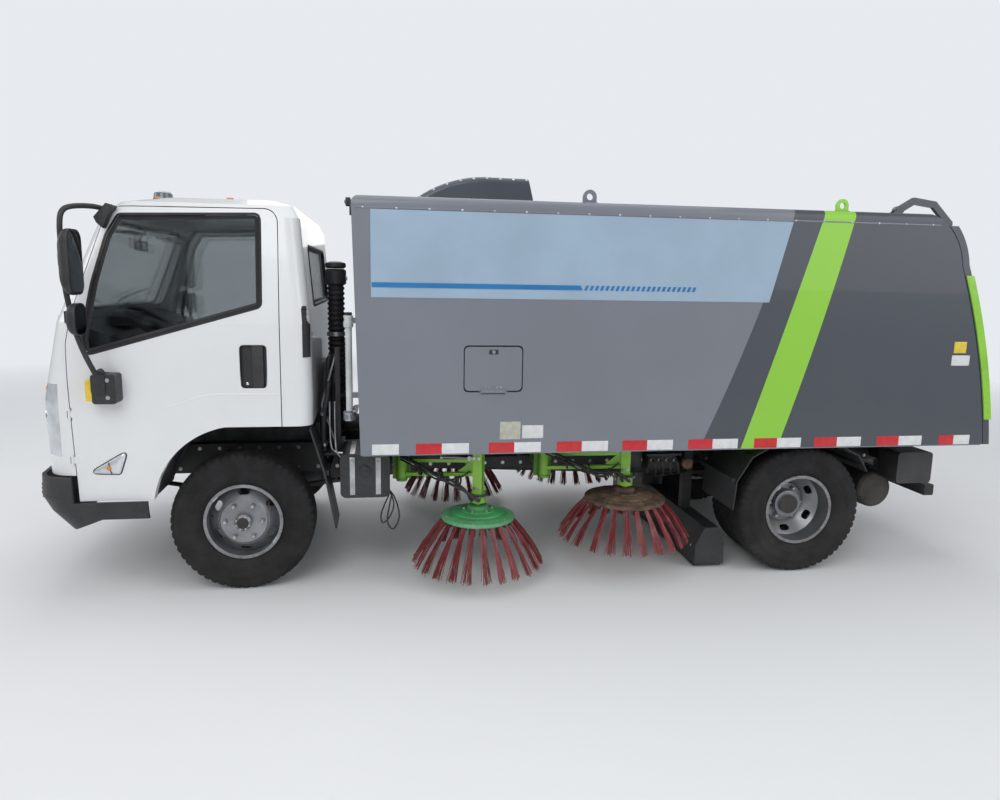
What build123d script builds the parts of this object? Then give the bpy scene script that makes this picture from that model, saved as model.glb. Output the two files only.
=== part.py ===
from build123d import *
from math import cos, radians, sin
import os

# Street sweeper truck: light cab-over chassis, four disc brushes, suction nozzle
# and a tipping hopper body with a top-hinged tailgate.
# Millimetres. +X forward, +Y to the vehicle's left, +Z up.
# Origin: on the ground, midway between the bumper's front and the tailgate's back.

os.makedirs("parts", exist_ok=True)

# Overall
WHEELBASE = 3308
FRONT_OVERHANG = 1090          # front axle to the bumper's foremost point
REAR_OVERHANG = 1192           # rear axle to the tailgate's rearmost point
TYRE_RADIUS = 393
RUN_GAP = 5                    # clearance between a moving piece and its neighbour
SEAT_GAP = 0.3                 # clearance between pieces that seat on each other
PIN_GAP = 0.3                  # radial clearance round a pin or spindle

OVERALL_LENGTH = FRONT_OVERHANG + WHEELBASE + REAR_OVERHANG
FRONT_X = OVERALL_LENGTH / 2
REAR_X = -OVERALL_LENGTH / 2
FRONT_AXLE_X = FRONT_X - FRONT_OVERHANG
REAR_AXLE_X = FRONT_AXLE_X - WHEELBASE
AXLE_Z = TYRE_RADIUS

SIDES = (("left", 1), ("right", -1))


def fx(distance):
    """X of a point given by its distance ahead of the front axle."""
    return FRONT_AXLE_X + distance


def side_plane(y):
    """Sketch plane square to Y, local x along +X and local y along +Z, normal along -Y."""
    return Plane(origin=(0, y, 0), x_dir=(1, 0, 0), z_dir=(0, -1, 0))


def cross_plane(x, y=0, z=0):
    """Sketch plane square to X, local x along +Y and local y along +Z, normal along +X."""
    return Plane(origin=(x, y, z), x_dir=(0, 1, 0), z_dir=(1, 0, 0))


def quarter_mid(centre, radius, angle):
    """Point at an angle on a circle, used as the middle of an arc."""
    return (centre[0] + radius * cos(radians(angle)), centre[1] + radius * sin(radians(angle)))


# Wheels and tyres
TYRE_WIDTH = 204
RIM_WIDTH = 140                # between the flanges
RIM_SEAT_RADIUS = 205
RIM_FLANGE_RADIUS = 216
RIM_WALL = 7
FLANGE_THICK = 6
DISC_THICK = 9
DISC_BORE = 45
DISC_FLAT_RADIUS = 122
HAND_HOLE_COUNT = 6
HAND_HOLE_CIRCLE = 163
HAND_HOLE_LENGTH = 62
HAND_HOLE_WIDTH = 32
FRONT_WHEEL_Y = 774
DUAL_SPACING = 236
REAR_OUTER_Y = 874
REAR_INNER_Y = REAR_OUTER_Y - DUAL_SPACING
FRONT_FACE_OUTSET = 58         # mounting face of the front disc, outwards of the rim's middle
DRUM_RADIUS = 160
FRONT_DRUM_DEPTH = 90
REAR_DRUM_DEPTH = 150
SPINDLE_RADIUS = 30
HUB_CAP_RADIUS = 46
HUB_CAP_LENGTH = 44
AXLE_FLANGE_RADIUS = 84
AXLE_FLANGE_LENGTH = 62
WHEEL_NUT_COUNT = 6
WHEEL_NUT_CIRCLE = 102
WHEEL_NUT_RADIUS = 14
WHEEL_NUT_HEIGHT = 22


def wheel_plane(x, y):
    """Plane through a wheel's axis: local x along +Y, local y along +Z."""
    return cross_plane(x, y, AXLE_Z)


def rim_barrel(plane, axis):
    """Rim barrel with its two flanges, revolved about the axle."""
    half = RIM_WIDTH / 2
    with BuildSketch(plane) as section:
        with BuildLine():
            Polyline(
                (-half - FLANGE_THICK, RIM_FLANGE_RADIUS),
                (-half, RIM_FLANGE_RADIUS),
                (-half, RIM_SEAT_RADIUS),
                (half, RIM_SEAT_RADIUS),
                (half, RIM_FLANGE_RADIUS),
                (half + FLANGE_THICK, RIM_FLANGE_RADIUS),
                (half + FLANGE_THICK, RIM_SEAT_RADIUS - RIM_WALL),
                (-half - FLANGE_THICK, RIM_SEAT_RADIUS - RIM_WALL),
                close=True,
            )
        make_face()
    revolve(section.sketch, axis=axis)


def rim_disc(plane, axis, root_y, face_y, toward):
    """Dished disc from the barrel to its flat mounting face, toward +1 or -1 along Y."""
    root_radius = RIM_SEAT_RADIUS - RIM_WALL + 1
    with BuildSketch(plane) as section:
        with BuildLine():
            Polyline(
                (root_y, root_radius),
                (root_y - toward * DISC_THICK * 1.3, root_radius),
                (face_y - toward * DISC_THICK, DISC_FLAT_RADIUS),
                (face_y - toward * DISC_THICK, DISC_BORE),
                (face_y, DISC_BORE),
                (face_y, DISC_FLAT_RADIUS + DISC_THICK / 2),
                close=True,
            )
        make_face()
    revolve(section.sketch, axis=axis)


def hand_holes(x, y_from, depth):
    """Ring of slotted holes through the disc's cone, cut along Y."""
    plane = Plane(origin=(x, y_from, AXLE_Z), x_dir=(1, 0, 0), z_dir=(0, 1, 0))
    with BuildSketch(plane) as holes:
        with PolarLocations(HAND_HOLE_CIRCLE, HAND_HOLE_COUNT, start_angle=30):
            SlotOverall(HAND_HOLE_LENGTH, HAND_HOLE_WIDTH, rotation=90)
    extrude(holes.sketch, amount=depth, mode=Mode.SUBTRACT)


def turned(x, y_from, length, radius, mode=Mode.ADD):
    """Cylinder on the axle's line, from y_from along +Y (negative length runs along -Y)."""
    plane = Plane(origin=(x, y_from, AXLE_Z), x_dir=(1, 0, 0), z_dir=(0, 1, 0))
    with BuildSketch(plane) as end:
        Circle(radius)
    extrude(end.sketch, amount=length, mode=mode)


def nut_ring(x, y_from, length):
    """Ring of wheel nuts standing on the mounting face."""
    plane = Plane(origin=(x, y_from, AXLE_Z), x_dir=(1, 0, 0), z_dir=(0, 1, 0))
    with BuildSketch(plane) as nuts:
        with PolarLocations(WHEEL_NUT_CIRCLE, WHEEL_NUT_COUNT):
            RegularPolygon(WHEEL_NUT_RADIUS, 6)
    extrude(nuts.sketch, amount=length)


def tyre_ring(x, y):
    """Tyre section between the rim's flanges, revolved about the axle."""
    bead = RIM_WIDTH / 2 - SEAT_GAP
    bead_radius = RIM_SEAT_RADIUS + SEAT_GAP
    half = TYRE_WIDTH / 2
    tread_half = half - 20
    shoulder = (half - 5, TYRE_RADIUS - 32)
    belly = (half, TYRE_RADIUS - 88)
    axis = Axis((x, 0, AXLE_Z), (0, 1, 0))
    with BuildSketch(wheel_plane(x, y)) as section:
        with BuildLine():
            Polyline((-bead, RIM_FLANGE_RADIUS + 8), (-bead, bead_radius), (bead, bead_radius),
                     (bead, RIM_FLANGE_RADIUS + 8))
            ThreePointArc((bead, RIM_FLANGE_RADIUS + 8), belly, shoulder)
            Line(shoulder, (tread_half, TYRE_RADIUS - 2))
            ThreePointArc((tread_half, TYRE_RADIUS - 2), (0, TYRE_RADIUS), (-tread_half, TYRE_RADIUS - 2))
            Line((-tread_half, TYRE_RADIUS - 2), (-shoulder[0], shoulder[1]))
            ThreePointArc((-shoulder[0], shoulder[1]), (-belly[0], belly[1]),
                          (-bead, RIM_FLANGE_RADIUS + 8))
        make_face()
    revolve(section.sketch, axis=axis)


for side, sign in SIDES:
    axle = Axis((FRONT_AXLE_X, 0, AXLE_Z), (0, 1, 0))
    middle = sign * FRONT_WHEEL_Y
    face = middle + sign * FRONT_FACE_OUTSET
    with BuildPart() as front_wheel:
        rim_barrel(wheel_plane(FRONT_AXLE_X, middle), axle)
        rim_disc(wheel_plane(FRONT_AXLE_X, middle), axle, -sign * 8, sign * FRONT_FACE_OUTSET, sign)
        hand_holes(FRONT_AXLE_X, middle - 60, 120)
        turned(FRONT_AXLE_X, face - sign * DISC_THICK, -sign * FRONT_DRUM_DEPTH, DRUM_RADIUS - 22)
        turned(FRONT_AXLE_X, face, sign * HUB_CAP_LENGTH, HUB_CAP_RADIUS)
        turned(FRONT_AXLE_X, face - sign * DISC_THICK, sign * DISC_THICK, DISC_BORE + 1)
        chamfer(front_wheel.edges().filter_by(GeomType.CIRCLE).sort_by(Axis.Y)[-1 if sign > 0 else 0], 10)
        nut_ring(FRONT_AXLE_X, face, sign * WHEEL_NUT_HEIGHT)
        turned(FRONT_AXLE_X, face - sign * (DISC_THICK + FRONT_DRUM_DEPTH), sign * FRONT_DRUM_DEPTH,
               SPINDLE_RADIUS + PIN_GAP, Mode.SUBTRACT)
    front_wheel.part.label = f"front_wheel_{side}"
    export_step(front_wheel.part, f"parts/front_wheel_{side}.step")

    with BuildPart() as front_tyre:
        tyre_ring(FRONT_AXLE_X, middle)
    front_tyre.part.label = f"front_tyre_{side}"
    export_step(front_tyre.part, f"parts/front_tyre_{side}.step")

for side, sign in SIDES:
    axle = Axis((REAR_AXLE_X, 0, AXLE_Z), (0, 1, 0))
    outer = sign * REAR_OUTER_Y
    inner = sign * REAR_INNER_Y
    offset_y = DUAL_SPACING / 2
    joint_y = sign * (REAR_OUTER_Y - offset_y)
    with BuildPart() as rear_wheels:
        rim_barrel(wheel_plane(REAR_AXLE_X, outer), axle)
        rim_disc(wheel_plane(REAR_AXLE_X, outer), axle, -sign * 52, -sign * offset_y, -sign)
        rim_barrel(wheel_plane(REAR_AXLE_X, inner), axle)
        rim_disc(wheel_plane(REAR_AXLE_X, inner), axle, sign * 52, sign * offset_y, sign)
        hand_holes(REAR_AXLE_X, joint_y - 80, 160)
        turned(REAR_AXLE_X, joint_y - sign * DISC_THICK, -sign * REAR_DRUM_DEPTH, DRUM_RADIUS - 22)
        turned(REAR_AXLE_X, joint_y - sign * DISC_THICK, sign * (AXLE_FLANGE_LENGTH + DISC_THICK),
               AXLE_FLANGE_RADIUS)
        turned(REAR_AXLE_X, joint_y + sign * AXLE_FLANGE_LENGTH, sign * 16, AXLE_FLANGE_RADIUS - 24)
        nut_ring(REAR_AXLE_X, joint_y + sign * DISC_THICK, sign * WHEEL_NUT_HEIGHT)
        turned(REAR_AXLE_X, joint_y - sign * (DISC_THICK + REAR_DRUM_DEPTH), sign * REAR_DRUM_DEPTH,
               SPINDLE_RADIUS + PIN_GAP, Mode.SUBTRACT)
    rear_wheels.part.label = f"rear_wheels_{side}"
    export_step(rear_wheels.part, f"parts/rear_wheels_{side}.step")

    with BuildPart() as rear_tyres:
        tyre_ring(REAR_AXLE_X, outer)
        tyre_ring(REAR_AXLE_X, inner)
    rear_tyres.part.label = f"rear_tyres_{side}"
    export_step(rear_tyres.part, f"parts/rear_tyres_{side}.step")

# Chassis frame
RAIL_OUTER_Y = 380
RAIL_FLANGE = 65
RAIL_WEB = 8
RAIL_BOTTOM = 560
RAIL_HEIGHT = 180
RAIL_TOP = RAIL_BOTTOM + RAIL_HEIGHT
RAIL_FRONT = fx(930)
RAIL_REAR = REAR_AXLE_X - 1020
SPRING_Y = RAIL_OUTER_Y - RAIL_FLANGE / 2
SPRING_WIDTH = 60
LEAF_THICK = 10
EYE_RADIUS = 20
EYE_BORE = 9
EYE_Z = 505
HANGER_LENGTH = 70
REST_PAD = 5

# Each row: axle X, front eye ahead of the axle, rear eye behind it, leaves, spring's height at the axle
FRONT_SPRING = (FRONT_AXLE_X, 560, 500, 4, 452)
REAR_SPRING = (REAR_AXLE_X, 560, 560, 5, 500)
SPRINGS = (FRONT_SPRING, REAR_SPRING)

# Tipping body's rear hinge, on the frame's rear end
TIP_X = REAR_AXLE_X - 990
TIP_Z = RAIL_TOP + 30
TIP_PIN_RADIUS = 16
TIP_LUG_RADIUS = 30
TIP_LUG_Y = 240
TIP_LUG_THICK = 20
TIP_CHEEK_THICK = 12
BODY_FLOOR_Z = 805

# Cab tilt hinge, at the frame's front end
CAB_PIVOT_X = fx(938)
CAB_PIVOT_Z = 752
CAB_LUG_RADIUS = 26
CAB_LUG_Y = 300
CAB_PIN_RADIUS = 12

with BuildPart() as frame_rails:
    with BuildSketch(cross_plane(RAIL_REAR, RAIL_OUTER_Y - RAIL_FLANGE / 2, RAIL_BOTTOM + RAIL_HEIGHT / 2)):
        Rectangle(RAIL_FLANGE, RAIL_HEIGHT)
        with Locations((-RAIL_WEB, 0)):
            Rectangle(RAIL_FLANGE, RAIL_HEIGHT - 2 * RAIL_WEB, mode=Mode.SUBTRACT)
    extrude(amount=RAIL_FRONT - RAIL_REAR)
    for axle_x, ahead, behind, leaves, height in SPRINGS:
        for eye_x in (axle_x + ahead, axle_x - behind):
            with BuildSketch(side_plane(SPRING_Y)):
                with BuildLine():
                    Polyline((eye_x - HANGER_LENGTH, RAIL_BOTTOM), (eye_x + HANGER_LENGTH, RAIL_BOTTOM),
                             (eye_x + EYE_RADIUS + 8, EYE_Z), (eye_x - EYE_RADIUS - 8, EYE_Z), close=True)
                make_face()
                with Locations((eye_x, EYE_Z)):
                    Circle(EYE_RADIUS + SEAT_GAP, mode=Mode.SUBTRACT)
            extrude(amount=SPRING_WIDTH / 2, both=True)
    for pad_x in (fx(-760), fx(-1900), fx(-3000), fx(-4050)):
        with Locations((pad_x, SPRING_Y, RAIL_TOP + REST_PAD / 2)):
            Box(120, RAIL_FLANGE - 14, REST_PAD)
    mirror(about=Plane.XZ)
frame_rails.part.label = "frame_rails"
export_step(frame_rails.part, "parts/frame_rails.step")

CROSS_WIDTH = 90
CROSS_BOTTOM = 572
CROSS_HEIGHT = 56
WEB_INNER_Y = RAIL_OUTER_Y - RAIL_WEB
# Distance of each plain cross-member ahead of the front axle
CROSS_PLACES = (-1090, -1700, -2440, -3080, -3900)
TIP_BASE = (fx(-3500), 690)    # barrel's pivot on the frame
TIP_BASE_LUG = 34
TIP_BASE_CHEEK_Y = 62

with BuildPart() as cross_members:
    for place in CROSS_PLACES:
        with Locations((fx(place), 0, CROSS_BOTTOM + CROSS_HEIGHT / 2)):
            Box(CROSS_WIDTH, 2 * WEB_INNER_Y, CROSS_HEIGHT)
    # Member under the tipping cylinder's foot, with its two cheeks
    with Locations((TIP_BASE[0], 0, CROSS_BOTTOM + CROSS_HEIGHT / 2)):
        Box(CROSS_WIDTH, 2 * WEB_INNER_Y, CROSS_HEIGHT)
    for cheek_y in (-TIP_BASE_CHEEK_Y, TIP_BASE_CHEEK_Y):
        with BuildSketch(side_plane(cheek_y)):
            with Locations((TIP_BASE[0], (TIP_BASE[1] + CROSS_BOTTOM + CROSS_HEIGHT) / 2)):
                Rectangle(2 * TIP_BASE_LUG, TIP_BASE[1] - CROSS_BOTTOM - CROSS_HEIGHT)
            with Locations(TIP_BASE):
                Circle(TIP_BASE_LUG)
        extrude(amount=6, both=True)
    with BuildSketch(side_plane(0)):
        with Locations(TIP_BASE):
            Circle(18)
    extrude(amount=TIP_BASE_CHEEK_Y, both=True)
    # Rear member with the cheeks and pins of the tipping hinge
    rear_member_x = RAIL_REAR + CROSS_WIDTH / 2
    with Locations((rear_member_x, 0, RAIL_BOTTOM + RAIL_HEIGHT / 2)):
        Box(CROSS_WIDTH, 2 * WEB_INNER_Y, RAIL_HEIGHT - 2 * RAIL_WEB)
    for lug_y in (-TIP_LUG_Y, TIP_LUG_Y):
        for cheek in (-1, 1):
            cheek_y = lug_y + cheek * (TIP_LUG_THICK / 2 + PIN_GAP + TIP_CHEEK_THICK / 2)
            with BuildSketch(side_plane(cheek_y)):
                with Locations((TIP_X, (TIP_Z + RAIL_TOP - RAIL_WEB) / 2)):
                    Rectangle(2 * TIP_LUG_RADIUS, TIP_Z - RAIL_TOP + RAIL_WEB)
                with Locations((TIP_X, TIP_Z)):
                    Circle(TIP_LUG_RADIUS)
            extrude(amount=TIP_CHEEK_THICK / 2, both=True)
        with BuildSketch(side_plane(lug_y)):
            with Locations((TIP_X, TIP_Z)):
                Circle(TIP_PIN_RADIUS)
        extrude(amount=TIP_LUG_THICK / 2 + TIP_CHEEK_THICK, both=True)
    # Front member with the posts and pins of the cab's tilt hinge
    with Locations((RAIL_FRONT - CROSS_WIDTH / 2, 0, CROSS_BOTTOM + CROSS_HEIGHT / 2)):
        Box(CROSS_WIDTH, 2 * WEB_INNER_Y, CROSS_HEIGHT)
    for post_y in (-CAB_LUG_Y, CAB_LUG_Y):
        inner_side = -1 if post_y > 0 else 1
        post_centre = post_y + inner_side * (22 + PIN_GAP)
        with BuildSketch(side_plane(post_centre)):
            with BuildLine():
                Polyline((RAIL_FRONT - CROSS_WIDTH, CROSS_BOTTOM), (RAIL_FRONT, CROSS_BOTTOM),
                         (CAB_PIVOT_X + 18, CAB_PIVOT_Z), (CAB_PIVOT_X - 22, CAB_PIVOT_Z),
                         (RAIL_FRONT - CROSS_WIDTH, CROSS_BOTTOM + CROSS_HEIGHT), close=True)
            make_face()
            with Locations((CAB_PIVOT_X, CAB_PIVOT_Z)):
                Circle(CAB_LUG_RADIUS - 4)
        extrude(amount=12, both=True)
        with BuildSketch(side_plane(post_centre)):
            with Locations((CAB_PIVOT_X, CAB_PIVOT_Z)):
                Circle(CAB_PIN_RADIUS)
        extrude(amount=inner_side * (12 + 2 * (22 - 12)))
cross_members.part.label = "cross_members"
export_step(cross_members.part, "parts/cross_members.step")

# Axles, springs and steering
KING_PIN_Y = 664
KING_PIN_RADIUS = 15
BEAM_THICK = 74
BEAM_TOP = 352
BEAM_BOTTOM = 276
BEAM_EYE_RADIUS = 34
BEAM_EYE_HALF = 40
BANJO_RADIUS = 150
BANJO_HALF = 95
AXLE_TUBE_RADIUS = 58


def leaf_spring(row):
    """Arched leaf pack with its two eyes, on the spring's own plane, both sides."""
    axle_x, ahead, behind, leaves, height = row
    with BuildSketch(side_plane(SPRING_Y)) as pack:
        for leaf in range(leaves):
            share = 1 - leaf * 0.72 / leaves
            front = axle_x + ahead * share
            back = axle_x - behind * share
            rise = EYE_Z - height
            top_mid = height - leaf * LEAF_THICK
            end_z = top_mid + rise * share * share
            with BuildLine():
                ThreePointArc((front, end_z), (axle_x, top_mid), (back, end_z))
                Line((back, end_z), (back, end_z - LEAF_THICK - 0.5))
                ThreePointArc((back, end_z - LEAF_THICK - 0.5), (axle_x, top_mid - LEAF_THICK - 0.5),
                              (front, end_z - LEAF_THICK - 0.5))
                Line((front, end_z - LEAF_THICK - 0.5), (front, end_z))
            make_face()
        for eye_x in (axle_x + ahead, axle_x - behind):
            with Locations((eye_x, EYE_Z)):
                Circle(EYE_RADIUS)
                Circle(EYE_BORE, mode=Mode.SUBTRACT)
    extrude(pack.sketch, amount=SPRING_WIDTH / 2, both=True)


with BuildPart() as front_axle:
    leaf_spring(FRONT_SPRING)
    pad_top = FRONT_SPRING[4] - FRONT_SPRING[3] * LEAF_THICK
    with Locations((FRONT_AXLE_X, SPRING_Y, (BEAM_TOP + pad_top) / 2)):
        Box(110, SPRING_WIDTH + 16, pad_top - BEAM_TOP + 2)
    with Locations((FRONT_AXLE_X, SPRING_Y, FRONT_SPRING[4] + 8)):
        Box(110, SPRING_WIDTH + 16, 18)
    mirror(about=Plane.XZ)
    with BuildSketch(cross_plane(FRONT_AXLE_X)):
        with BuildLine():
            half_beam = ((KING_PIN_Y, AXLE_Z + 28), (570, AXLE_Z + 24), (470, BEAM_TOP), (-470, BEAM_TOP),
                         (-570, AXLE_Z + 24), (-KING_PIN_Y, AXLE_Z + 28), (-KING_PIN_Y, AXLE_Z - 30),
                         (-590, AXLE_Z - 34), (-480, BEAM_BOTTOM), (480, BEAM_BOTTOM),
                         (590, AXLE_Z - 34), (KING_PIN_Y, AXLE_Z - 30))
            Polyline(*half_beam, close=True)
        make_face()
    extrude(amount=BEAM_THICK / 2, both=True)
    for web_side in (-1, 1):
        with BuildSketch(cross_plane(FRONT_AXLE_X + web_side * BEAM_THICK / 2)):
            with Locations((0, (BEAM_TOP + BEAM_BOTTOM) / 2)):
                Rectangle(2 * 280, BEAM_TOP - BEAM_BOTTOM - 26)
        extrude(amount=-web_side * 25, mode=Mode.SUBTRACT)
    for eye_y in (-KING_PIN_Y, KING_PIN_Y):
        with Locations((FRONT_AXLE_X, eye_y, AXLE_Z)):
            Cylinder(BEAM_EYE_RADIUS, 2 * BEAM_EYE_HALF)
            Cylinder(KING_PIN_RADIUS + PIN_GAP, 2 * BEAM_EYE_HALF + 20, mode=Mode.SUBTRACT)
        # The yoke's plate turns past the beam's end, so the beam is kept inside the eye's round
        outward = 1 if eye_y > 0 else -1
        with Locations((FRONT_AXLE_X, eye_y + outward * (BEAM_EYE_RADIUS + 30), AXLE_Z)):
            Box(2 * BEAM_THICK, 60, 2 * BEAM_EYE_HALF, mode=Mode.SUBTRACT)
front_axle.part.label = "front_axle"
export_step(front_axle.part, "parts/front_axle.step")

with BuildPart() as rear_axle:
    leaf_spring(REAR_SPRING)
    pad_top = REAR_SPRING[4] - REAR_SPRING[3] * LEAF_THICK
    with Locations((REAR_AXLE_X, SPRING_Y, (AXLE_Z + pad_top) / 2)):
        Box(120, SPRING_WIDTH + 16, pad_top - AXLE_Z + 2)
    with Locations((REAR_AXLE_X, SPRING_Y, REAR_SPRING[4] + 8)):
        Box(120, SPRING_WIDTH + 16, 18)
    mirror(about=Plane.XZ)
    tube_end = REAR_OUTER_Y - DUAL_SPACING / 2 - DISC_THICK - REAR_DRUM_DEPTH - RUN_GAP
    with BuildSketch(wheel_plane(REAR_AXLE_X, 0)):
        with BuildLine():
            Polyline((-tube_end, 0), (-tube_end, AXLE_TUBE_RADIUS), (-BANJO_HALF - 130, AXLE_TUBE_RADIUS),
                     (-BANJO_HALF, BANJO_RADIUS - 20))
            ThreePointArc((-BANJO_HALF, BANJO_RADIUS - 20), (0, BANJO_RADIUS + 4),
                          (BANJO_HALF, BANJO_RADIUS - 20))
            Polyline((BANJO_HALF, BANJO_RADIUS - 20), (BANJO_HALF + 130, AXLE_TUBE_RADIUS),
                     (tube_end, AXLE_TUBE_RADIUS), (tube_end, 0), (-tube_end, 0))
        make_face()
    revolve(axis=Axis((REAR_AXLE_X, 0, AXLE_Z), (0, 1, 0)))
    for spindle_sign in (-1, 1):
        turned(REAR_AXLE_X, spindle_sign * (tube_end - 2), spindle_sign * (REAR_DRUM_DEPTH + RUN_GAP),
               SPINDLE_RADIUS)
    # Pinion nose, where the propeller shaft comes in
    with Locations((REAR_AXLE_X + BANJO_RADIUS, 0, AXLE_Z + 20)):
        Cylinder(62, 150, rotation=(0, 90, 0))
rear_axle.part.label = "rear_axle"
export_step(rear_axle.part, "parts/rear_axle.step")

KNUCKLE_PLATE_IN = 42
KNUCKLE_PLATE_THICK = 22
KNUCKLE_HALF = 68
KNUCKLE_WIDTH = 84
ARM_BACK = 190                 # steering arm's ball joint, behind the king pin
ARM_INSET = 46
ARM_Z = AXLE_Z - 58
TIE_ROD_RADIUS = 14

for side, sign in SIDES:
    pin_y = sign * KING_PIN_Y
    plate_y = pin_y + sign * (KNUCKLE_PLATE_IN + KNUCKLE_PLATE_THICK / 2)
    with BuildPart() as knuckle:
        with Locations((FRONT_AXLE_X, plate_y, AXLE_Z)):
            Box(KNUCKLE_WIDTH, KNUCKLE_PLATE_THICK, 2 * KNUCKLE_HALF)
        lug_high = KNUCKLE_HALF - BEAM_EYE_HALF - 2
        for lug_sign in (-1, 1):
            lug_z = AXLE_Z + lug_sign * (BEAM_EYE_HALF + 2 + lug_high / 2)
            with BuildSketch(Plane.XY.offset(lug_z)):
                with Locations((FRONT_AXLE_X, pin_y)):
                    Circle(30)
                with Locations((FRONT_AXLE_X, pin_y + sign * KNUCKLE_PLATE_IN / 2)):
                    Rectangle(60, KNUCKLE_PLATE_IN + 2)
            extrude(amount=lug_high / 2, both=True)
        with Locations((FRONT_AXLE_X, pin_y, AXLE_Z)):
            Cylinder(KING_PIN_RADIUS, 2 * KNUCKLE_HALF)
        spindle_end = FRONT_WHEEL_Y + FRONT_FACE_OUTSET - DISC_THICK - SEAT_GAP
        turned(FRONT_AXLE_X, plate_y, sign * (spindle_end - abs(plate_y)), SPINDLE_RADIUS)
        # Steering arm, from the lower lug back to the ball joint
        with BuildSketch(Plane.XY.offset(ARM_Z)):
            with BuildLine():
                Polyline((FRONT_AXLE_X + 20, pin_y + sign * 26), (FRONT_AXLE_X - 30, pin_y + sign * 26),
                         (FRONT_AXLE_X - ARM_BACK - 8, pin_y - sign * (ARM_INSET - 18)),
                         (FRONT_AXLE_X - ARM_BACK - 8, pin_y - sign * (ARM_INSET + 18)),
                         (FRONT_AXLE_X - 20, pin_y - sign * 22), (FRONT_AXLE_X + 20, pin_y - sign * 22),
                         close=True)
            make_face()
            with Locations((FRONT_AXLE_X - ARM_BACK, pin_y - sign * ARM_INSET)):
                Circle(24)
        extrude(amount=10, both=True)
    knuckle.part.label = f"knuckle_{side}"
    export_step(knuckle.part, f"parts/knuckle_{side}.step")

TIE_ROD_Z = ARM_Z - 10 - SEAT_GAP - 18
with BuildPart() as tie_rod:
    ball_y = KING_PIN_Y - ARM_INSET
    with Locations((FRONT_AXLE_X - ARM_BACK, 0, TIE_ROD_Z)):
        Cylinder(TIE_ROD_RADIUS, 2 * ball_y, rotation=(90, 0, 0))
    for end_y in (-ball_y, ball_y):
        with Locations((FRONT_AXLE_X - ARM_BACK, end_y, TIE_ROD_Z)):
            Cylinder(22, 36)
tie_rod.part.label = "tie_rod"
export_step(tie_rod.part, "parts/tie_rod.step")

# Driveline: engine and gearbox as plain blocks, and the propeller shaft to the rear axle
ENGINE_FRONT = fx(350)
ENGINE_REAR = fx(-380)
ENGINE_WIDTH = 520
ENGINE_BOTTOM = 420
ENGINE_TOP = 905
GEARBOX_REAR = fx(-1000)
SHAFT_RADIUS = 38

with BuildPart() as driveline:
    with Locations(((ENGINE_FRONT + ENGINE_REAR) / 2, 0, (ENGINE_BOTTOM + ENGINE_TOP) / 2)):
        Box(ENGINE_FRONT - ENGINE_REAR, ENGINE_WIDTH, ENGINE_TOP - ENGINE_BOTTOM)
    chamfer(driveline.edges().filter_by(Axis.X), 60)
    with BuildSketch(cross_plane(ENGINE_REAR, 0, 520)):
        Circle(150)
    with BuildSketch(cross_plane(GEARBOX_REAR, 0, 505)):
        Circle(60)
    loft()
    gear_end = (GEARBOX_REAR + 2, 0, 505)
    nose = (REAR_AXLE_X + BANJO_RADIUS + 75 + 4, 0, AXLE_Z + 20)
    shaft_line = Line(gear_end, nose)
    with BuildSketch(shaft_line ^ 0):
        Circle(SHAFT_RADIUS)
    sweep(path=shaft_line)
driveline.part.label = "driveline"
export_step(driveline.part, "parts/driveline.step")

# Cab: one outer form and its offsets, split into the pressed panels
CAB_WALL = 58                  # whole thickness of door, pillar and panel
CAB_ROOF_THICK = 42
CAB_BOTTOM = 565
CAB_FRONT_BOTTOM = 706
CAB_REAR_BOTTOM = 956
CAB_BELT = 1508                # front panel below, windscreen pillars above
CAB_RAIL = 2066                # roof panel above
CORNER_RADIUS = 158
REAR_CORNER_RADIUS = 78
FRONT_BOW = 56
GLASS_INSET = 15
GLASS_THICK = 6
DOOR_SEAM = 5
GLASS_SEAL = 1                 # clearance of a pane in its opening
FLOOR_THICK = 36

# Each row: height, front at the middle ahead of the axle, half width, back ahead of the axle
CAB_SECTIONS = (
    (CAB_BOTTOM, 1040, 945, -386),
    (1100, 1046, 950, -400),
    (CAB_BELT, 962, 944, -394),
    (CAB_RAIL, 722, 892, -347),
    (2130, 640, 852, -316),
    (2164, 470, 742, -205),
)


def cab_form(inset):
    """The cab's outer shape drawn in by a distance all round."""
    faces = []
    last_height = CAB_SECTIONS[-2][0] + (CAB_SECTIONS[-1][0] - CAB_SECTIONS[-2][0]) * 0.2 - inset * 0.6
    rows = CAB_SECTIONS if inset < 1 else CAB_SECTIONS[:-2] + ((last_height,) + CAB_SECTIONS[-2][1:],)
    for height, front, half_width, back in rows:
        nose = fx(front) - inset
        half = half_width - inset
        rear = fx(back) + inset
        corner = CORNER_RADIUS - inset * 0.6
        heel = REAR_CORNER_RADIUS - inset * 0.6
        cheek = nose - FRONT_BOW
        front_centre = (cheek - corner, half - corner)
        rear_centre = (rear + heel, half - heel)
        front_mid = quarter_mid(front_centre, corner, 45)
        rear_mid = quarter_mid(rear_centre, heel, 135)
        with BuildSketch(Plane.XY.offset(height)) as level:
            with BuildLine():
                Line((rear, -half + heel), (rear, half - heel))
                ThreePointArc((rear, half - heel), rear_mid, (rear + heel, half))
                Line((rear + heel, half), (cheek - corner, half))
                ThreePointArc((cheek - corner, half), front_mid, (cheek, half - corner))
                ThreePointArc((cheek, half - corner), (nose, 0), (cheek, -half + corner))
                ThreePointArc((cheek, -half + corner), (front_mid[0], -front_mid[1]),
                              (cheek - corner, -half))
                Line((cheek - corner, -half), (rear + heel, -half))
                ThreePointArc((rear + heel, -half), (rear_mid[0], -rear_mid[1]), (rear, -half + heel))
            make_face()
        faces.append(level.sketch)
    with BuildPart() as form:
        loft(sections=faces, ruled=True)
    return form.part


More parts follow.
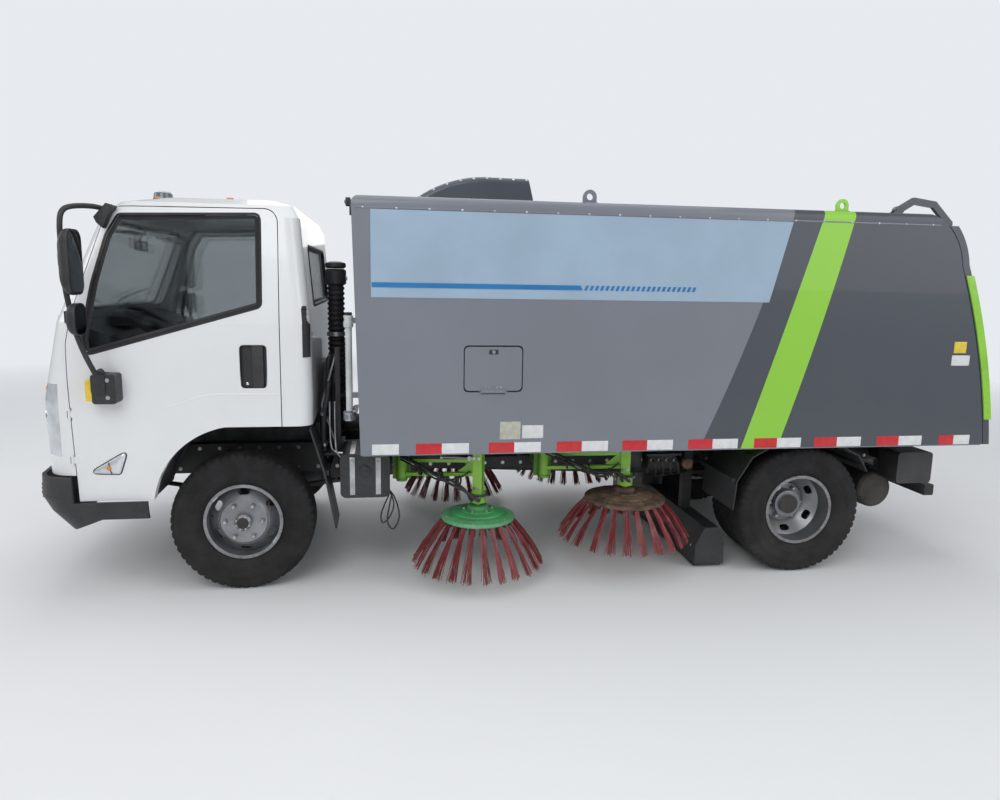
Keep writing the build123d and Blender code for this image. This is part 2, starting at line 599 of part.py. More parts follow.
CAB_OUTER = cab_form(0)
CAB_INNER = cab_form(CAB_WALL)
with BuildPart() as cab_shell:
    add(CAB_OUTER)
    add(CAB_INNER, mode=Mode.SUBTRACT)
GLASS_OUTER = cab_form(GLASS_INSET)
GLASS_INNER = cab_form(GLASS_INSET + GLASS_THICK)
with BuildPart() as cab_glazing:
    add(GLASS_OUTER)
    add(GLASS_INNER, mode=Mode.SUBTRACT)

# Door outline in side view, distances ahead of the front axle and heights.
# The lower edge follows the wheel arch.
ARCH_FRONT = (436, CAB_BOTTOM)
ARCH_MID = (300, 834)
ARCH_TOP = (60, CAB_REAR_BOTTOM)
DOOR_BACK = -236
DOOR_FRONT = 824
DOOR_TOP = 2108
DOOR_CORNER = 70
WINDOW_CORNER = 26


def door_outline(grow):
    """Face of the door in side view, grown all round by a distance."""
    with BuildSketch(side_plane(0)) as outline:
        with BuildLine():
            Polyline((fx(60), ARCH_TOP[1]), (fx(DOOR_BACK), CAB_REAR_BOTTOM),
                     (fx(DOOR_BACK), DOOR_TOP - DOOR_CORNER))
            ThreePointArc((fx(DOOR_BACK), DOOR_TOP - DOOR_CORNER),
                          (fx(DOOR_BACK) + DOOR_CORNER * 0.293, DOOR_TOP - DOOR_CORNER * 0.293),
                          (fx(DOOR_BACK) + DOOR_CORNER, DOOR_TOP))
            Polyline((fx(DOOR_BACK) + DOOR_CORNER, DOOR_TOP), (fx(556), DOOR_TOP - 8), (fx(628), 2040),
                     (fx(790), 1560), (fx(DOOR_FRONT), 1400), (fx(DOOR_FRONT), 1240), (fx(808), CAB_BOTTOM),
                     (fx(ARCH_FRONT[0]), ARCH_FRONT[1]))
            ThreePointArc((fx(ARCH_FRONT[0]), ARCH_FRONT[1]), (fx(ARCH_MID[0]), ARCH_MID[1]),
                          (fx(ARCH_TOP[0]), ARCH_TOP[1]))
        make_face()
        if grow:
            offset(amount=grow, kind=Kind.INTERSECTION)
    return outline.sketch


def window_outline(shrink):
    """Face of the door's window in side view, with rounded corners."""
    with BuildSketch(side_plane(0)) as outline:
        with BuildLine():
            Polyline((fx(545), 2052), (fx(-142), 2074), (fx(-140), 1604), (fx(728), 1350),
                     (fx(736), 1428), (fx(677), 1715), (fx(607), 1951), close=True)
        make_face()
        if shrink:
            offset(amount=-shrink, kind=Kind.INTERSECTION)
        fillet(outline.vertices(), WINDOW_CORNER)
    return outline.sketch


WINDSCREEN_BOTTOM = 1545
WINDSCREEN_TOP = 2048
WINDSCREEN_HALF_LOW = 800
WINDSCREEN_HALF_HIGH = 742
REAR_WINDOW = (0, 1765, 1120, 330)   # middle Y, middle Z, width, height


def windscreen_outline(shrink):
    """Face of the windscreen in front view."""
    with BuildSketch(cross_plane(fx(430))) as outline:
        with BuildLine():
            Polyline((-WINDSCREEN_HALF_LOW, WINDSCREEN_BOTTOM), (WINDSCREEN_HALF_LOW, WINDSCREEN_BOTTOM),
                     (WINDSCREEN_HALF_HIGH, WINDSCREEN_TOP), (-WINDSCREEN_HALF_HIGH, WINDSCREEN_TOP),
                     close=True)
        make_face()
        if shrink:
            offset(amount=-shrink, kind=Kind.INTERSECTION)
        fillet(outline.vertices(), 45)
    return outline.sketch


def rear_window_outline(shrink):
    """Face of the cab's back window."""
    with BuildSketch(cross_plane(fx(-500))) as outline:
        with Locations(REAR_WINDOW[:2]):
            RectangleRounded(REAR_WINDOW[2] - 2 * shrink, REAR_WINDOW[3] - 2 * shrink, 40)
    return outline.sketch


with BuildPart() as door_holes:
    extrude(door_outline(DOOR_SEAM), amount=1100, both=True)
    with Locations((fx(300), 0, 1300)):
        Box(2400, 1400, 1800, mode=Mode.SUBTRACT)
with BuildPart() as glass_holes:
    extrude(windscreen_outline(0), amount=700)
    extrude(rear_window_outline(0), amount=300)
with BuildPart() as fixed_shell:
    add(cab_shell.part)
    add(door_holes.part, mode=Mode.SUBTRACT)
    add(glass_holes.part, mode=Mode.SUBTRACT)

CAB_MID_X = fx(430)

# Door hinges: a barrel on the door turns on a pin held between two ears of the front panel
HINGE_X = fx(826.5)
HINGE_Y = 950
HINGE_LEVELS = (790, 1035)
HINGE_RADIUS = 7
HINGE_PIN_RADIUS = 3.5
HINGE_BARREL = 36
HINGE_EAR = 10
HINGE_LEAF = 28                # the door's leaf reaches this far back from the pin
HINGE_LEAF_THICK = 6
HINGE_BARREL_HALF = HINGE_BARREL / 2
HINGE_EAR_LOW = HINGE_BARREL_HALF + PIN_GAP
HINGE_EAR_HIGH = HINGE_EAR_LOW + HINGE_EAR


def hinge_discs(sign, radius, low, high):
    """Round pieces on a door's hinge axis, between two heights above each hinge's middle."""
    with BuildPart() as discs:
        for level in HINGE_LEVELS:
            with Locations((HINGE_X, sign * HINGE_Y, level + (low + high) / 2)):
                Cylinder(radius, high - low)
    return discs.part


def hinge_blocks(sign, x_range, y_range, low, high):
    """Square pieces beside a door's hinge axis. Ranges are measured from the axis."""
    with BuildPart() as blocks:
        for level in HINGE_LEVELS:
            with Locations((HINGE_X + (x_range[0] + x_range[1]) / 2,
                            sign * (HINGE_Y + (y_range[0] + y_range[1]) / 2), level + (low + high) / 2)):
                Box(x_range[1] - x_range[0], y_range[1] - y_range[0], high - low)
    return blocks.part


HINGE_REACH = HINGE_RADIUS + RUN_GAP

# Headlamps, wrapped round the cab's front corners
LAMP_DEPTH = 44
LAMP_BACK = fx(880)
LAMP_LOW = 800
LAMP_HIGH = 1190
LAMP_IN_LOW = 640
LAMP_IN_HIGH = 760


def lamp_blocks(grow):
    """Two blocks that cut the lamps' outline out of the cab's front corners."""
    with BuildPart() as blocks:
        for sign in (1, -1):
            with BuildSketch(cross_plane(LAMP_BACK - grow)) as outline:
                with BuildLine():
                    Polyline((sign * (LAMP_IN_LOW - grow), LAMP_LOW + 40 - grow),
                             (sign * 1000, LAMP_LOW - grow), (sign * 1000, LAMP_HIGH + grow),
                             (sign * (LAMP_IN_HIGH - grow), LAMP_HIGH + grow),
                             (sign * (LAMP_IN_LOW - grow), LAMP_LOW + 190 + grow), close=True)
                make_face()
            extrude(outline.sketch, amount=400)
    return blocks.part


CAB_LAMP_BACK = cab_form(LAMP_DEPTH)
LAMP_OUTLINE = lamp_blocks(-SEAT_GAP)
LAMP_OPENING = lamp_blocks(0)
with BuildPart() as headlamps:
    add(CAB_OUTER)
    add(CAB_LAMP_BACK, mode=Mode.SUBTRACT)
    add(LAMP_OUTLINE, mode=Mode.INTERSECT)
headlamps.part.label = "headlamps"
export_step(headlamps.part, "parts/headlamps.step")
with BuildPart() as lamp_pockets:
    add(CAB_OUTER)
    add(CAB_LAMP_BACK, mode=Mode.SUBTRACT)
    add(LAMP_OPENING, mode=Mode.INTERSECT)

hinge_pockets = [hinge_blocks(sign, (-HINGE_LEAF, HINGE_REACH), (-HINGE_REACH, HINGE_REACH),
                              -HINGE_EAR_LOW, HINGE_EAR_LOW) for side, sign in SIDES]
hinge_ears = [hinge_discs(sign, HINGE_RADIUS, low, high) for side, sign in SIDES
              for low, high in ((HINGE_EAR_LOW, HINGE_EAR_HIGH), (-HINGE_EAR_HIGH, -HINGE_EAR_LOW))]
hinge_pins = [hinge_discs(sign, HINGE_PIN_RADIUS, -HINGE_EAR_HIGH, HINGE_EAR_HIGH) for side, sign in SIDES]
with BuildPart() as cab_front:
    add(fixed_shell.part)
    add(lamp_pockets.part, mode=Mode.SUBTRACT)
    with Locations((CAB_MID_X + 1000, 0, (CAB_FRONT_BOTTOM + CAB_BELT) / 2)):
        Box(2000, 2200, CAB_BELT - CAB_FRONT_BOTTOM, mode=Mode.INTERSECT)
    for pocket in hinge_pockets:
        add(pocket, mode=Mode.SUBTRACT)
    for round_piece in hinge_ears + hinge_pins:
        add(round_piece)
    # Scuttle shelf that carries the lugs
    with Locations((fx(905), 0, CAB_PIVOT_Z + 105)):
        Box(150, 1200, 30)
    # Inner relief, so that the skin's lower edge swings past the hinge posts
    with Locations((fx(955), 0, CAB_PIVOT_Z + 20)):
        Box(124, 2 * (CAB_LUG_Y + 90), 140, mode=Mode.SUBTRACT)
    for lug_y in (-CAB_LUG_Y, CAB_LUG_Y):
        with BuildSketch(side_plane(lug_y)) as lug:
            with Locations((CAB_PIVOT_X, CAB_PIVOT_Z)):
                Circle(CAB_LUG_RADIUS)
            with Locations((CAB_PIVOT_X, CAB_PIVOT_Z + 50)):
                Rectangle(2 * CAB_LUG_RADIUS, 100)
            with Locations((CAB_PIVOT_X, CAB_PIVOT_Z)):
                Circle(CAB_PIN_RADIUS + PIN_GAP, mode=Mode.SUBTRACT)
        extrude(lug.sketch, amount=10, both=True)
cab_front.part.label = "cab_front"
export_step(cab_front.part, "parts/cab_front.step")

BEACON_X = fx(560)
BEACON_RADIUS = 62
BEACON_TOP = 2262
with BuildPart() as cab_roof:
    add(fixed_shell.part)
    with Locations((fx(300), 0, 1250 + CAB_BELT)):
        Box(3000, 2200, 2500, mode=Mode.INTERSECT)
    with Locations((CAB_MID_X - 2000, 0, CAB_RAIL - 1000)):
        Box(4000, 2200, 2000, mode=Mode.SUBTRACT)
    with BuildSketch(Plane.XY.offset(2140)) as beacon_foot:
        with Locations((BEACON_X, 0)):
            Circle(BEACON_RADIUS + 14)
    extrude(beacon_foot.sketch, amount=34)
    with BuildSketch(Plane.XY.offset(2170)) as beacon_low:
        with Locations((BEACON_X, 0)):
            Circle(BEACON_RADIUS)
    extrude(beacon_low.sketch, amount=BEACON_TOP - 2170, taper=8)
cab_roof.part.label = "cab_roof"
export_step(cab_roof.part, "parts/cab_roof.step")

with BuildPart() as cab_rear:
    add(fixed_shell.part)
    with Locations((CAB_MID_X - 2000, 0, (CAB_REAR_BOTTOM + CAB_RAIL) / 2)):
        Box(4000, 2200, CAB_RAIL - CAB_REAR_BOTTOM, mode=Mode.INTERSECT)
cab_rear.part.label = "cab_rear"
export_step(cab_rear.part, "parts/cab_rear.step")

with BuildPart() as panes:
    extrude(windscreen_outline(GLASS_SEAL), amount=700)
    extrude(rear_window_outline(GLASS_SEAL), amount=300)
with BuildPart() as cab_glass:
    add(cab_glazing.part)
    add(panes.part, mode=Mode.INTERSECT)
cab_glass.part.label = "cab_glass"
export_step(cab_glass.part, "parts/cab_glass.step")

# Floor: raised platform over engine and wheels, footwell ahead of it, and a step well each side
PLATFORM_Z = CAB_REAR_BOTTOM
FOOTWELL_Z = 800
STEP_Z = 572
WELL_INNER_Y = 560
FLOOR_HALF = 950 - CAB_WALL - RUN_GAP - 3
FLOOR_BACK = fx(-400) + CAB_WALL + SEAT_GAP + 8
FOOTWELL_FRONT = fx(900)
STEP_FRONT = fx(796)

with BuildPart() as cab_floor:
    with BuildSketch(side_plane(0)) as middle_run:
        with BuildLine():
            Polyline((FLOOR_BACK, PLATFORM_Z), (fx(380), PLATFORM_Z), (fx(450), FOOTWELL_Z),
                     (FOOTWELL_FRONT, FOOTWELL_Z), (FOOTWELL_FRONT, FOOTWELL_Z + FLOOR_THICK),
                     (fx(476), FOOTWELL_Z + FLOOR_THICK), (fx(406), PLATFORM_Z + FLOOR_THICK),
                     (FLOOR_BACK, PLATFORM_Z + FLOOR_THICK), close=True)
        make_face()
    extrude(middle_run.sketch, amount=WELL_INNER_Y, both=True)
    with BuildSketch(side_plane(WELL_INNER_Y)) as side_run:
        with BuildLine():
            Polyline((fx(60), PLATFORM_Z), (FLOOR_BACK, PLATFORM_Z), (FLOOR_BACK, PLATFORM_Z + FLOOR_THICK),
                     (fx(84), PLATFORM_Z + FLOOR_THICK))
            ThreePointArc((fx(84), PLATFORM_Z + FLOOR_THICK), (fx(ARCH_MID[0] + 26), ARCH_MID[1] + 26),
                          (fx(ARCH_FRONT[0] + 34), STEP_Z + FLOOR_THICK))
            Polyline((fx(ARCH_FRONT[0] + 34), STEP_Z + FLOOR_THICK), (STEP_FRONT, STEP_Z + FLOOR_THICK),
                     (STEP_FRONT, STEP_Z), (fx(ARCH_FRONT[0]), STEP_Z))
            ThreePointArc((fx(ARCH_FRONT[0]), STEP_Z), (fx(ARCH_MID[0]), ARCH_MID[1]),
                          (fx(60), PLATFORM_Z))
        make_face()
    extrude(side_run.sketch, amount=-(FLOOR_HALF - WELL_INNER_Y))
    mirror(about=Plane.XZ)
    for side, sign in SIDES:
        with BuildSketch(side_plane(sign * WELL_INNER_Y)) as well_wall:
            with BuildLine():
                Polyline((fx(ARCH_FRONT[0] + 6), STEP_Z), (STEP_FRONT, STEP_Z),
                         (STEP_FRONT, FOOTWELL_Z + FLOOR_THICK),
                         (fx(450), FOOTWELL_Z + FLOOR_THICK), (fx(380), PLATFORM_Z + FLOOR_THICK / 2),
                         (fx(200), PLATFORM_Z + FLOOR_THICK / 2), (fx(310), ARCH_MID[1] + 6), close=True)
            make_face()
        extrude(well_wall.sketch, amount=-sign * 24)
        with Locations((STEP_FRONT - 12, sign * (WELL_INNER_Y + FLOOR_HALF) / 2,
                        (STEP_Z + FOOTWELL_Z + FLOOR_THICK) / 2)):
            Box(24, FLOOR_HALF - WELL_INNER_Y, FOOTWELL_Z + FLOOR_THICK - STEP_Z)
    fillet(cab_floor.edges().filter_by(Axis.Z).group_by(Axis.X)[0], REAR_CORNER_RADIUS - 34)
cab_floor.part.label = "cab_floor"
export_step(cab_floor.part, "parts/cab_floor.step")

HANDLE_X = fx(-100)
HANDLE_Z = 1280
for side, sign in SIDES:
    with BuildPart() as door_block:
        extrude(door_outline(0), amount=-sign * 1100)
        extrude(window_outline(0), amount=-sign * 1100, mode=Mode.SUBTRACT)
        with Locations((fx(300), 0, 1300)):
            Box(2400, 1400, 1800, mode=Mode.SUBTRACT)
    ear_notches = [hinge_blocks(sign, (-HINGE_REACH, HINGE_REACH), (-HINGE_REACH, HINGE_REACH), low, high)
                   for low, high in ((HINGE_BARREL_HALF, HINGE_EAR_HIGH + RUN_GAP),
                                     (-HINGE_EAR_HIGH - RUN_GAP, -HINGE_BARREL_HALF))]
    hinge_leaves = hinge_blocks(sign, (-HINGE_LEAF, 0), (-HINGE_RADIUS, HINGE_LEAF_THICK - HINGE_RADIUS),
                                -HINGE_BARREL_HALF, HINGE_BARREL_HALF)
    hinge_barrels = hinge_discs(sign, HINGE_RADIUS, -HINGE_BARREL_HALF, HINGE_BARREL_HALF)
    hinge_bores = hinge_discs(sign, HINGE_PIN_RADIUS + PIN_GAP, -HINGE_BARREL_HALF, HINGE_BARREL_HALF)
    with BuildPart() as door:
        add(cab_shell.part)
        add(door_block.part, mode=Mode.INTERSECT)
        for notch in ear_notches:
            add(notch, mode=Mode.SUBTRACT)
        add(hinge_leaves)
        add(hinge_barrels)
        add(hinge_bores, mode=Mode.SUBTRACT)
        # Handle's recess, with the pull left standing across it
        with BuildSketch(side_plane(sign * 960)) as recess:
            with Locations((HANDLE_X, HANDLE_Z)):
                RectangleRounded(132, 228, 20)
        extrude(recess.sketch, amount=sign * 34, mode=Mode.SUBTRACT)
        with BuildSketch(side_plane(sign * 916)) as pull:
            with Locations((HANDLE_X - 22, HANDLE_Z)):
                RectangleRounded(58, 226, 14)
        extrude(pull.sketch, amount=-sign * 24)
    door.part.label = f"door_{side}"
    export_step(door.part, f"parts/door_{side}.step")

    with BuildPart() as pane:
        extrude(window_outline(GLASS_SEAL), amount=-sign * 1100)
        with Locations((fx(300), 0, 1700)):
            Box(2400, 1400, 1200, mode=Mode.SUBTRACT)
    with BuildPart() as door_glass:
        add(cab_glazing.part)
        add(pane.part, mode=Mode.INTERSECT)
    door_glass.part.label = f"door_glass_{side}"
    export_step(door_glass.part, f"parts/door_glass_{side}.step")


# Cab's inside: dashboard with the steering column, steering wheel and seats
WHEEL_CENTRE = (fx(505), 430, 1450)
WHEEL_TILT = 35                # steering axis leans this far back from upright
STEER_RIM_RADIUS = 212
STEER_RIM_TUBE = 15
WHEEL_AXIS = (-sin(radians(WHEEL_TILT)), 0, cos(radians(WHEEL_TILT)))

DASH_DOOR_GAP = 38             # clears the doors' inner front edges as they swing
CAB_LINING = cab_form(CAB_WALL + SEAT_GAP)
with BuildPart() as dashboard:
    with BuildSketch(side_plane(0)) as dash_section:
        with BuildLine():
            Polyline((fx(1000), 1180), (fx(1000), 1486), (fx(800), 1500), (fx(655), 1440), (fx(610), 1345),
                     (fx(680), 1180), close=True)
        make_face()
        fillet(dash_section.vertices().group_by(Axis.X)[0], 30)
    extrude(dash_section.sketch, amount=HINGE_Y - CAB_WALL - DASH_DOOR_GAP, both=True)
    add(CAB_LINING, mode=Mode.INTERSECT)
    column_top = Vector(*WHEEL_CENTRE) - Vector(*WHEEL_AXIS) * 34
    with BuildSketch(Plane(origin=column_top, z_dir=WHEEL_AXIS)) as column:
        Circle(42)
    extrude(column.sketch, amount=-240)
dashboard.part.label = "dashboard"
export_step(dashboard.part, "parts/dashboard.step")

with BuildPart() as steering_wheel:
    wheel_seat = Plane(origin=WHEEL_CENTRE, x_dir=(0, 1, 0), z_dir=WHEEL_AXIS)
    rim_section = Plane(origin=WHEEL_CENTRE, x_dir=(0, 1, 0), z_dir=wheel_seat.y_dir)
    with BuildSketch(rim_section) as rim_tube:
        with Locations((STEER_RIM_RADIUS, 0)):
            Circle(STEER_RIM_TUBE)
    revolve(rim_tube.sketch, axis=Axis(WHEEL_CENTRE, WHEEL_AXIS))
    with BuildSketch(wheel_seat.offset(-30)) as hub:
        Circle(48)
    extrude(hub.sketch, amount=26, taper=-8)
    with BuildSketch(wheel_seat.offset(-22)) as spokes:
        for angle in (200, 340, 90):
            with Locations(Location((0, 0, 0), (0, 0, angle))):
                with Locations((STEER_RIM_RADIUS / 2, 0)):
                    Rectangle(STEER_RIM_RADIUS, 34)
    extrude(spokes.sketch, amount=14)
steering_wheel.part.label = "steering_wheel"
export_step(steering_wheel.part, "parts/steering_wheel.step")

# Each row: middle Y and width of a seat
SEAT_ROWS = ((430, 470), (-90, 420), (-540, 420))
SEAT_BASE_Z = PLATFORM_Z + FLOOR_THICK + SEAT_GAP
with BuildPart() as seats:
    for middle_y, width in SEAT_ROWS:
        with BuildSketch(side_plane(middle_y)) as seat_side:
            with BuildLine():
                Polyline((fx(-215), SEAT_BASE_Z), (fx(250), SEAT_BASE_Z), (fx(290), 1120), (fx(290), 1225),
                         (fx(-95), 1205), (fx(-165), 1500), (fx(-180), 1740), (fx(-250), 1745),
                         (fx(-285), 1500), (fx(-235), 1180), close=True)
            make_face()
            fillet(seat_side.vertices().sort_by(Axis.Z)[-2:], 28)
            fillet(seat_side.vertices().sort_by(Axis.X)[-2:], 24)
        extrude(seat_side.sketch, amount=width / 2, both=True)
seats.part.label = "seats"
export_step(seats.part, "parts/seats.step")

# Mirrors, carried by the doors
MIRROR_Y = 1120
MIRROR_TUBE = 13
# Each row: X ahead of the front axle, distance from the middle plane, height, bend radius at the point
MIRROR_ARM = (
    (596, 868, 2078, 0),
    (640, 960, 2088, 40),
    (726, 1090, 2066, 50),
    (740, MIRROR_Y, 1960, 40),
    (736, MIRROR_Y, 1700, 300),
    (706, 1108, 1480, 300),
    (664, 1062, 1290, 60),
    (632, 1020, 1180, 0),
)
# Each row: middle X ahead of the front axle, depth, width, low and high edge
MIRROR_HEADS = ((705, 52, 176, 1654, 1968), (700, 53, 150, 1459, 1615))
MIRROR_BASE = (560, 677, 1104, 1256)


def rounded_block(x_range, y_range, z_range, axis, radius):
    """Box between its ranges, with the edges along one axis rounded."""
    with BuildPart() as block:
        with Locations(((x_range[0] + x_range[1]) / 2, (y_range[0] + y_range[1]) / 2,
                        (z_range[0] + z_range[1]) / 2)):
            Box(abs(x_range[1] - x_range[0]), abs(y_range[1] - y_range[0]), abs(z_range[1] - z_range[0]))
        fillet(block.edges().filter_by(axis), radius)
    return block.part


CAB_SEAT = cab_form(-SEAT_GAP)
mirror_blocks = [
    rounded_block((fx(head_x - depth / 2), fx(head_x + depth / 2)),
                  (-MIRROR_Y - width / 2, -MIRROR_Y + width / 2), (low, high), Axis.X, 30)
    for head_x, depth, width, low, high in MIRROR_HEADS
]
mirror_blocks.append(rounded_block((fx(MIRROR_BASE[0]), fx(MIRROR_BASE[1])), (-1054, -930),
                                   MIRROR_BASE[2:], Axis.Y, 20))
with BuildPart() as mirror_right:
    points = [(fx(x), -y, z) for x, y, z, bend in MIRROR_ARM]
    bends = [bend for x, y, z, bend in MIRROR_ARM[1:-1]]
    with BuildLine() as arm_path:
        FilletPolyline(*points, radius=bends)
    with BuildSketch(Plane(origin=points[0], z_dir=arm_path.line % 0)) as arm_tube:
        Circle(MIRROR_TUBE)
    sweep(arm_tube.sketch, path=arm_path.line)
    for block in mirror_blocks:
        add(block)
    # Upper foot, set on the door's frame
    with BuildSketch(side_plane(-930)) as foot:
        with BuildLine():
            Polyline((fx(560), 2100), (fx(590), 2110), (fx(640), 2030), (fx(612), 1985), close=True)
        make_face()
    extrude(foot.sketch, amount=-70)
    add(CAB_SEAT, mode=Mode.SUBTRACT)
mirror_right.part.label = "mirror_right"
export_step(mirror_right.part, "parts/mirror_right.step")
with BuildPart() as mirror_left:
    mirror(mirror_right.part, about=Plane.XZ)
mirror_left.part.label = "mirror_left"
export_step(mirror_left.part, "parts/mirror_left.step")

# Front bumper: a wrapped skin, with a valance under each door
BUMPER_HALF = 975
BUMPER_WALL = 20
BUMPER_CORNER = 172
BUMPER_TOP = 700
VALANCE_TOP = 560
VALANCE_LOW = 463
VALANCE_BACK = fx(465)
BUMPER_SIDE_BACK = HINGE_X + 8.5   # ahead of the doors' front edges at their widest swing
# Each row: height, front at the middle ahead of the axle, half width
BUMPER_SECTIONS = ((392, 968, 934), (505, 1052, 966), (588, FRONT_OVERHANG, BUMPER_HALF),
                   (BUMPER_TOP, FRONT_OVERHANG - 5, BUMPER_HALF))


def bumper_form(inset, stretch):
    """The bumper's wrapped shape drawn in by a distance, its ends raised and lowered by a stretch."""
    faces = []
    for index, (height, front, half_width) in enumerate(BUMPER_SECTIONS):
        nose = fx(front) - inset
        half = half_width - inset
        corner = BUMPER_CORNER - inset
        cheek = nose - FRONT_BOW
        back = fx(400)
        mid = quarter_mid((cheek - corner, half - corner), corner, 45)
        end_shift = -stretch if index == 0 else stretch if index == len(BUMPER_SECTIONS) - 1 else 0
        with BuildSketch(Plane.XY.offset(height + end_shift)) as level:
            with BuildLine():
                Polyline((cheek - corner, -half), (back, -half), (back, half), (cheek - corner, half))
                ThreePointArc((cheek - corner, half), mid, (cheek, half - corner))
                ThreePointArc((cheek, half - corner), (nose, 0), (cheek, -half + corner))
                ThreePointArc((cheek, -half + corner), (mid[0], -mid[1]), (cheek - corner, -half))
            make_face()
        faces.append(level.sketch)
    with BuildPart() as form:
        loft(sections=faces, ruled=True)
    return form.part


with BuildPart() as front_bumper:
    add(bumper_form(0, 0))
    with BuildSketch(side_plane(0)) as bumper_side:
        with BuildLine():
            Polyline((VALANCE_BACK, VALANCE_LOW), (fx(700), VALANCE_LOW), (fx(800), 423), (fx(862), 392),
                     (FRONT_X + 10, 392), (FRONT_X + 10, BUMPER_TOP), (BUMPER_SIDE_BACK, BUMPER_TOP),
                     (BUMPER_SIDE_BACK - 3, VALANCE_TOP), (VALANCE_BACK, VALANCE_TOP), close=True)
        make_face()
    extrude(bumper_side.sketch, amount=1200, both=True, mode=Mode.INTERSECT)
    add(bumper_form(BUMPER_WALL, 1), mode=Mode.SUBTRACT)
    # Intake recess with its bars, and round fog lamps set into the skin
    for bar_z in (600, 628, 656):
        with Locations((FRONT_X - 4, 0, bar_z)):
            Box(40, 2 * 430, 12, mode=Mode.SUBTRACT)
        with Locations((FRONT_X - 30, 0, bar_z)):
            Box(30, 2 * 440, 16)
    # Stays from the frame's front member to the skin
    for stay_y in (-RAIL_OUTER_Y + 32, RAIL_OUTER_Y - 32):
        with Locations(((RAIL_FRONT + FRONT_X - 40) / 2 + SEAT_GAP, stay_y, 590)):
            Box(FRONT_X - 40 - RAIL_FRONT, 50, 40)
front_bumper.part.label = "front_bumper"
export_step(front_bumper.part, "parts/front_bumper.step")

# Boxes and vessels on the frame. Each row: X range ahead of the front axle, Y range, Z range
TANKS = (
    ((-816, -537), (478, 862), (519, 772)),
    ((-816, -540), (-862, -440), (470, 768)),
)
STRAP_WIDTH = 40
STRAP_Z = 650
tank_blocks = [
    rounded_block((fx(x_range[0]), fx(x_range[1])), y_range, z_range, Axis.Y, 34)
    for x_range, y_range, z_range in TANKS
]
with BuildPart() as side_tanks:
    for block in tank_blocks:
        add(block)
    for x_range, y_range, z_range in TANKS:
        face_y = min(y_range, key=abs)
        web_y = (RAIL_OUTER_Y + SEAT_GAP) * (1 if face_y > 0 else -1)
        for strap_x in (x_range[0] + 60, x_range[1] - 60):
            with Locations((fx(strap_x), (face_y + web_y) / 2, STRAP_Z)):
                Box(STRAP_WIDTH, abs(face_y - web_y), 90)
side_tanks.part.label = "side_tanks"
export_step(side_tanks.part, "parts/side_tanks.step")

SILENCER_X = fx(-4000)
SILENCER_Z = 428
SILENCER_RADIUS = 122
SILENCER_END = 684
SILENCER_LENGTH = 520
with BuildPart() as silencer:
    with Locations((SILENCER_X, SILENCER_END - SILENCER_LENGTH / 2, SILENCER_Z)):
        Cylinder(SILENCER_RADIUS, SILENCER_LENGTH, rotation=(90, 0, 0))
    fillet(silencer.edges().filter_by(GeomType.CIRCLE), 20)
    # Saddle up to the rail, and the tail pipe
    with Locations((SILENCER_X, SPRING_Y, (SILENCER_Z + RAIL_BOTTOM) / 2 + 30)):
        Box(90, 50, RAIL_BOTTOM - SILENCER_Z - 60)
    with Locations((SILENCER_X - 80, SILENCER_END - SILENCER_LENGTH - 40, SILENCER_Z)):
        Cylinder(32, 120, rotation=(90, 0, 0))
silencer.part.label = "silencer"
export_step(silencer.part, "parts/silencer.step")

LAMP_BOX_X = (-4254, -4010)    # ahead of the front axle
LAMP_BOX_Y = (690, 872)
LAMP_BOX_Z = (520, 722)
lamp_boxes = [
    rounded_block((fx(LAMP_BOX_X[0]), fx(LAMP_BOX_X[1])), (sign * LAMP_BOX_Y[0], sign * LAMP_BOX_Y[1]),
                  LAMP_BOX_Z, Axis.Y, 24)
    for sign in (1, -1)
]
UNDERRUN = (-4300, -4236, 850, 430, 500)           # X range, half length, Z range
TOW_EYE_X = fx(-4345)
TOW_EYE_RADIUS = 20
TOW_PLATE_LOW = 450
TOW_PLATE_THICK = 30
with BuildPart() as rear_bumper:
    for block in lamp_boxes:
        add(block)
    for sign in (1, -1):
        with Locations((fx(-4190), sign * (RAIL_OUTER_Y + SEAT_GAP + LAMP_BOX_Y[0]) / 2, 640)):
            Box(70, LAMP_BOX_Y[0] - RAIL_OUTER_Y - SEAT_GAP, 110)
        with Locations((fx(-4268), sign * SPRING_Y, (UNDERRUN[4] + RAIL_BOTTOM - SEAT_GAP) / 2)):
            Box(50, 60, RAIL_BOTTOM - SEAT_GAP - UNDERRUN[4])
    with Locations((fx((UNDERRUN[0] + UNDERRUN[1]) / 2), 0, (UNDERRUN[3] + UNDERRUN[4]) / 2)):
        Box(UNDERRUN[1] - UNDERRUN[0], 2 * UNDERRUN[2], UNDERRUN[4] - UNDERRUN[3])
    # Towing eye
    with BuildSketch(Plane.XY.offset(TOW_PLATE_LOW)) as tow_plate:
        with Locations((TOW_EYE_X + 30, 0)):
            Rectangle(60, 90)
        with Locations((TOW_EYE_X, 0)):
            Circle(45)
            Circle(TOW_EYE_RADIUS, mode=Mode.SUBTRACT)
    extrude(tow_plate.sketch, amount=TOW_PLATE_THICK)
rear_bumper.part.label = "rear_bumper"
export_step(rear_bumper.part, "parts/rear_bumper.step")

# Mudguards: folded sheets over the rear duals, and a flap behind each front wheel
GUARD_SHEET = 7
